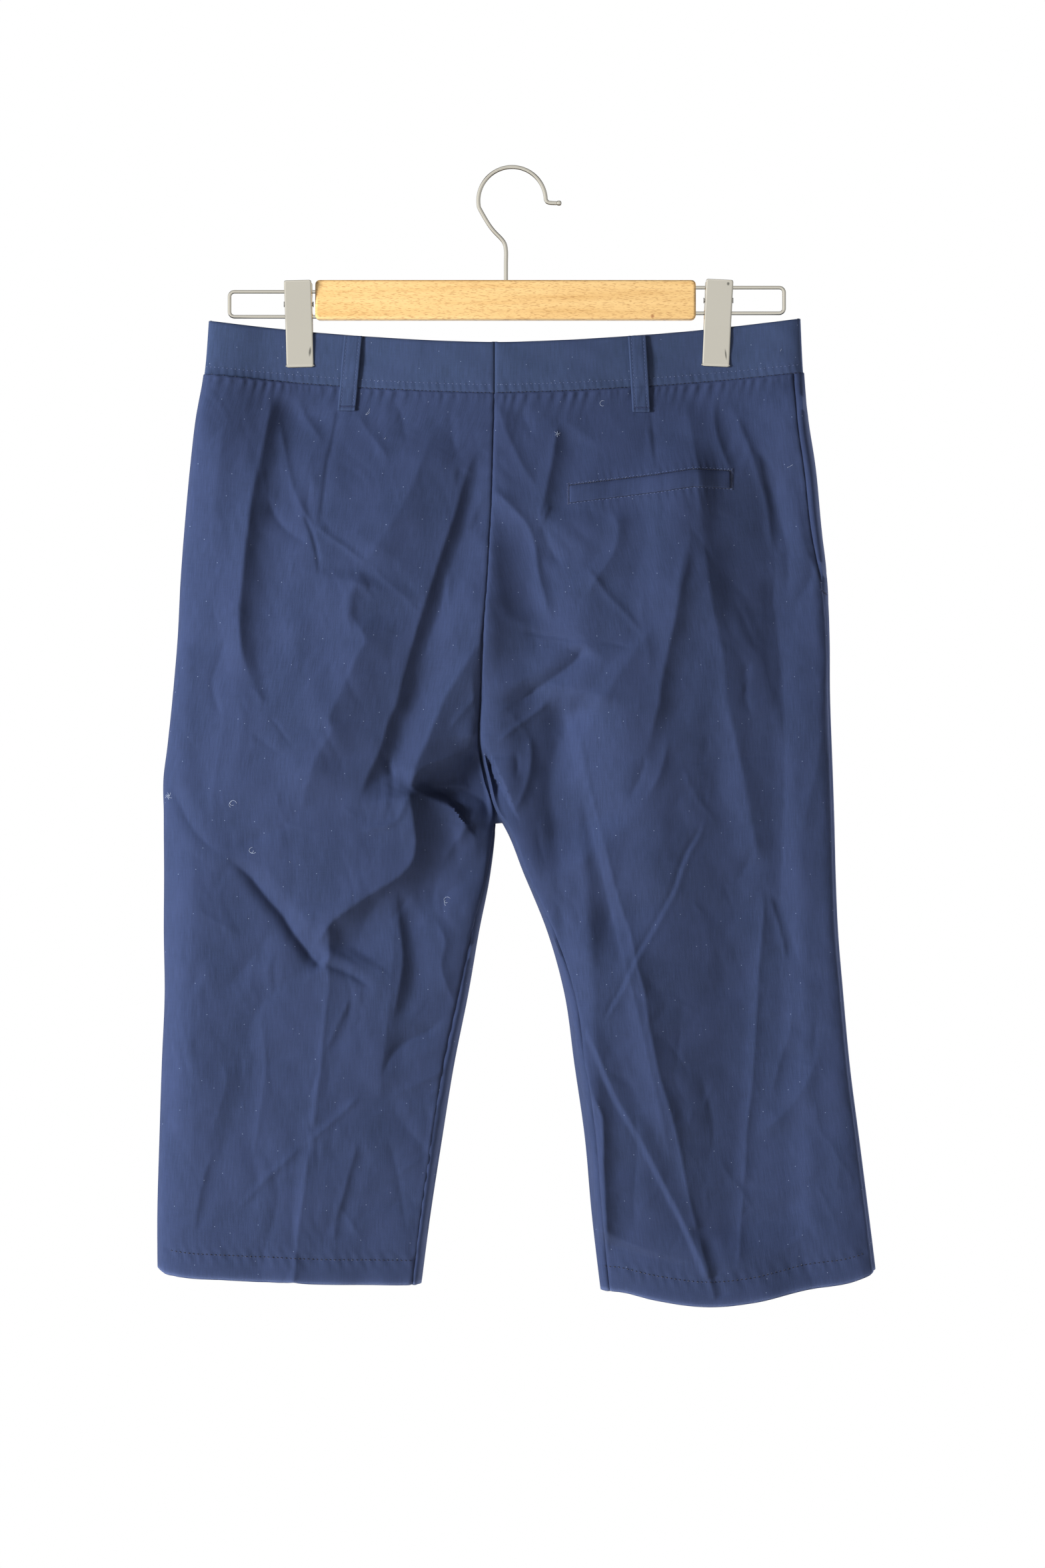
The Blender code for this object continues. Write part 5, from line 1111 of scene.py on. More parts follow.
def makeBand(name, node, face, startX, endX, seed, liftFrom=None):
    spec = bandSpec
    dice = np.random.default_rng(seed)
    turn = np.linspace(-1, 1, spec["columns"])
    # columns crowd together at the outer end, where the band turns round the side
    turn = (1 - spec["crowding"]) * turn + spec["crowding"] * np.sin(np.pi * turn / 2)
    x = ((startX + endX) / 2 + (endX - startX) / 2 * turn)[None, :]
    share = np.linspace(0, 1, spec["rows"])[:, None]
    lift = 0.0
    if liftFrom is not None:
        lift = spec["tabLift"] * (1 - smoothRamp(0, spec["tabEase"], x - liftFrom))
    points = bandPoints(x, share, face, lift)
    outward = (0, face, 0.0)
    height = points[..., 2] - waistSeam(x)
    fromEnd = np.minimum(np.abs(x - startX), np.abs(x - endX))
    relief = -spec["stitchDip"] * bell(height - spec["topstitchAbove"], spec["stitchReach"])
    wander = sum(np.sin(x / size + phase) for size, phase in zip((7.0, 15.0, 29.0), dice.uniform(0, 6, 3)))
    ripple = np.sin(2 * np.pi * (x + spec["rippleLean"] * height) / spec["ripplePitch"] + wander)
    relief = relief + ripple * spec["rippleRise"] * bell(height - spec["rippleAbove"], spec["rippleReach"])
    uneven = spec["rumpleShare"] * rumple(x + 0 * height, height * spec["rumpleStretch"], seed)
    relief = relief + uneven * smoothRamp(0, spec["rumpleFade"], fromEnd)
    fromTop = np.linalg.norm(points - points[:1], axis=-1)
    relief = relief - spec["topRoll"] * np.clip(1 - fromTop / spec["topRollReach"], 0, 1) ** 2
    relief = relief - spec["seamRoll"] * np.clip(1 - height / spec["seamRollReach"], 0, 1) ** 2
    relief = relief * smoothRamp(0, spec["endFade"], fromEnd)
    points = points + gridNormals(points, outward) * relief[..., None]
    points = rollSeams(points, outward)
    across = np.broadcast_to(x - startX, height.shape)
    band = clothShell(name, points, cut["bandWall"], spec["skip"], across, fromTop, outward)
    finishPiece(band, [node], navyBandTwill)
    return band


leftEnd = float(curveThrough(outline, "leftSide", waistSeam(-206.0)))
rightEnd = float(curveThrough(outline, "rightSide", waistSeam(203.6)))
tabX = cut["centreX"] - bandSpec["tabReach"]
underlapX = cut["centreX"] + bandSpec["underlap"]
bands = {
    "backLeft": makeBand("waistbandBackLeft", "waistband_back_left", back, leftEnd, cut["centreX"], 5),
    "backRight": makeBand("waistbandBackRight", "waistband_back_right", back, cut["centreX"], rightEnd, 6),
    "frontLeft": makeBand("waistbandFrontLeft", "waistband_front_left", front, leftEnd, underlapX, 7),
    "frontRight": makeBand("waistbandFrontRight", "waistband_front_right", front, tabX, rightEnd, 8,
                           underlapX + bandSpec["tabOverlap"]),
}
print("waistband made")

backTree = treeOf([panels["backLeft"], panels["backRight"], panels["frontRight"], bands["backLeft"],
                   bands["backRight"]])
frontTree = treeOf([panels["frontLeft"], panels["frontRight"], bands["frontLeft"], bands["frontRight"]])


def surfaceHit(tree, face, x, z):
    # where a line from outside meets the cloth, in metres, and its normal
    found = tree.ray_cast(Vector((x * mm, face * 0.2, z * mm)), Vector((0, -face, 0)))
    return found[0], found[1]


def surfaceY(tree, face, x, z):
    hit = surfaceHit(tree, face, x, z)[0]
    return None if hit is None else hit.y / mm


def layCloth(name, node, made, face, tree, corner, lift, spec):
    # A piece laid on the cloth below it. corner(u, v) gives x and height, lift(u, v) how far it stands off.
    rows, columns = spec["grid"]
    points = np.zeros((rows, columns, 3))
    for i in range(rows):
        for j in range(columns):
            u, v = j / (columns - 1), i / (rows - 1)
            x, z = corner(u, v)
            felt = [surfaceY(tree, face, x + dx * spec["probe"], z + dz * spec["probe"])
                    for dx, dz in ((0, 0), (1, 0), (-1, 0), (0, 1), (0, -1))]
            near = np.mean(sorted(value * face for value in felt if value is not None)[-3:])
            points[i, j] = (x, face * (near + lift(u, v)), z)
    piece = clothShell(name, points, spec["thickness"], spec["skip"], *flatMap(spec), (0, face, 0.0))
    return finishPiece(piece, [node], made)


def flatMap(spec):
    # distances across and down the piece's own cloth, over its grid
    rows, columns = spec["grid"]
    return np.meshgrid(np.linspace(0, spec["width"], columns), np.linspace(0, spec["length"], rows))


loopSpecs = (
    ("beltLoopBackLeft", "belt_loop_back_left", back, -103.9, -108.4, 50.5),
    ("beltLoopBackRight", "belt_loop_back_right", back, 89.5, 92.5, 51.5),
    ("beltLoopFrontLeft", "belt_loop_front_left", front, -112.0, -114.0, 50.5),
    ("beltLoopFrontRight", "belt_loop_front_right", front, 100.0, 102.0, 50.5),
)
loopSize = {"width": 12.0, "thickness": 1.4, "stand": 0.8, "gap": 0.5, "topDrop": 0.1, "stitchInset": 1.9,
            "grid": (79, 19), "probe": 1.6, "skip": 2, "standTop": 0.75, "groove": 0.3, "grooveReach": 0.8,
            "edge": 0.3, "edgeReach": 0.8, "tuck": 0.5, "tuckAt": 0.955, "tuckReach": 0.012}
loopCorners = {}


def makeLoop(name, node, face, topX, bottomX, length):
    size = loopSize
    top = float(bandTop(topX, face)) - size["topDrop"]

    def corner(u, v):
        return topX + (bottomX - topX) * v + (u - 0.5) * size["width"], top - length * v

    def lift(u, v):
        stand = size["stand"] * math.sin(math.pi * min(v / size["standTop"], 1.0))
        fromEdge = min(u, 1 - u) * size["width"]
        groove = size["groove"] * bell(fromEdge - size["stitchInset"], size["grooveReach"])
        rounded = size["edge"] * max(1 - fromEdge / size["edgeReach"], 0) ** 2
        tuck = size["tuck"] * bell(v - size["tuckAt"], size["tuckReach"])
        return size["gap"] + size["thickness"] + stand - groove - rounded - tuck

    tree = backTree if face == back else frontTree
    loop = layCloth(name, node, navyBandTwill, face, tree, corner, lift, {**size, "length": length})
    loopCorners[name] = corner
    return loop


loops = [makeLoop(*row) for row in loopSpecs]
print("belt loops made")


weltSpec = {"width": 109, "length": weltHeight, "thickness": 1.0, "gap": 0.4, "grid": (13, 91), "probe": 1.2,
            "skip": 2, "slit": 0.75, "slitReach": 0.10, "endDip": 0.4, "endReach": 0.012, "belly": 0.35,
            "sink": 0.35, "ripple": 0.12, "rippleTurns": (71, 23)}


def weltCorner(u, v):
    xs, zs = zip(*weltTop)
    x = xs[0] + (xs[-1] - xs[0]) * u
    return x, float(np.interp(x, xs, zs)) - weltHeight * v


def makeWelt():
    spec = weltSpec

    def lift(u, v):
        slit = spec["slit"] * bell(v, spec["slitReach"])
        ends = spec["endDip"] * (bell(u, spec["endReach"]) + bell(1 - u, spec["endReach"]))
        belly = spec["belly"] * math.sin(math.pi * v)
        fast, slow = spec["rippleTurns"]
        ripple = spec["ripple"] * math.sin(u * fast) * math.sin(u * slow + 1)
        return spec["gap"] + spec["thickness"] - spec["sink"] + belly + ripple * v - slit - ends

    welt = layCloth("pocketWelt", "pocket_welt_back", navyTwill, back, backTree, weltCorner, lift, spec)


makeWelt()
print("welt made")


flySpec = {"width": 35.0, "length": 152.0, "thickness": 1.2, "lap": 2.5, "straightShare": 0.72,
           "leastWidth": 3.0, "topDrop": 1.2, "gap": 0.4, "stitchInset": 3.0, "grid": (76, 19), "probe": 2.5,
           "skip": 3, "edge": 0.4, "edgeReach": 1.4}


def flyCorner(u, v):
    z = float(waistSeam(cut["centreX"])) - flySpec["topDrop"] - flySpec["length"] * v
    curve = max((v - flySpec["straightShare"]) / (1 - flySpec["straightShare"]), 0.0)
    width = flySpec["width"] * math.sqrt(max(1 - curve ** 2, 0)) + flySpec["leastWidth"]
    return float(curveThrough(outline, "leftInner", z)) - flySpec["lap"] + width * u, z


def makeFly():
    def lift(u, v):
        fromEdge = min(u, 1 - u) * flySpec["width"]
        edge = flySpec["edge"] * max(1 - fromEdge / flySpec["edgeReach"], 0) ** 2
        return flySpec["gap"] + flySpec["thickness"] - edge

    fly = layCloth("flyPlacket", "fly_placket", navyTwill, front, frontTree, flyCorner, lift, flySpec)
    return fly


fly = makeFly()
print("fly made")


def addShape(name, kind, applied=True, **settings):
    # a new primitive, by default with its place and turn taken into its points
    if bpy.context.object is not None and bpy.context.object.mode != "OBJECT":
        bpy.ops.object.mode_set(mode="OBJECT")
    bpy.ops.object.select_all(action="DESELECT")
    getattr(bpy.ops.mesh, "primitive_" + kind + "_add")(**settings)
    return nameActive(name, applied)


def nameActive(name, applied=True):
    obj = bpy.context.object
    obj.name = name
    obj.data.name = name
    if applied:
        bpy.ops.object.transform_apply(location=True, rotation=True, scale=True)
    return obj


def addRod(name, radius, length, at, turn, sides, applied=True):
    # a cylinder of these millimetres, its middle in metres and its turn in degrees
    return addShape(name, "cylinder", applied, vertices=sides, radius=radius * mm, depth=length * mm,
                    location=at, rotation=[math.radians(angle) for angle in turn])


def editPiece(obj):
    bpy.context.view_layer.objects.active = obj
    bpy.ops.object.mode_set(mode="EDIT")
    bpy.ops.mesh.select_mode(type="FACE")


def leaveEdit():
    bpy.ops.object.mode_set(mode="OBJECT")


def pick(obj, kind, test):
    # selects the faces, edges or points that pass the test
    bpy.ops.mesh.select_mode(type=kind)
    bpy.ops.mesh.select_all(action="DESELECT")
    mesh = bmesh.from_edit_mesh(obj.data)
    for part in {"FACE": mesh.faces, "EDGE": mesh.edges, "VERT": mesh.verts}[kind]:
        part.select_set(bool(test(part)))
    bmesh.update_edit_mesh(obj.data)


def bevelEdges(obj, offset, segments, test=lambda edge: True, **settings):
    pick(obj, "EDGE", test)
    bpy.ops.mesh.bevel(offset=offset * mm, segments=segments, **settings)


def bevelCorners(obj, offset, segments, test):
    pick(obj, "VERT", test)
    bpy.ops.mesh.bevel(affect="VERTICES", offset=offset * mm, segments=segments)


def insetFaces(obj, test, *steps):
    # each step: how far in from the border and how far out from the face
    pick(obj, "FACE", test)
    for thickness, depth in steps:
        bpy.ops.mesh.inset(thickness=thickness * mm, depth=depth * mm)


def sharper(degrees):
    return lambda edge: edge.calc_face_angle(0) > math.radians(degrees)


def atEnd(face):
    # the flat end of a rod that lies along its own Z
    return abs(face.normal.z) > 0.9


def smoothUnder(degrees):
    bpy.ops.object.shade_smooth_by_angle(angle=math.radians(degrees))


def faceOutwards():
    bpy.ops.mesh.select_all(action="SELECT")
    bpy.ops.mesh.normals_make_consistent(inside=False)


def turnPicked(angle, centre):
    # with no window the operator turns the other way
    bpy.ops.transform.rotate(value=-angle, orient_axis="Y", center_override=centre)


def joinPieces(name, pieces):
    bpy.ops.object.select_all(action="DESELECT")
    for piece in pieces:
        piece.select_set(True)
    bpy.context.view_layer.objects.active = pieces[0]
    bpy.ops.object.join()
    return nameActive(name)


def applyModifier(obj, kind, **settings):
    modifier = obj.modifiers.new(kind.lower(), kind)
    for name, value in settings.items():
        setattr(modifier, name, value)
    bpy.context.view_layer.objects.active = obj
    bpy.ops.object.modifier_apply(modifier=modifier.name)


def drawnWire(name, path, radius, sides=18, swell=None):
    # a round wire in the plane of the bar: a filled circle, extruded and turned from point to point
    path = [Vector((x * mm, 0, z * mm)) for x, z in path]
    headings = [(b - a).normalized() for a, b in zip(path, path[1:])]
    bends = [(a + b).normalized() for a, b in zip(headings, headings[1:])]
    angles = [math.atan2(heading.x, heading.z) for heading in (headings[0], *bends, headings[-1])]
    swell = swell or [1.0] * len(path)
    wire = addShape(name, "circle", vertices=sides, radius=radius * mm * swell[0], fill_type="NGON",
                    location=path[0], rotation=(0, angles[0], 0))
    editPiece(wire)
    bpy.ops.mesh.select_all(action="SELECT")
    for k in range(1, len(path)):
        bpy.ops.mesh.extrude_region_move(TRANSFORM_OT_translate={"value": path[k] - path[k - 1]})
        turn = (angles[k] - angles[k - 1] + math.pi) % wholeTurn - math.pi
        if abs(turn) > 1e-6:
            turnPicked(turn, path[k])
        if swell[k] != swell[k - 1]:
            bpy.ops.transform.resize(value=[swell[k] / swell[k - 1]] * 3, center_override=path[k])
    faceOutwards()
    leaveEdit()
    smoothUnder(50)
    return wire


def arcPath(centre, radius, first, last, steps):
    angles = np.radians(np.linspace(first, last, steps))
    return [(centre[0] + radius * math.cos(a), centre[1] + abs(radius) * math.sin(a)) for a in angles]


def copyAlong(name, pattern, spots, made):
    # one small shape copied to many places, each given by a middle, a direction and an outward normal
    shape = np.array([v.co for v in pattern.data.vertices]) / mm
    sides = [list(p.vertices) for p in pattern.data.polygons]
    bpy.data.objects.remove(pattern)
    points = []
    faces = []
    for middle, along, outward in spots:
        along = along / np.linalg.norm(along)
        outward = outward - along * np.dot(outward, along)
        outward = outward / np.linalg.norm(outward)
        start = len(points) * len(shape)
        points.append(middle + shape @ np.stack([along, np.cross(outward, along), outward]))
        faces += [[start + corner for corner in side] for side in sides]
    mesh = bpy.data.meshes.new(name)
    mesh.from_pydata((np.concatenate(points) * mm).tolist(), [], faces)
    mesh.shade_smooth()
    return finishPiece(placeObject(name, mesh), [], made)


zipSpec = {"width": 24.0, "length": 138.0, "topDrop": 6.0, "tapeThickness": 0.7, "grid": (58, 9),
           "behind": 0.5, "teethPitch": 2.0, "tooth": (4.6, 1.1, 1.1), "toothSink": 0.45,
           "toothEdge": 0.3, "firstTooth": 0.6, "probe": 2, "slider": (5.2, 2.6, 8.0), "sliderRow": 2,
           "sliderOut": 1.6, "sliderTaper": (0.62, 0.8, 1), "sliderEdge": 0.5}


def makeZip():
    # closed zip behind the fly: tape, nylon coil and slider
    spec, probe = zipSpec, zipSpec["probe"]
    rows, columns = spec["grid"]
    points = np.zeros((rows, columns, 3))
    seam = np.zeros((rows, 3))
    for i in range(rows):
        z = float(waistSeam(cut["centreX"])) - spec["topDrop"] - spec["length"] * i / (rows - 1)
        seamX = float(curveThrough(outline, "leftInner", z))
        for j in range(columns):
            x = seamX + (j / (columns - 1) - 0.5) * spec["width"]
            found = [frontTree.ray_cast(Vector(((x + dx) * mm, 0, (z + dz) * mm)), Vector((0, 1, 0)))[0]
                     for dx, dz in ((0, 0), (probe, 0), (-probe, 0), (0, probe), (0, -probe))]
            nearest = min(hit.y / mm for hit in found if hit is not None)
            points[i, j] = (x, nearest - spec["behind"] - spec["tapeThickness"], z)
        seam[i] = (seamX, points[i, columns // 2, 1], z)
    tape = clothShell("flyZip", points, spec["tapeThickness"], 1, *flatMap(spec), (0, back, 0.0))
    finishPiece(tape, ["fly_zip"], zipTape)

    tooth = addShape("tooth", "cube", size=1, scale=Vector(spec["tooth"]) * mm)
    editPiece(tooth)
    bevelEdges(tooth, spec["toothEdge"], 1)
    leaveEdit()
    spots = []
    for k in range(int(spec["length"] / spec["teethPitch"])):
        row = (spec["firstTooth"] + k * spec["teethPitch"]) / spec["length"] * (rows - 1)
        spot = np.array([np.interp(row, np.arange(rows), seam[:, axis]) for axis in range(3)])
        spot[1] -= spec["toothSink"]
        spots.append((spot, np.array((1.0, 0, 0)), np.array((0, -1.0, 0))))
    copyAlong("flyZipCoil", tooth, spots, castResin)

    at = Vector(seam[spec["sliderRow"]]) * mm - Vector((0, spec["sliderOut"] * mm, 0))
    slider = addShape("zipSlider", "cube", size=1, location=at, scale=Vector(spec["slider"]) * mm)
    editPiece(slider)
    pick(slider, "FACE", lambda face: face.normal.z < -0.9)
    bpy.ops.transform.resize(value=spec["sliderTaper"],
                             center_override=(at.x, at.y, at.z - spec["slider"][2] / 2 * mm))
    bevelEdges(slider, spec["sliderEdge"], 2)
    leaveEdit()
    smoothUnder(40)
    finishPiece(slider, [], chromePlate)


makeZip()
print("zip made")


buttonSpec = {"radius": 7.5, "thickness": 3.0, "x": -15.5, "holeSpread": 1.9, "holeRadius": 0.85, "gap": 0.4,
              "rim": ((1.3, 0), (0.9, -0.7), (2.2, -0.15)), "thread": 0.36, "threadSink": 0.55,
              "shank": (2.6, 1.4), "probe": 6, "edge": 0.45, "strandShift": 0.4, "strandOver": 0.3}


def makeButton():
    # four-hole button with a raised rim, sewn on with crossed thread
    spec = buttonSpec
    x = spec["x"]
    z = float(bandTop(x, front) + waistSeam(x)) / 2
    around = (-spec["probe"], 0, spec["probe"])
    felt = [surfaceY(frontTree, front, x + dx, z + dz) for dx in around for dz in around]
    near = max(value for value in felt if value is not None) + spec["gap"]
    centre = Vector((x, near + spec["thickness"] / 2, z)) * mm
    button = addRod("waistButton", spec["radius"], spec["thickness"], centre, (-90, 0, 0), 48)
    editPiece(button)
    insetFaces(button, lambda face: face.normal.y > 0.9, *spec["rim"])
    bevelEdges(button, spec["edge"], 3, sharper(30))
    leaveEdit()
    for dx in (-1, 1):
        for dz in (-1, 1):
            spot = centre + Vector((dx * spec["holeSpread"], 0, dz * spec["holeSpread"])) * mm
            drill = addRod("drill", spec["holeRadius"], 8, spot, (90, 0, 0), 16, False)
            applyModifier(button, "BOOLEAN", object=drill, operation="DIFFERENCE")
            bpy.data.objects.remove(drill)
    button.select_set(True)
    bpy.context.view_layer.objects.active = button
    smoothUnder(35)
    finishPiece(button, ["waist_button"], castResin)
    strands = []
    for turn, sign in ((45, -1), (45, 1), (-45, -1), (-45, 1)):
        angle = math.radians(turn + 90)
        sideways = Vector((math.cos(angle), 0, math.sin(angle))) * sign * spec["strandShift"] * mm
        height = spec["thickness"] / 2 - spec["threadSink"] + (spec["strandOver"] if turn > 0 else 0)
        spot = centre + Vector((0, height, 0)) * mm + sideways
        length = 2 * spec["holeSpread"] * math.sqrt(2)
        strand = addRod("strand", spec["thread"], length, spot, (0, 90 - turn, 0), 10, False)
        editPiece(strand)
        insetFaces(strand, atEnd, (0.12, 0))
        leaveEdit()
        strands.append(strand)
    foot = centre - Vector((0, spec["thickness"] / 2 + 0.1, 0)) * mm
    strands.append(addRod("threadShank", *spec["shank"], foot, (90, 0, 0), 16, False))
    thread = joinPieces("buttonThread", strands)
    smoothUnder(50)
    finishPiece(thread, [], seamThread)


makeButton()
print("button made")


barSpec = {"left": -129.8, "right": 129.5, "top": -75.6, "bottom": -102.6, "depth": 14.0, "edge": 2.2,
           "endRound": 3.2}


def makeBar():
    spec = barSpec
    middle = Vector(((spec["left"] + spec["right"]) / 2, 0, (spec["top"] + spec["bottom"]) / 2)) * mm
    size = Vector((spec["right"] - spec["left"], spec["depth"], spec["top"] - spec["bottom"])) * mm
    bar = addShape("hangerBar", "cube", size=1, location=middle, scale=size)

    def acrossDepth(edge):
        return abs(edge.verts[0].co.y - edge.verts[1].co.y)

    editPiece(bar)
    # the four corners of its face are rounded over before every edge is eased
    bevelEdges(bar, spec["endRound"], 6, lambda edge: acrossDepth(edge) > 5 * mm)
    bevelEdges(bar, spec["edge"], 5, lambda edge: acrossDepth(edge) < 1e-6, profile=0.6)
    leaveEdit()
    smoothUnder(40)
    return finishPiece(bar, ["hanger_bar"], steamedBeech)


makeBar()
print("bar made")


hookSpec = {
    "wire": 1.38, "centre": (4.27, -21.18), "radius": 23.0, "first": 191.0, "last": 2.0,
    "throat": ((0.1, -55.0), (-1.6, -49.0), (-8.4, -41.6), (-12.7, -35.6)),
    "tip": ((28.6, -22.2), (31.4, -22.7), (34.6, -22.8)),
    "shankX": 0.1, "shankFoot": -89.0, "shankTop": -63.6,
    # the ball at the tip: distance past the wire's end and radius, then the last point's
    "ballNeck": ((0.1, 1.104), (0.3, 1.3524)),
    "ball": 1.75,
    "ballShape": ((0.7, 0.92), (1.2, 0.98), (1.75, 1.0), (2.3, 0.97), (2.8, 0.85), (3.15, 0.62)),
    "ballEnd": (3.4, 0.4692),
}
railSpecs = {
    "left": {"node": "wire_loop_left", "side": -1.0, "barEnd": -129.8, "endX": -188.4, "upper": -83.25,
             "lower": -100.3},
    "right": {"node": "wire_loop_right", "side": 1.0, "barEnd": 129.5, "endX": 189.8, "upper": -80.4,
              "lower": -97.9},
}
railSize = {"wire": 1.25, "corner": 3.4, "inside": 12.0, "reach": 30}


def makeHook():
    spec = hookSpec
    arc = arcPath(spec["centre"], spec["radius"], spec["first"], spec["last"], 64)
    shank = [(spec["shankX"], z) for z in (spec["shankFoot"], barSpec["top"], spec["shankTop"])]
    throat = throughPoints([shank[-1], *spec["throat"], arc[0], arc[3]], 6)[1:-7]
    tip = throughPoints([arc[-1], *spec["tip"]], 5)[1:]
    path = shank + throat + arc + tip
    swell = [1.0] * len(path)
    end = np.array(path[-1])
    ball = [(place, share * spec["ball"]) for place, share in spec["ballShape"]]
    for place, radius in (*spec["ballNeck"], *ball, spec["ballEnd"]):
        path.append(tuple(end + (place, 0.0)))
        swell.append(radius / spec["wire"])
    hook = drawnWire("hangerHook", path, spec["wire"], 20, swell)
    return finishPiece(hook, ["hook"], chromePlate)


def makeRail(name, spec):
    side, corner = spec["side"], railSize["corner"]
    turnX = spec["endX"] - side * corner
    along = [spec["barEnd"] + side * step for step in (-railSize["inside"], 0, railSize["reach"])]
    path = [(x, spec["upper"]) for x in along]
    path += arcPath((turnX, spec["upper"] - corner), side * corner, 90, 0, 9)
    path += arcPath((turnX, spec["lower"] + corner), side * corner, 0, -90, 9)
    path += [(x, spec["lower"]) for x in along[::-1]]
    return finishPiece(drawnWire(name, path, railSize["wire"]), [spec["node"]], chromePlate)


makeHook()
makeRail("wireLoopLeft", railSpecs["left"])
makeRail("wireLoopRight", railSpecs["right"])
print("hook and loops made")


clipSpecs = {
    "left": {"topX": -141.6, "bottomX": -140.2, "top": -76.1, "bottom": -135.2},
    "right": {"topX": 145.6, "bottomX": 143.0, "top": -75.6, "bottom": -134.3},
}
clipSize = {
    "width": 18.6, "wall": 0.7, "crown": 0.5, "rim": 0.95, "corner": 1.5, "earWall": 0.8, "earGap": 0.35,
    "earHalf": 6.85, "earPast": 3.0, "earTop": 0.55, "earSink": 0.3, "pin": 1.2, "pinHead": 1.9,
    "pinHeadThick": 0.6, "pinPast": 0.3,
    "springWire": 0.62, "springRadius": 2.2, "springLength": 10.0, "springTurns": 7,
    "legRise": 8.0, "legGap": 1.3, "legStart": 0.4,
    "bend": 1.0, "plateEdge": 0.42, "earCorner": 2.0, "earEdge": 0.14, "pinEdge": 0.2,
}
# half the gap between the jaws' inner faces, at a depth below the clip's top
jawProfile = ((0.0, 10.4), (3.0, 10.2), (10.0, 8.6), (20.0, 5.9), (27.0, 3.7), (31.5, 2.65), (57.0, 2.65),
              (59.1, 3.3))


def halfGap(side, z):
    return float(np.interp(clipSpecs[side]["top"] - z, *zip(*jawProfile)))


def pivotHeight(side):
    return (railSpecs[side]["upper"] + railSpecs[side]["lower"]) / 2


def clipMiddle(side, z):
    # a clip hangs a little out of plumb
    clip = clipSpecs[side]
    lean = (clip["bottomX"] - clip["topX"]) / (clip["top"] - clip["bottom"])
    return clip["topX"] + lean * (clip["top"] - z)


def makePlate(side, face, name):
    # the pressed plate of a jaw, upright at x = 0
    clip, size = clipSpecs[side], clipSize
    top, height = clip["top"], jawProfile[-1][0]
    jaw = addShape(name, "plane", False, size=1, location=(0, 0, (top - height / 2) * mm),
                   rotation=(math.radians(90), 0, 0))
    jaw.scale = (size["width"] * mm, height * mm, 1)
    nameActive(name)
    editPiece(jaw)
    # cut across where the press bends it, then each line pushed out to the profile
    bends = [(top - below) * mm for below, _ in jawProfile[1:-1]]
    for level in bends:
        bpy.ops.mesh.select_all(action="SELECT")
        bpy.ops.mesh.bisect(plane_co=(0, 0, level), plane_no=(0, 0, 1))
    for below, gap in jawProfile:
        pick(jaw, "VERT", lambda v: abs(v.co.z - (top - below) * mm) < 1e-5)
        bpy.ops.transform.translate(value=(0, face * gap * mm, 0))
    bevelEdges(jaw, size["bend"], 3, lambda edge: abs(edge.verts[0].co.z - edge.verts[1].co.z) < 1e-5
               and any(abs(edge.verts[0].co.z - level) < 1e-5 for level in bends))
    bevelCorners(jaw, size["corner"], 4, lambda v: abs(abs(v.co.x) - size["width"] / 2 * mm) < 1e-5
                 and (v.co.z > (top - 0.01) * mm or v.co.z < (top - height + 0.01) * mm))
    faceOutwards()
    leaveEdit()
    if sum(p.normal.y * p.area for p in jaw.data.polygons) * face < 0:
        jaw.data.flip_normals()
    applyModifier(jaw, "SOLIDIFY", thickness=size["wall"] * mm, offset=1.0)
    editPiece(jaw)
    insetFaces(jaw, lambda part: part.normal.y * face > 0.5, (size["rim"], size["crown"]))
    # the lip is pressed thinner, so that it bears evenly on the band
    bevelEdges(jaw, size["plateEdge"], 3, sharper(50))
    leaveEdit()
    return jaw


def makeEar(side, face, sign):
    # one ear of a jaw, flat-footed on the lower wire, with the pin through it
    size, pivot = clipSize, pivotHeight(side)
    reach = size["width"] / 2 - size["earWall"] / 2
    if face == front:
        reach -= size["earWall"] + size["earGap"]
    head, foot = pivot + size["earHalf"], pivot - size["earHalf"]
    corners = (
        (face * (halfGap(side, head) + size["earSink"]), head),
        (face * (halfGap(side, foot) + size["earSink"]), foot),
        (-face * size["earPast"], foot),
        (-face * size["earPast"], pivot + size["earHalf"] * size["earTop"]),
    )
    ear = addShape("ear", "plane", size=2 * mm, rotation=(0, math.radians(90), 0))
    editPiece(ear)
    for (y, z), (signY, signZ) in zip(corners, ((1, 1), (1, -1), (-1, -1), (-1, 1))):
        pick(ear, "VERT", lambda v: v.co.y * face * signY > 0 and v.co.z * signZ > 0
             and abs(v.co.y) < 1.01 * mm and abs(v.co.z) < 1.01 * mm)
        moved = Vector((sign * reach * mm, y * mm - face * signY * mm, z * mm - signZ * mm))
        bpy.ops.transform.translate(value=moved)
    bevelCorners(ear, size["earCorner"], 5, lambda v: v.co.y * face < 0)
    leaveEdit()
    applyModifier(ear, "SOLIDIFY", thickness=size["earWall"] * mm, offset=0.0)
    applyModifier(ear, "BEVEL", width=size["earEdge"] * mm, segments=2)
    return ear


def makeJaw(side, face, name, node):
    clip = clipSpecs[side]
    jaw = joinPieces(name, [makePlate(side, face, name), *[makeEar(side, face, sign) for sign in (-1, 1)]])
    editPiece(jaw)
    bpy.ops.mesh.select_all(action="SELECT")
    level = (clip["top"] + clip["bottom"]) / 2
    middle = clipMiddle(side, level) * mm
    bpy.ops.transform.translate(value=(middle, 0, 0))
    lean = math.atan2(clip["topX"] - clip["bottomX"], clip["top"] - clip["bottom"])
    turnPicked(lean, (middle, 0, level * mm))
    leaveEdit()
    smoothUnder(14)
    applyModifier(jaw, "WEIGHTED_NORMAL", keep_sharp=True, weight=90)
    return finishPiece(jaw, [node], platePaintedDarkReflections if face == back else chromePlate)


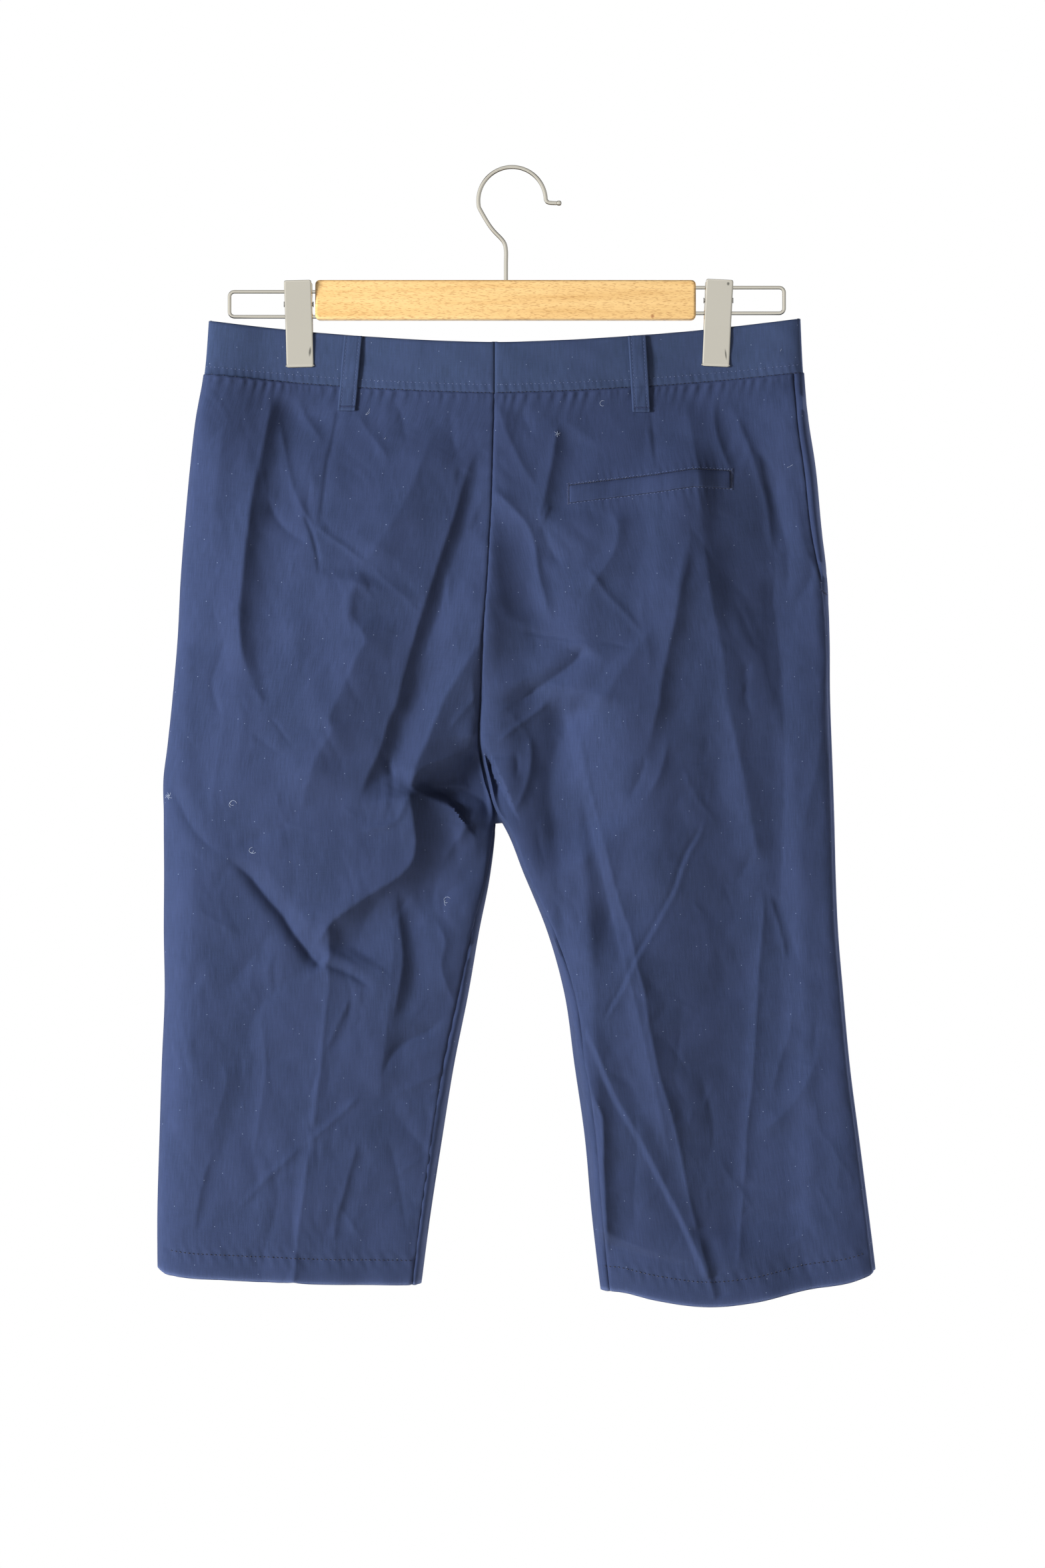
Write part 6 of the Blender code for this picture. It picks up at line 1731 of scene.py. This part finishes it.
def makePin(side, name, node):
    size, pivot = clipSize, pivotHeight(side)
    middle = clipMiddle(side, pivot)
    half = size["width"] / 2 + size["pinPast"]
    head = half + size["pinHeadThick"]
    pieces = []
    for start, end, radius in ((-half, half, size["pin"]), (-head, -half, size["pinHead"]),
                               (half, head, size["pinHead"])):
        at = ((middle + (start + end) / 2) * mm, 0, pivot * mm)
        rod = addRod("rod", radius, end - start, at, (0, 90, 0), 24)
        editPiece(rod)
        bevelEdges(rod, size["pinEdge"], 2, sharper(60))
        leaveEdit()
        pieces.append(rod)
    pin = joinPieces(name, pieces)
    smoothUnder(35)
    return finishPiece(pin, [node], springWire)


def makeSpring(side, name, node):
    # wound torsion spring on the pin, with a leg behind each jaw
    size, pivot = clipSize, pivotHeight(side)
    middle = clipMiddle(side, pivot)
    half = size["springLength"] / 2 - size["springWire"]
    coil = addShape(name, "circle", vertices=10, radius=size["springWire"] * mm,
                    location=(-half * mm, 0, size["springRadius"] * mm), rotation=(math.radians(90), 0, 0))
    applyModifier(coil, "SCREW", axis="X", angle=wholeTurn, screw_offset=2 * half / size["springTurns"] * mm,
                  iterations=size["springTurns"], steps=20, use_merge_vertices=False)
    coil.location = Vector((middle, 0, pivot)) * mm
    pieces = [coil]
    reach = halfGap(side, pivot + size["legRise"]) - size["legGap"]
    for face, x in ((back, -half), (front, half)):
        start = Vector((middle + x, face * size["legStart"], pivot + size["springRadius"])) * mm
        end = Vector((middle + x, face * reach, pivot + size["legRise"])) * mm
        leg = addShape("leg", "cylinder", False, vertices=10, radius=size["springWire"] * mm,
                       depth=(end - start).length, location=(start + end) / 2,
                       rotation=(end - start).to_track_quat("Z", "Y").to_euler())
        editPiece(leg)
        insetFaces(leg, atEnd, (0.2, 0.15))
        leaveEdit()
        pieces.append(leg)
    spring = joinPieces(name, pieces)
    editPiece(spring)
    faceOutwards()
    leaveEdit()
    smoothUnder(50)
    return finishPiece(spring, [node], springWire)


for side, label in (("left", "Left"), ("right", "Right")):
    makeJaw(side, back, "clip" + label + "JawBack", "clip_" + side + "_jaw_back")
    makeJaw(side, front, "clip" + label + "JawFront", "clip_" + side + "_jaw_front")
    makePin(side, "clip" + label + "Pin", "clip_" + side + "_pin")
    makeSpring(side, "clip" + label + "Spring", "clip_" + side + "_spring")
print("clips made")


stitchSpec = {"sides": 6, "straight": 0.6, "drawn": 0.2, "taper": 0.6, "halfReach": 0.6, "waver": 0.05,
              "longest": 3.0}
seamSpecs = {
    # length and radius of a stitch, thread, pitch, and how far the thread lies off the cloth
    "waistbandTopstitch": (1.3, 0.19, topThread, 2.8, 0.08),
    # the rows in the near-black ditch thread carry painted shade of the grooves they lie in, as well as the
    # stitches
    "waistSeamStitch": (1.5, 0.32, ditchThreadAndPaintedShade, 2.7, 0.1),
    "beltLoopStitch": (1.3, 0.2, topThread, 2.4, 0.06),
    "hemStitch": (1.6, 0.4, ditchThreadAndPaintedShade, 3.0, 0.06),
    "weltStitch": (1.4, 0.19, topThread, 2.5, 0.06),
    "weltStitchAndPaintedShadeLine": (1.7, 0.3, ditchThreadAndPaintedShade, 1.7, 0.1),
    "flyStitch": (2.1, 0.21, topThread, 2.8, 0.06),
}
# how far outside the welt its two rows lie, and the rows along its slit above the upper edge
weltRows = {"weltStitch": (0.9, 1.3), "weltStitchAndPaintedShadeLine": (0.3, 0.25)}
tackSpec = {"length": 2.0, "radius": 0.17, "pitch": 0.42, "waver": 0.06, "lean": 0.25, "lift": 0.12,
            "inset": 0.08, "past": 1.0, "over": 1.4}
lintSize = {"length": 1.0, "radius": 0.1, "step": 0.7, "lift": 0.15}


def stitchShape(length, radius):
    # one stitch, its ends drawn down into the cloth
    spec = stitchSpec
    stitch = addRod("stitch", radius, length * spec["straight"], (0, 0, 0), (0, 90, 0), spec["sides"])
    editPiece(stitch)
    for sign in (-1, 1):
        pick(stitch, "FACE", lambda face: face.normal.x * sign > 0.9)
        drawn = (sign * length * spec["drawn"] * mm, 0, -radius * mm)
        bpy.ops.mesh.extrude_region_move(TRANSFORM_OT_translate={"value": drawn})
        bpy.ops.transform.resize(value=(1, spec["taper"], spec["taper"]),
                                 center_override=(0, 0, -radius * mm))
    leaveEdit()
    return stitch


def stitchSpots(tree, face, path, pitch, lift, seed):
    # middles, directions and normals of stitches along a path of x and height
    reach, waver = stitchSpec["halfReach"], stitchSpec["waver"]
    path = np.array(path, float)
    steps = np.concatenate([[0], np.cumsum(np.hypot(*np.diff(path, axis=0).T))])
    dice = np.random.default_rng(seed)
    spots = []
    for at in np.arange(pitch / 2, steps[-1], pitch):
        ends = []
        for near in (at - reach, at + reach):
            x = float(np.interp(near, steps, path[:, 0]))
            z = float(np.interp(near, steps, path[:, 1])) + dice.normal() * waver
            ends.append(surfaceHit(tree, face, x, z))
        if ends[0][0] is None or ends[1][0] is None:
            continue
        along = np.array(ends[1][0] - ends[0][0]) / mm
        if np.linalg.norm(along) > stitchSpec["longest"]:
            continue
        outward = np.array(ends[0][1] + ends[1][1])
        if outward[1] * face < 0:
            outward = -outward
        middle = np.array(ends[0][0] + ends[1][0]) / 2 / mm
        spots.append((middle + outward / np.linalg.norm(outward) * lift, along, outward))
    return spots


def hemPath(half):
    # x and height of the line that holds the turned-up hem
    side, inner = [float(curveThrough(outline, half + edge, cut["hemLevel"])) for edge in ("Side", "Inner")]
    level = cut["hemLevel"] + cut["hemHeight"]
    return [(side + (inner - side) * share, level + float(curveThrough(hemTable, half, share)))
            for share in np.linspace(0.05, 0.99, 60)]


def bandPath(startX, endX, above):
    return [(x, float(waistSeam(x)) + above) for x in np.linspace(startX, endX, 90)]


def weltLine(above, past=0.0, drop=0.0):
    # a line along the welt's upper edge, or this far below it
    xs, zs = zip(*weltTop)
    return [(x, float(np.interp(x, xs, zs)) + above - drop)
            for x in np.linspace(xs[0] - past, xs[-1] + past, 40)]


allBackTree = treeOf([*panels.values(), *bands.values(), *loops[:2]])
allFrontTree = treeOf([*panels.values(), *bands.values(), *loops[2:], fly])
trees = {back: backTree, front: frontTree}
allTrees = {back: allBackTree, front: allFrontTree}


def sewRow(name, lines, within=trees):
    # one row of stitches for each line: its face, its path and the seed of its unevenness
    length, radius, thread, pitch, lift = seamSpecs[name]
    spots = []
    for face, path, seed in lines:
        spots += stitchSpots(within[face], face, path, pitch, lift, seed)
    copyAlong(name, stitchShape(length, radius), spots, thread)


leftOfCentre, rightOfCentre = cut["centreX"] - 1, cut["centreX"] + 1
above = bandSpec["topstitchAbove"]
sewRow("waistbandTopstitch", (
    (back, bandPath(-205, leftOfCentre, above), 1), (back, bandPath(rightOfCentre, 203, above), 2),
    (front, bandPath(-203, 202, above), 3),
))
# near-black dots just above the waist seam: partly stitching, partly painted shade in the seam's groove
sewRow("waistSeamStitch", (
    (back, bandPath(-204, leftOfCentre, 0.4), 21), (back, bandPath(rightOfCentre, 202, 0.4), 22),
))
inset = loopSize["stitchInset"] / loopSize["width"]
sewRow("beltLoopStitch", [
    (face, [loopCorners[name](share, v) for v in np.linspace(0.03, 0.94, 20)], 4)
    for name, _, face, *_ in loopSpecs for share in (inset, 1 - inset)
], allTrees)
sewRow("hemStitch", [
    (face, hemPath(half), 6) for half in ("left", "right") for face in (back, front)
])
outside, above = weltRows["weltStitch"]
sewRow("weltStitch", (
    (back, weltLine(0.0, outside, weltHeight + outside), 7), (back, weltLine(above), 8),
))
# the dark thread in the welt's seam goes down, across and up again outside it, and along the slit, so close
# that it reads as a line: partly stitching, partly painted shade of the seam and the slit
outside, above = weltRows["weltStitchAndPaintedShadeLine"]
corners = [(x + sign * outside, z + outside) for sign, (x, z) in ((-1, weltTop[0]), (1, weltTop[-1]))]
sewRow("weltStitchAndPaintedShadeLine", (
    (back, [corners[0], *weltLine(0.0, outside, weltHeight + outside), corners[1]], 24),
    (back, weltLine(above), 25),
))
inset = flySpec["stitchInset"] / flySpec["width"]
flyLine = [flyCorner(1 - inset, v) for v in np.linspace(0.02, 0.99, 60)]
sewRow("flyStitch", ((front, flyLine, 9),), allTrees)


def spotOn(tree, face, x, z, along, lift):
    # a stitch that lies on the cloth, if there is cloth
    hit, outward = surfaceHit(tree, face, x, z)
    if hit is None:
        return []
    outward = np.array(outward) * (1 if outward[1] * face > 0 else -1)
    return [(np.array(hit) / mm + outward * lift, np.array((along[0], 0, along[1])), outward)]


def bartackSpots(tree, face, first, last, seed):
    # close zigzag that fastens the end of a loop or of an opening
    spec = tackSpec
    dice = np.random.default_rng(seed)
    first, last = np.array(first, float), np.array(last, float)
    along = (last - first) / np.linalg.norm(last - first)
    across = np.array((-along[1], along[0]))
    spots = []
    for at in np.arange(0, np.linalg.norm(last - first), spec["pitch"]):
        middle = first + along * at + across * dice.normal() * spec["waver"]
        slant = across + along * spec["lean"] * (1 if len(spots) % 2 else -1)
        spots += spotOn(tree, face, *middle, slant, spec["lift"])
    return spots


tackSpots = []
for name, _, face, *_ in loopSpecs:
    shares = (tackSpec["inset"], 1 - tackSpec["inset"])
    ends = [loopCorners[name](share, loopSize["tuckAt"]) for share in shares]
    tackSpots += bartackSpots(allTrees[face], face, *ends, 12)
for (x, z), sign, seed in ((weltTop[0], -1, 13), (weltTop[-1], 1, 14)):
    x += sign * tackSpec["past"]
    top, bottom = z + tackSpec["over"], z - weltHeight - tackSpec["over"]
    tackSpots += bartackSpots(backTree, back, (x, top), (x, bottom), seed)
# the end of the pocket opening in the right side seam
tackSpots += bartackSpots(allBackTree, back, (213.6, -286.6), (218.6, -290.4), 15)
tack = stitchShape(tackSpec["length"], tackSpec["radius"])
copyAlong("bartacks", tack, tackSpots, seamThread)

# Loose fibres caught on the cloth: a middle, then for each fibre its first and last distance from it, the
# angle where it starts and how far it turns.
lintSpecs = (
    ((35.0, -181.0), ((0.2, 2.2, 10, 12), (0.2, 1.9, 75, 12), (0.2, 2.3, 130, 12), (0.2, 1.7, 200, 12),
                      (0.2, 2.0, 260, 12), (0.2, 1.8, 320, 12))),
    ((-82.0, -184.0), ((0.1, 0.7, 0, 60), (0.1, 0.6, 150, 60))),
    ((66.0, -160.0), ((2.2, 1.6, 60, 230),)),
    ((193.0, -203.0), ((0.2, 2.2, 20, 10), (0.2, 1.7, 200, 10))),
    ((-146.0, -472.0), ((0.1, 0.9, 90, 30),)),
    ((-185.0, -432.0), ((2.6, 1.2, 0, 300), (1.4, 3.0, 120, 120))),
    ((-172.0, -464.0), ((2.2, 1.0, 80, 280), (1.2, 2.8, 240, 100))),
    ((-40.0, -498.0), ((2.8, 1.3, 30, 260), (1.0, 3.4, 180, 80))),
    ((187.0, -124.0), ((0.2, 1.6, 45, 20),)),
    ((-229.0, -427.0), ((0.2, 2.6, 20, 40), (0.2, 2.4, 70, 40), (0.2, 2.2, 110, 60), (0.3, 2.7, 170, 40),
                        (0.2, 2.3, 230, 50), (0.3, 2.6, 290, 40), (0.6, 1.4, 0, 300))),
    ((-95.5, -167.5), ((0.3, 5.2, 40, 14), (0.3, 3.6, 5, 30))),
)
lintSpots = []
for (middleX, middleZ), fibres in lintSpecs:
    for first, last, start, turn in fibres:
        length = abs(last - first) + math.radians(turn) * (first + last) / 2
        steps = max(int(length / lintSize["step"]), 1) + 1
        angles = np.radians(np.linspace(start, start + turn, steps))
        reaches = np.linspace(first, last, steps)
        dots = [(middleX + r * math.cos(a), middleZ + r * math.sin(a)) for r, a in zip(reaches, angles)]
        for (ax, az), (bx, bz) in zip(dots, dots[1:]):
            lintSpots += spotOn(allBackTree, back, (ax + bx) / 2, (az + bz) / 2, (bx - ax, bz - az),
                                lintSize["lift"])
fibre = stitchShape(lintSize["length"], lintSize["radius"])
copyAlong("looseFibres", fibre, lintSpots, lintFibre)
print("stitching made")


cameraSpec = {"x": 0.0114, "z": -0.4188, "distance": 4.0, "frameHeight": 1.069, "sensor": 36.0, "far": 60.0}
lightSpecs = (
    # name, place, aim, width, height, watts, colour
    ("key", (-2.85, -1.75, 0.0), (0.0, 0.0, -0.42), 0.8, 0.8, 272.0, (0.93, 0.975, 0.975)),
    ("fill", (2.2, -2.6, 0.0), (0.0, 0.0, -0.45), 1.5, 1.5, 3.0, (1.0, 0.93, 0.8)),
    ("rimLeft", (-1.5, 1.6, 0.0), (0.0, 0.0, -0.4), 0.8, 1.6, 16.0, (1.0, 1.0, 1.0)),
    ("rimRight", (2.1, 0.85, -0.3), (0.0, 0.0, -0.45), 0.8, 1.6, 95.0, (1.0, 0.97, 0.88)),
    ("behind", (0.6, 2.6, 0.4), (0.0, 0.0, -0.45), 1.6, 1.6, 50.0, (1.0, 1.0, 1.0)),
)
floorSpec = {"radius": 9.0, "level": -1.6, "rings": (3.0, 3.0, 2.0), "paint": (1.6, 5.0)}


def makeFloor():
    # pale floor that runs out into the light of the backdrop
    floor = addShape("paleFloor", "circle", vertices=96, radius=floorSpec["radius"], fill_type="NGON",
                     location=(0, 0, floorSpec["level"]))
    editPiece(floor)
    pick(floor, "FACE", lambda face: True)
    for thickness in floorSpec["rings"]:
        bpy.ops.mesh.inset(thickness=thickness, depth=0)
    leaveEdit()
    made = bpy.data.materials.new("paleFloorPaint")
    made.use_nodes = True
    tree = made.node_tree
    tree.nodes.clear()
    place = addNode(tree, "TexCoord", None, "Object")
    away = addNode(tree, "VectorMath", {"operation": "LENGTH", 0: place}, "Value")
    mottle = addNode(tree, "TexNoise", {"Scale": 3.0, "Detail": 4.0, "Vector": place})
    paint = addNode(tree, "BsdfDiffuse", {"Color": mixed(tree, mottle, "#f1f1f0", "#f7f7f6")})
    light = addNode(tree, "Emission", {"Color": (1, 1, 1, 1), "Strength": 1.0})
    surface = addNode(tree, "MixShader", {0: ranged(tree, away, *floorSpec["paint"]), 1: paint, 2: light})
    addNode(tree, "OutputMaterial", {"Surface": surface}, None)
    floor.data.materials.append(made)
    floor.visible_glossy = False  # the clips mirror the studio alone


# what polished metal mirrors, from the wall behind to the room in front
wallStops = ((0.0, 0.84), (0.15, 0.84), (0.21, 0.97), (0.27, 0.9), (0.35, 0.1), (0.6, 0.03), (0.86, 0.05),
             (0.95, 0.3), (0.99, 1.0))


def makeWorld():
    # The backdrop is plain white to the eye and dimmer to the cloth. Polished metal mirrors a studio: a pale
    # room behind the camera, dark flats, a white wall behind the piece, windows at both sides and a ceiling.
    # It is brighter on the left.
    world = bpy.data.worlds.new("studio")
    bpy.context.scene.world = world
    world.use_nodes = True
    tree = world.node_tree
    tree.nodes.clear()
    heading = addNode(tree, "TexCoord", None, "Generated")
    x, y, z = addNode(tree, "SeparateXYZ", {0: heading}, None).outputs
    walls = addNode(tree, "ValToRGB", {0: ranged(tree, y, -1.0, 1.0)}, None)
    stops = walls.color_ramp.elements
    for place, value in wallStops:
        stops.new(place).color = (value, value, value * 0.98, 1)
    stops.remove(stops[-1])
    stops.remove(stops[0])
    windows = ranged(tree, maths(tree, "ABSOLUTE", x), 0.6, 0.87, 0.74)
    ceiling = ranged(tree, z, 0.6, 0.95, 0.55)
    room = maths(tree, "MAXIMUM", walls.outputs[0], maths(tree, "MAXIMUM", windows, ceiling))
    sides = addNode(tree, "MapRange", {"From Min": -0.9, "From Max": 0.9, "To Min": 1.2, "To Max": 0.55,
                                       "Value": x})
    bright = maths(tree, "MULTIPLY", room, sides)
    mirror = addNode(tree, "Background", {"Color": (1.0, 1.0, 0.98, 1), "Strength": bright})
    soft = addNode(tree, "Background", {"Color": (1.0, 0.88, 0.66, 1), "Strength": 0.07})
    white = addNode(tree, "Background", {"Color": (1, 1, 1, 1), "Strength": 1.0})
    ray = addNode(tree, "LightPath", None, None).outputs
    unseen = addNode(tree, "MixShader", {0: ray["Is Glossy Ray"], 1: soft, 2: mirror})
    surface = addNode(tree, "MixShader", {0: ray["Is Camera Ray"], 1: unseen, 2: white})
    addNode(tree, "OutputWorld", {"Surface": surface}, None)


def makeLights():
    for name, place, aim, width, height, watts, colour in lightSpecs:
        lamp = bpy.data.lights.new(name, "AREA")
        lamp.shape = "RECTANGLE"
        lamp.size = width
        lamp.size_y = height
        lamp.energy = watts
        lamp.color = colour
        obj = placeObject(name, lamp)
        obj.location = place
        obj.visible_glossy = False  # the metal mirrors the studio alone
        obj.rotation_euler = (Vector(aim) - Vector(place)).to_track_quat("-Z", "Y").to_euler()


def makeCamera():
    spec = cameraSpec
    camera = placeObject("camera", bpy.data.cameras.new("camera"))
    camera.location = (spec["x"], -spec["distance"], spec["z"])
    camera.rotation_euler = (math.radians(90), 0, 0)
    camera.data.sensor_width = spec["sensor"]
    camera.data.lens = spec["sensor"] * spec["distance"] / spec["frameHeight"]
    camera.data.clip_end = spec["far"]
    bpy.context.scene.camera = camera


makeFloor()
makeWorld()
makeLights()
makeCamera()
bpy.context.scene.view_settings.view_transform = "Standard"
bpy.context.scene.view_settings.look = "None"

print("scene finished")
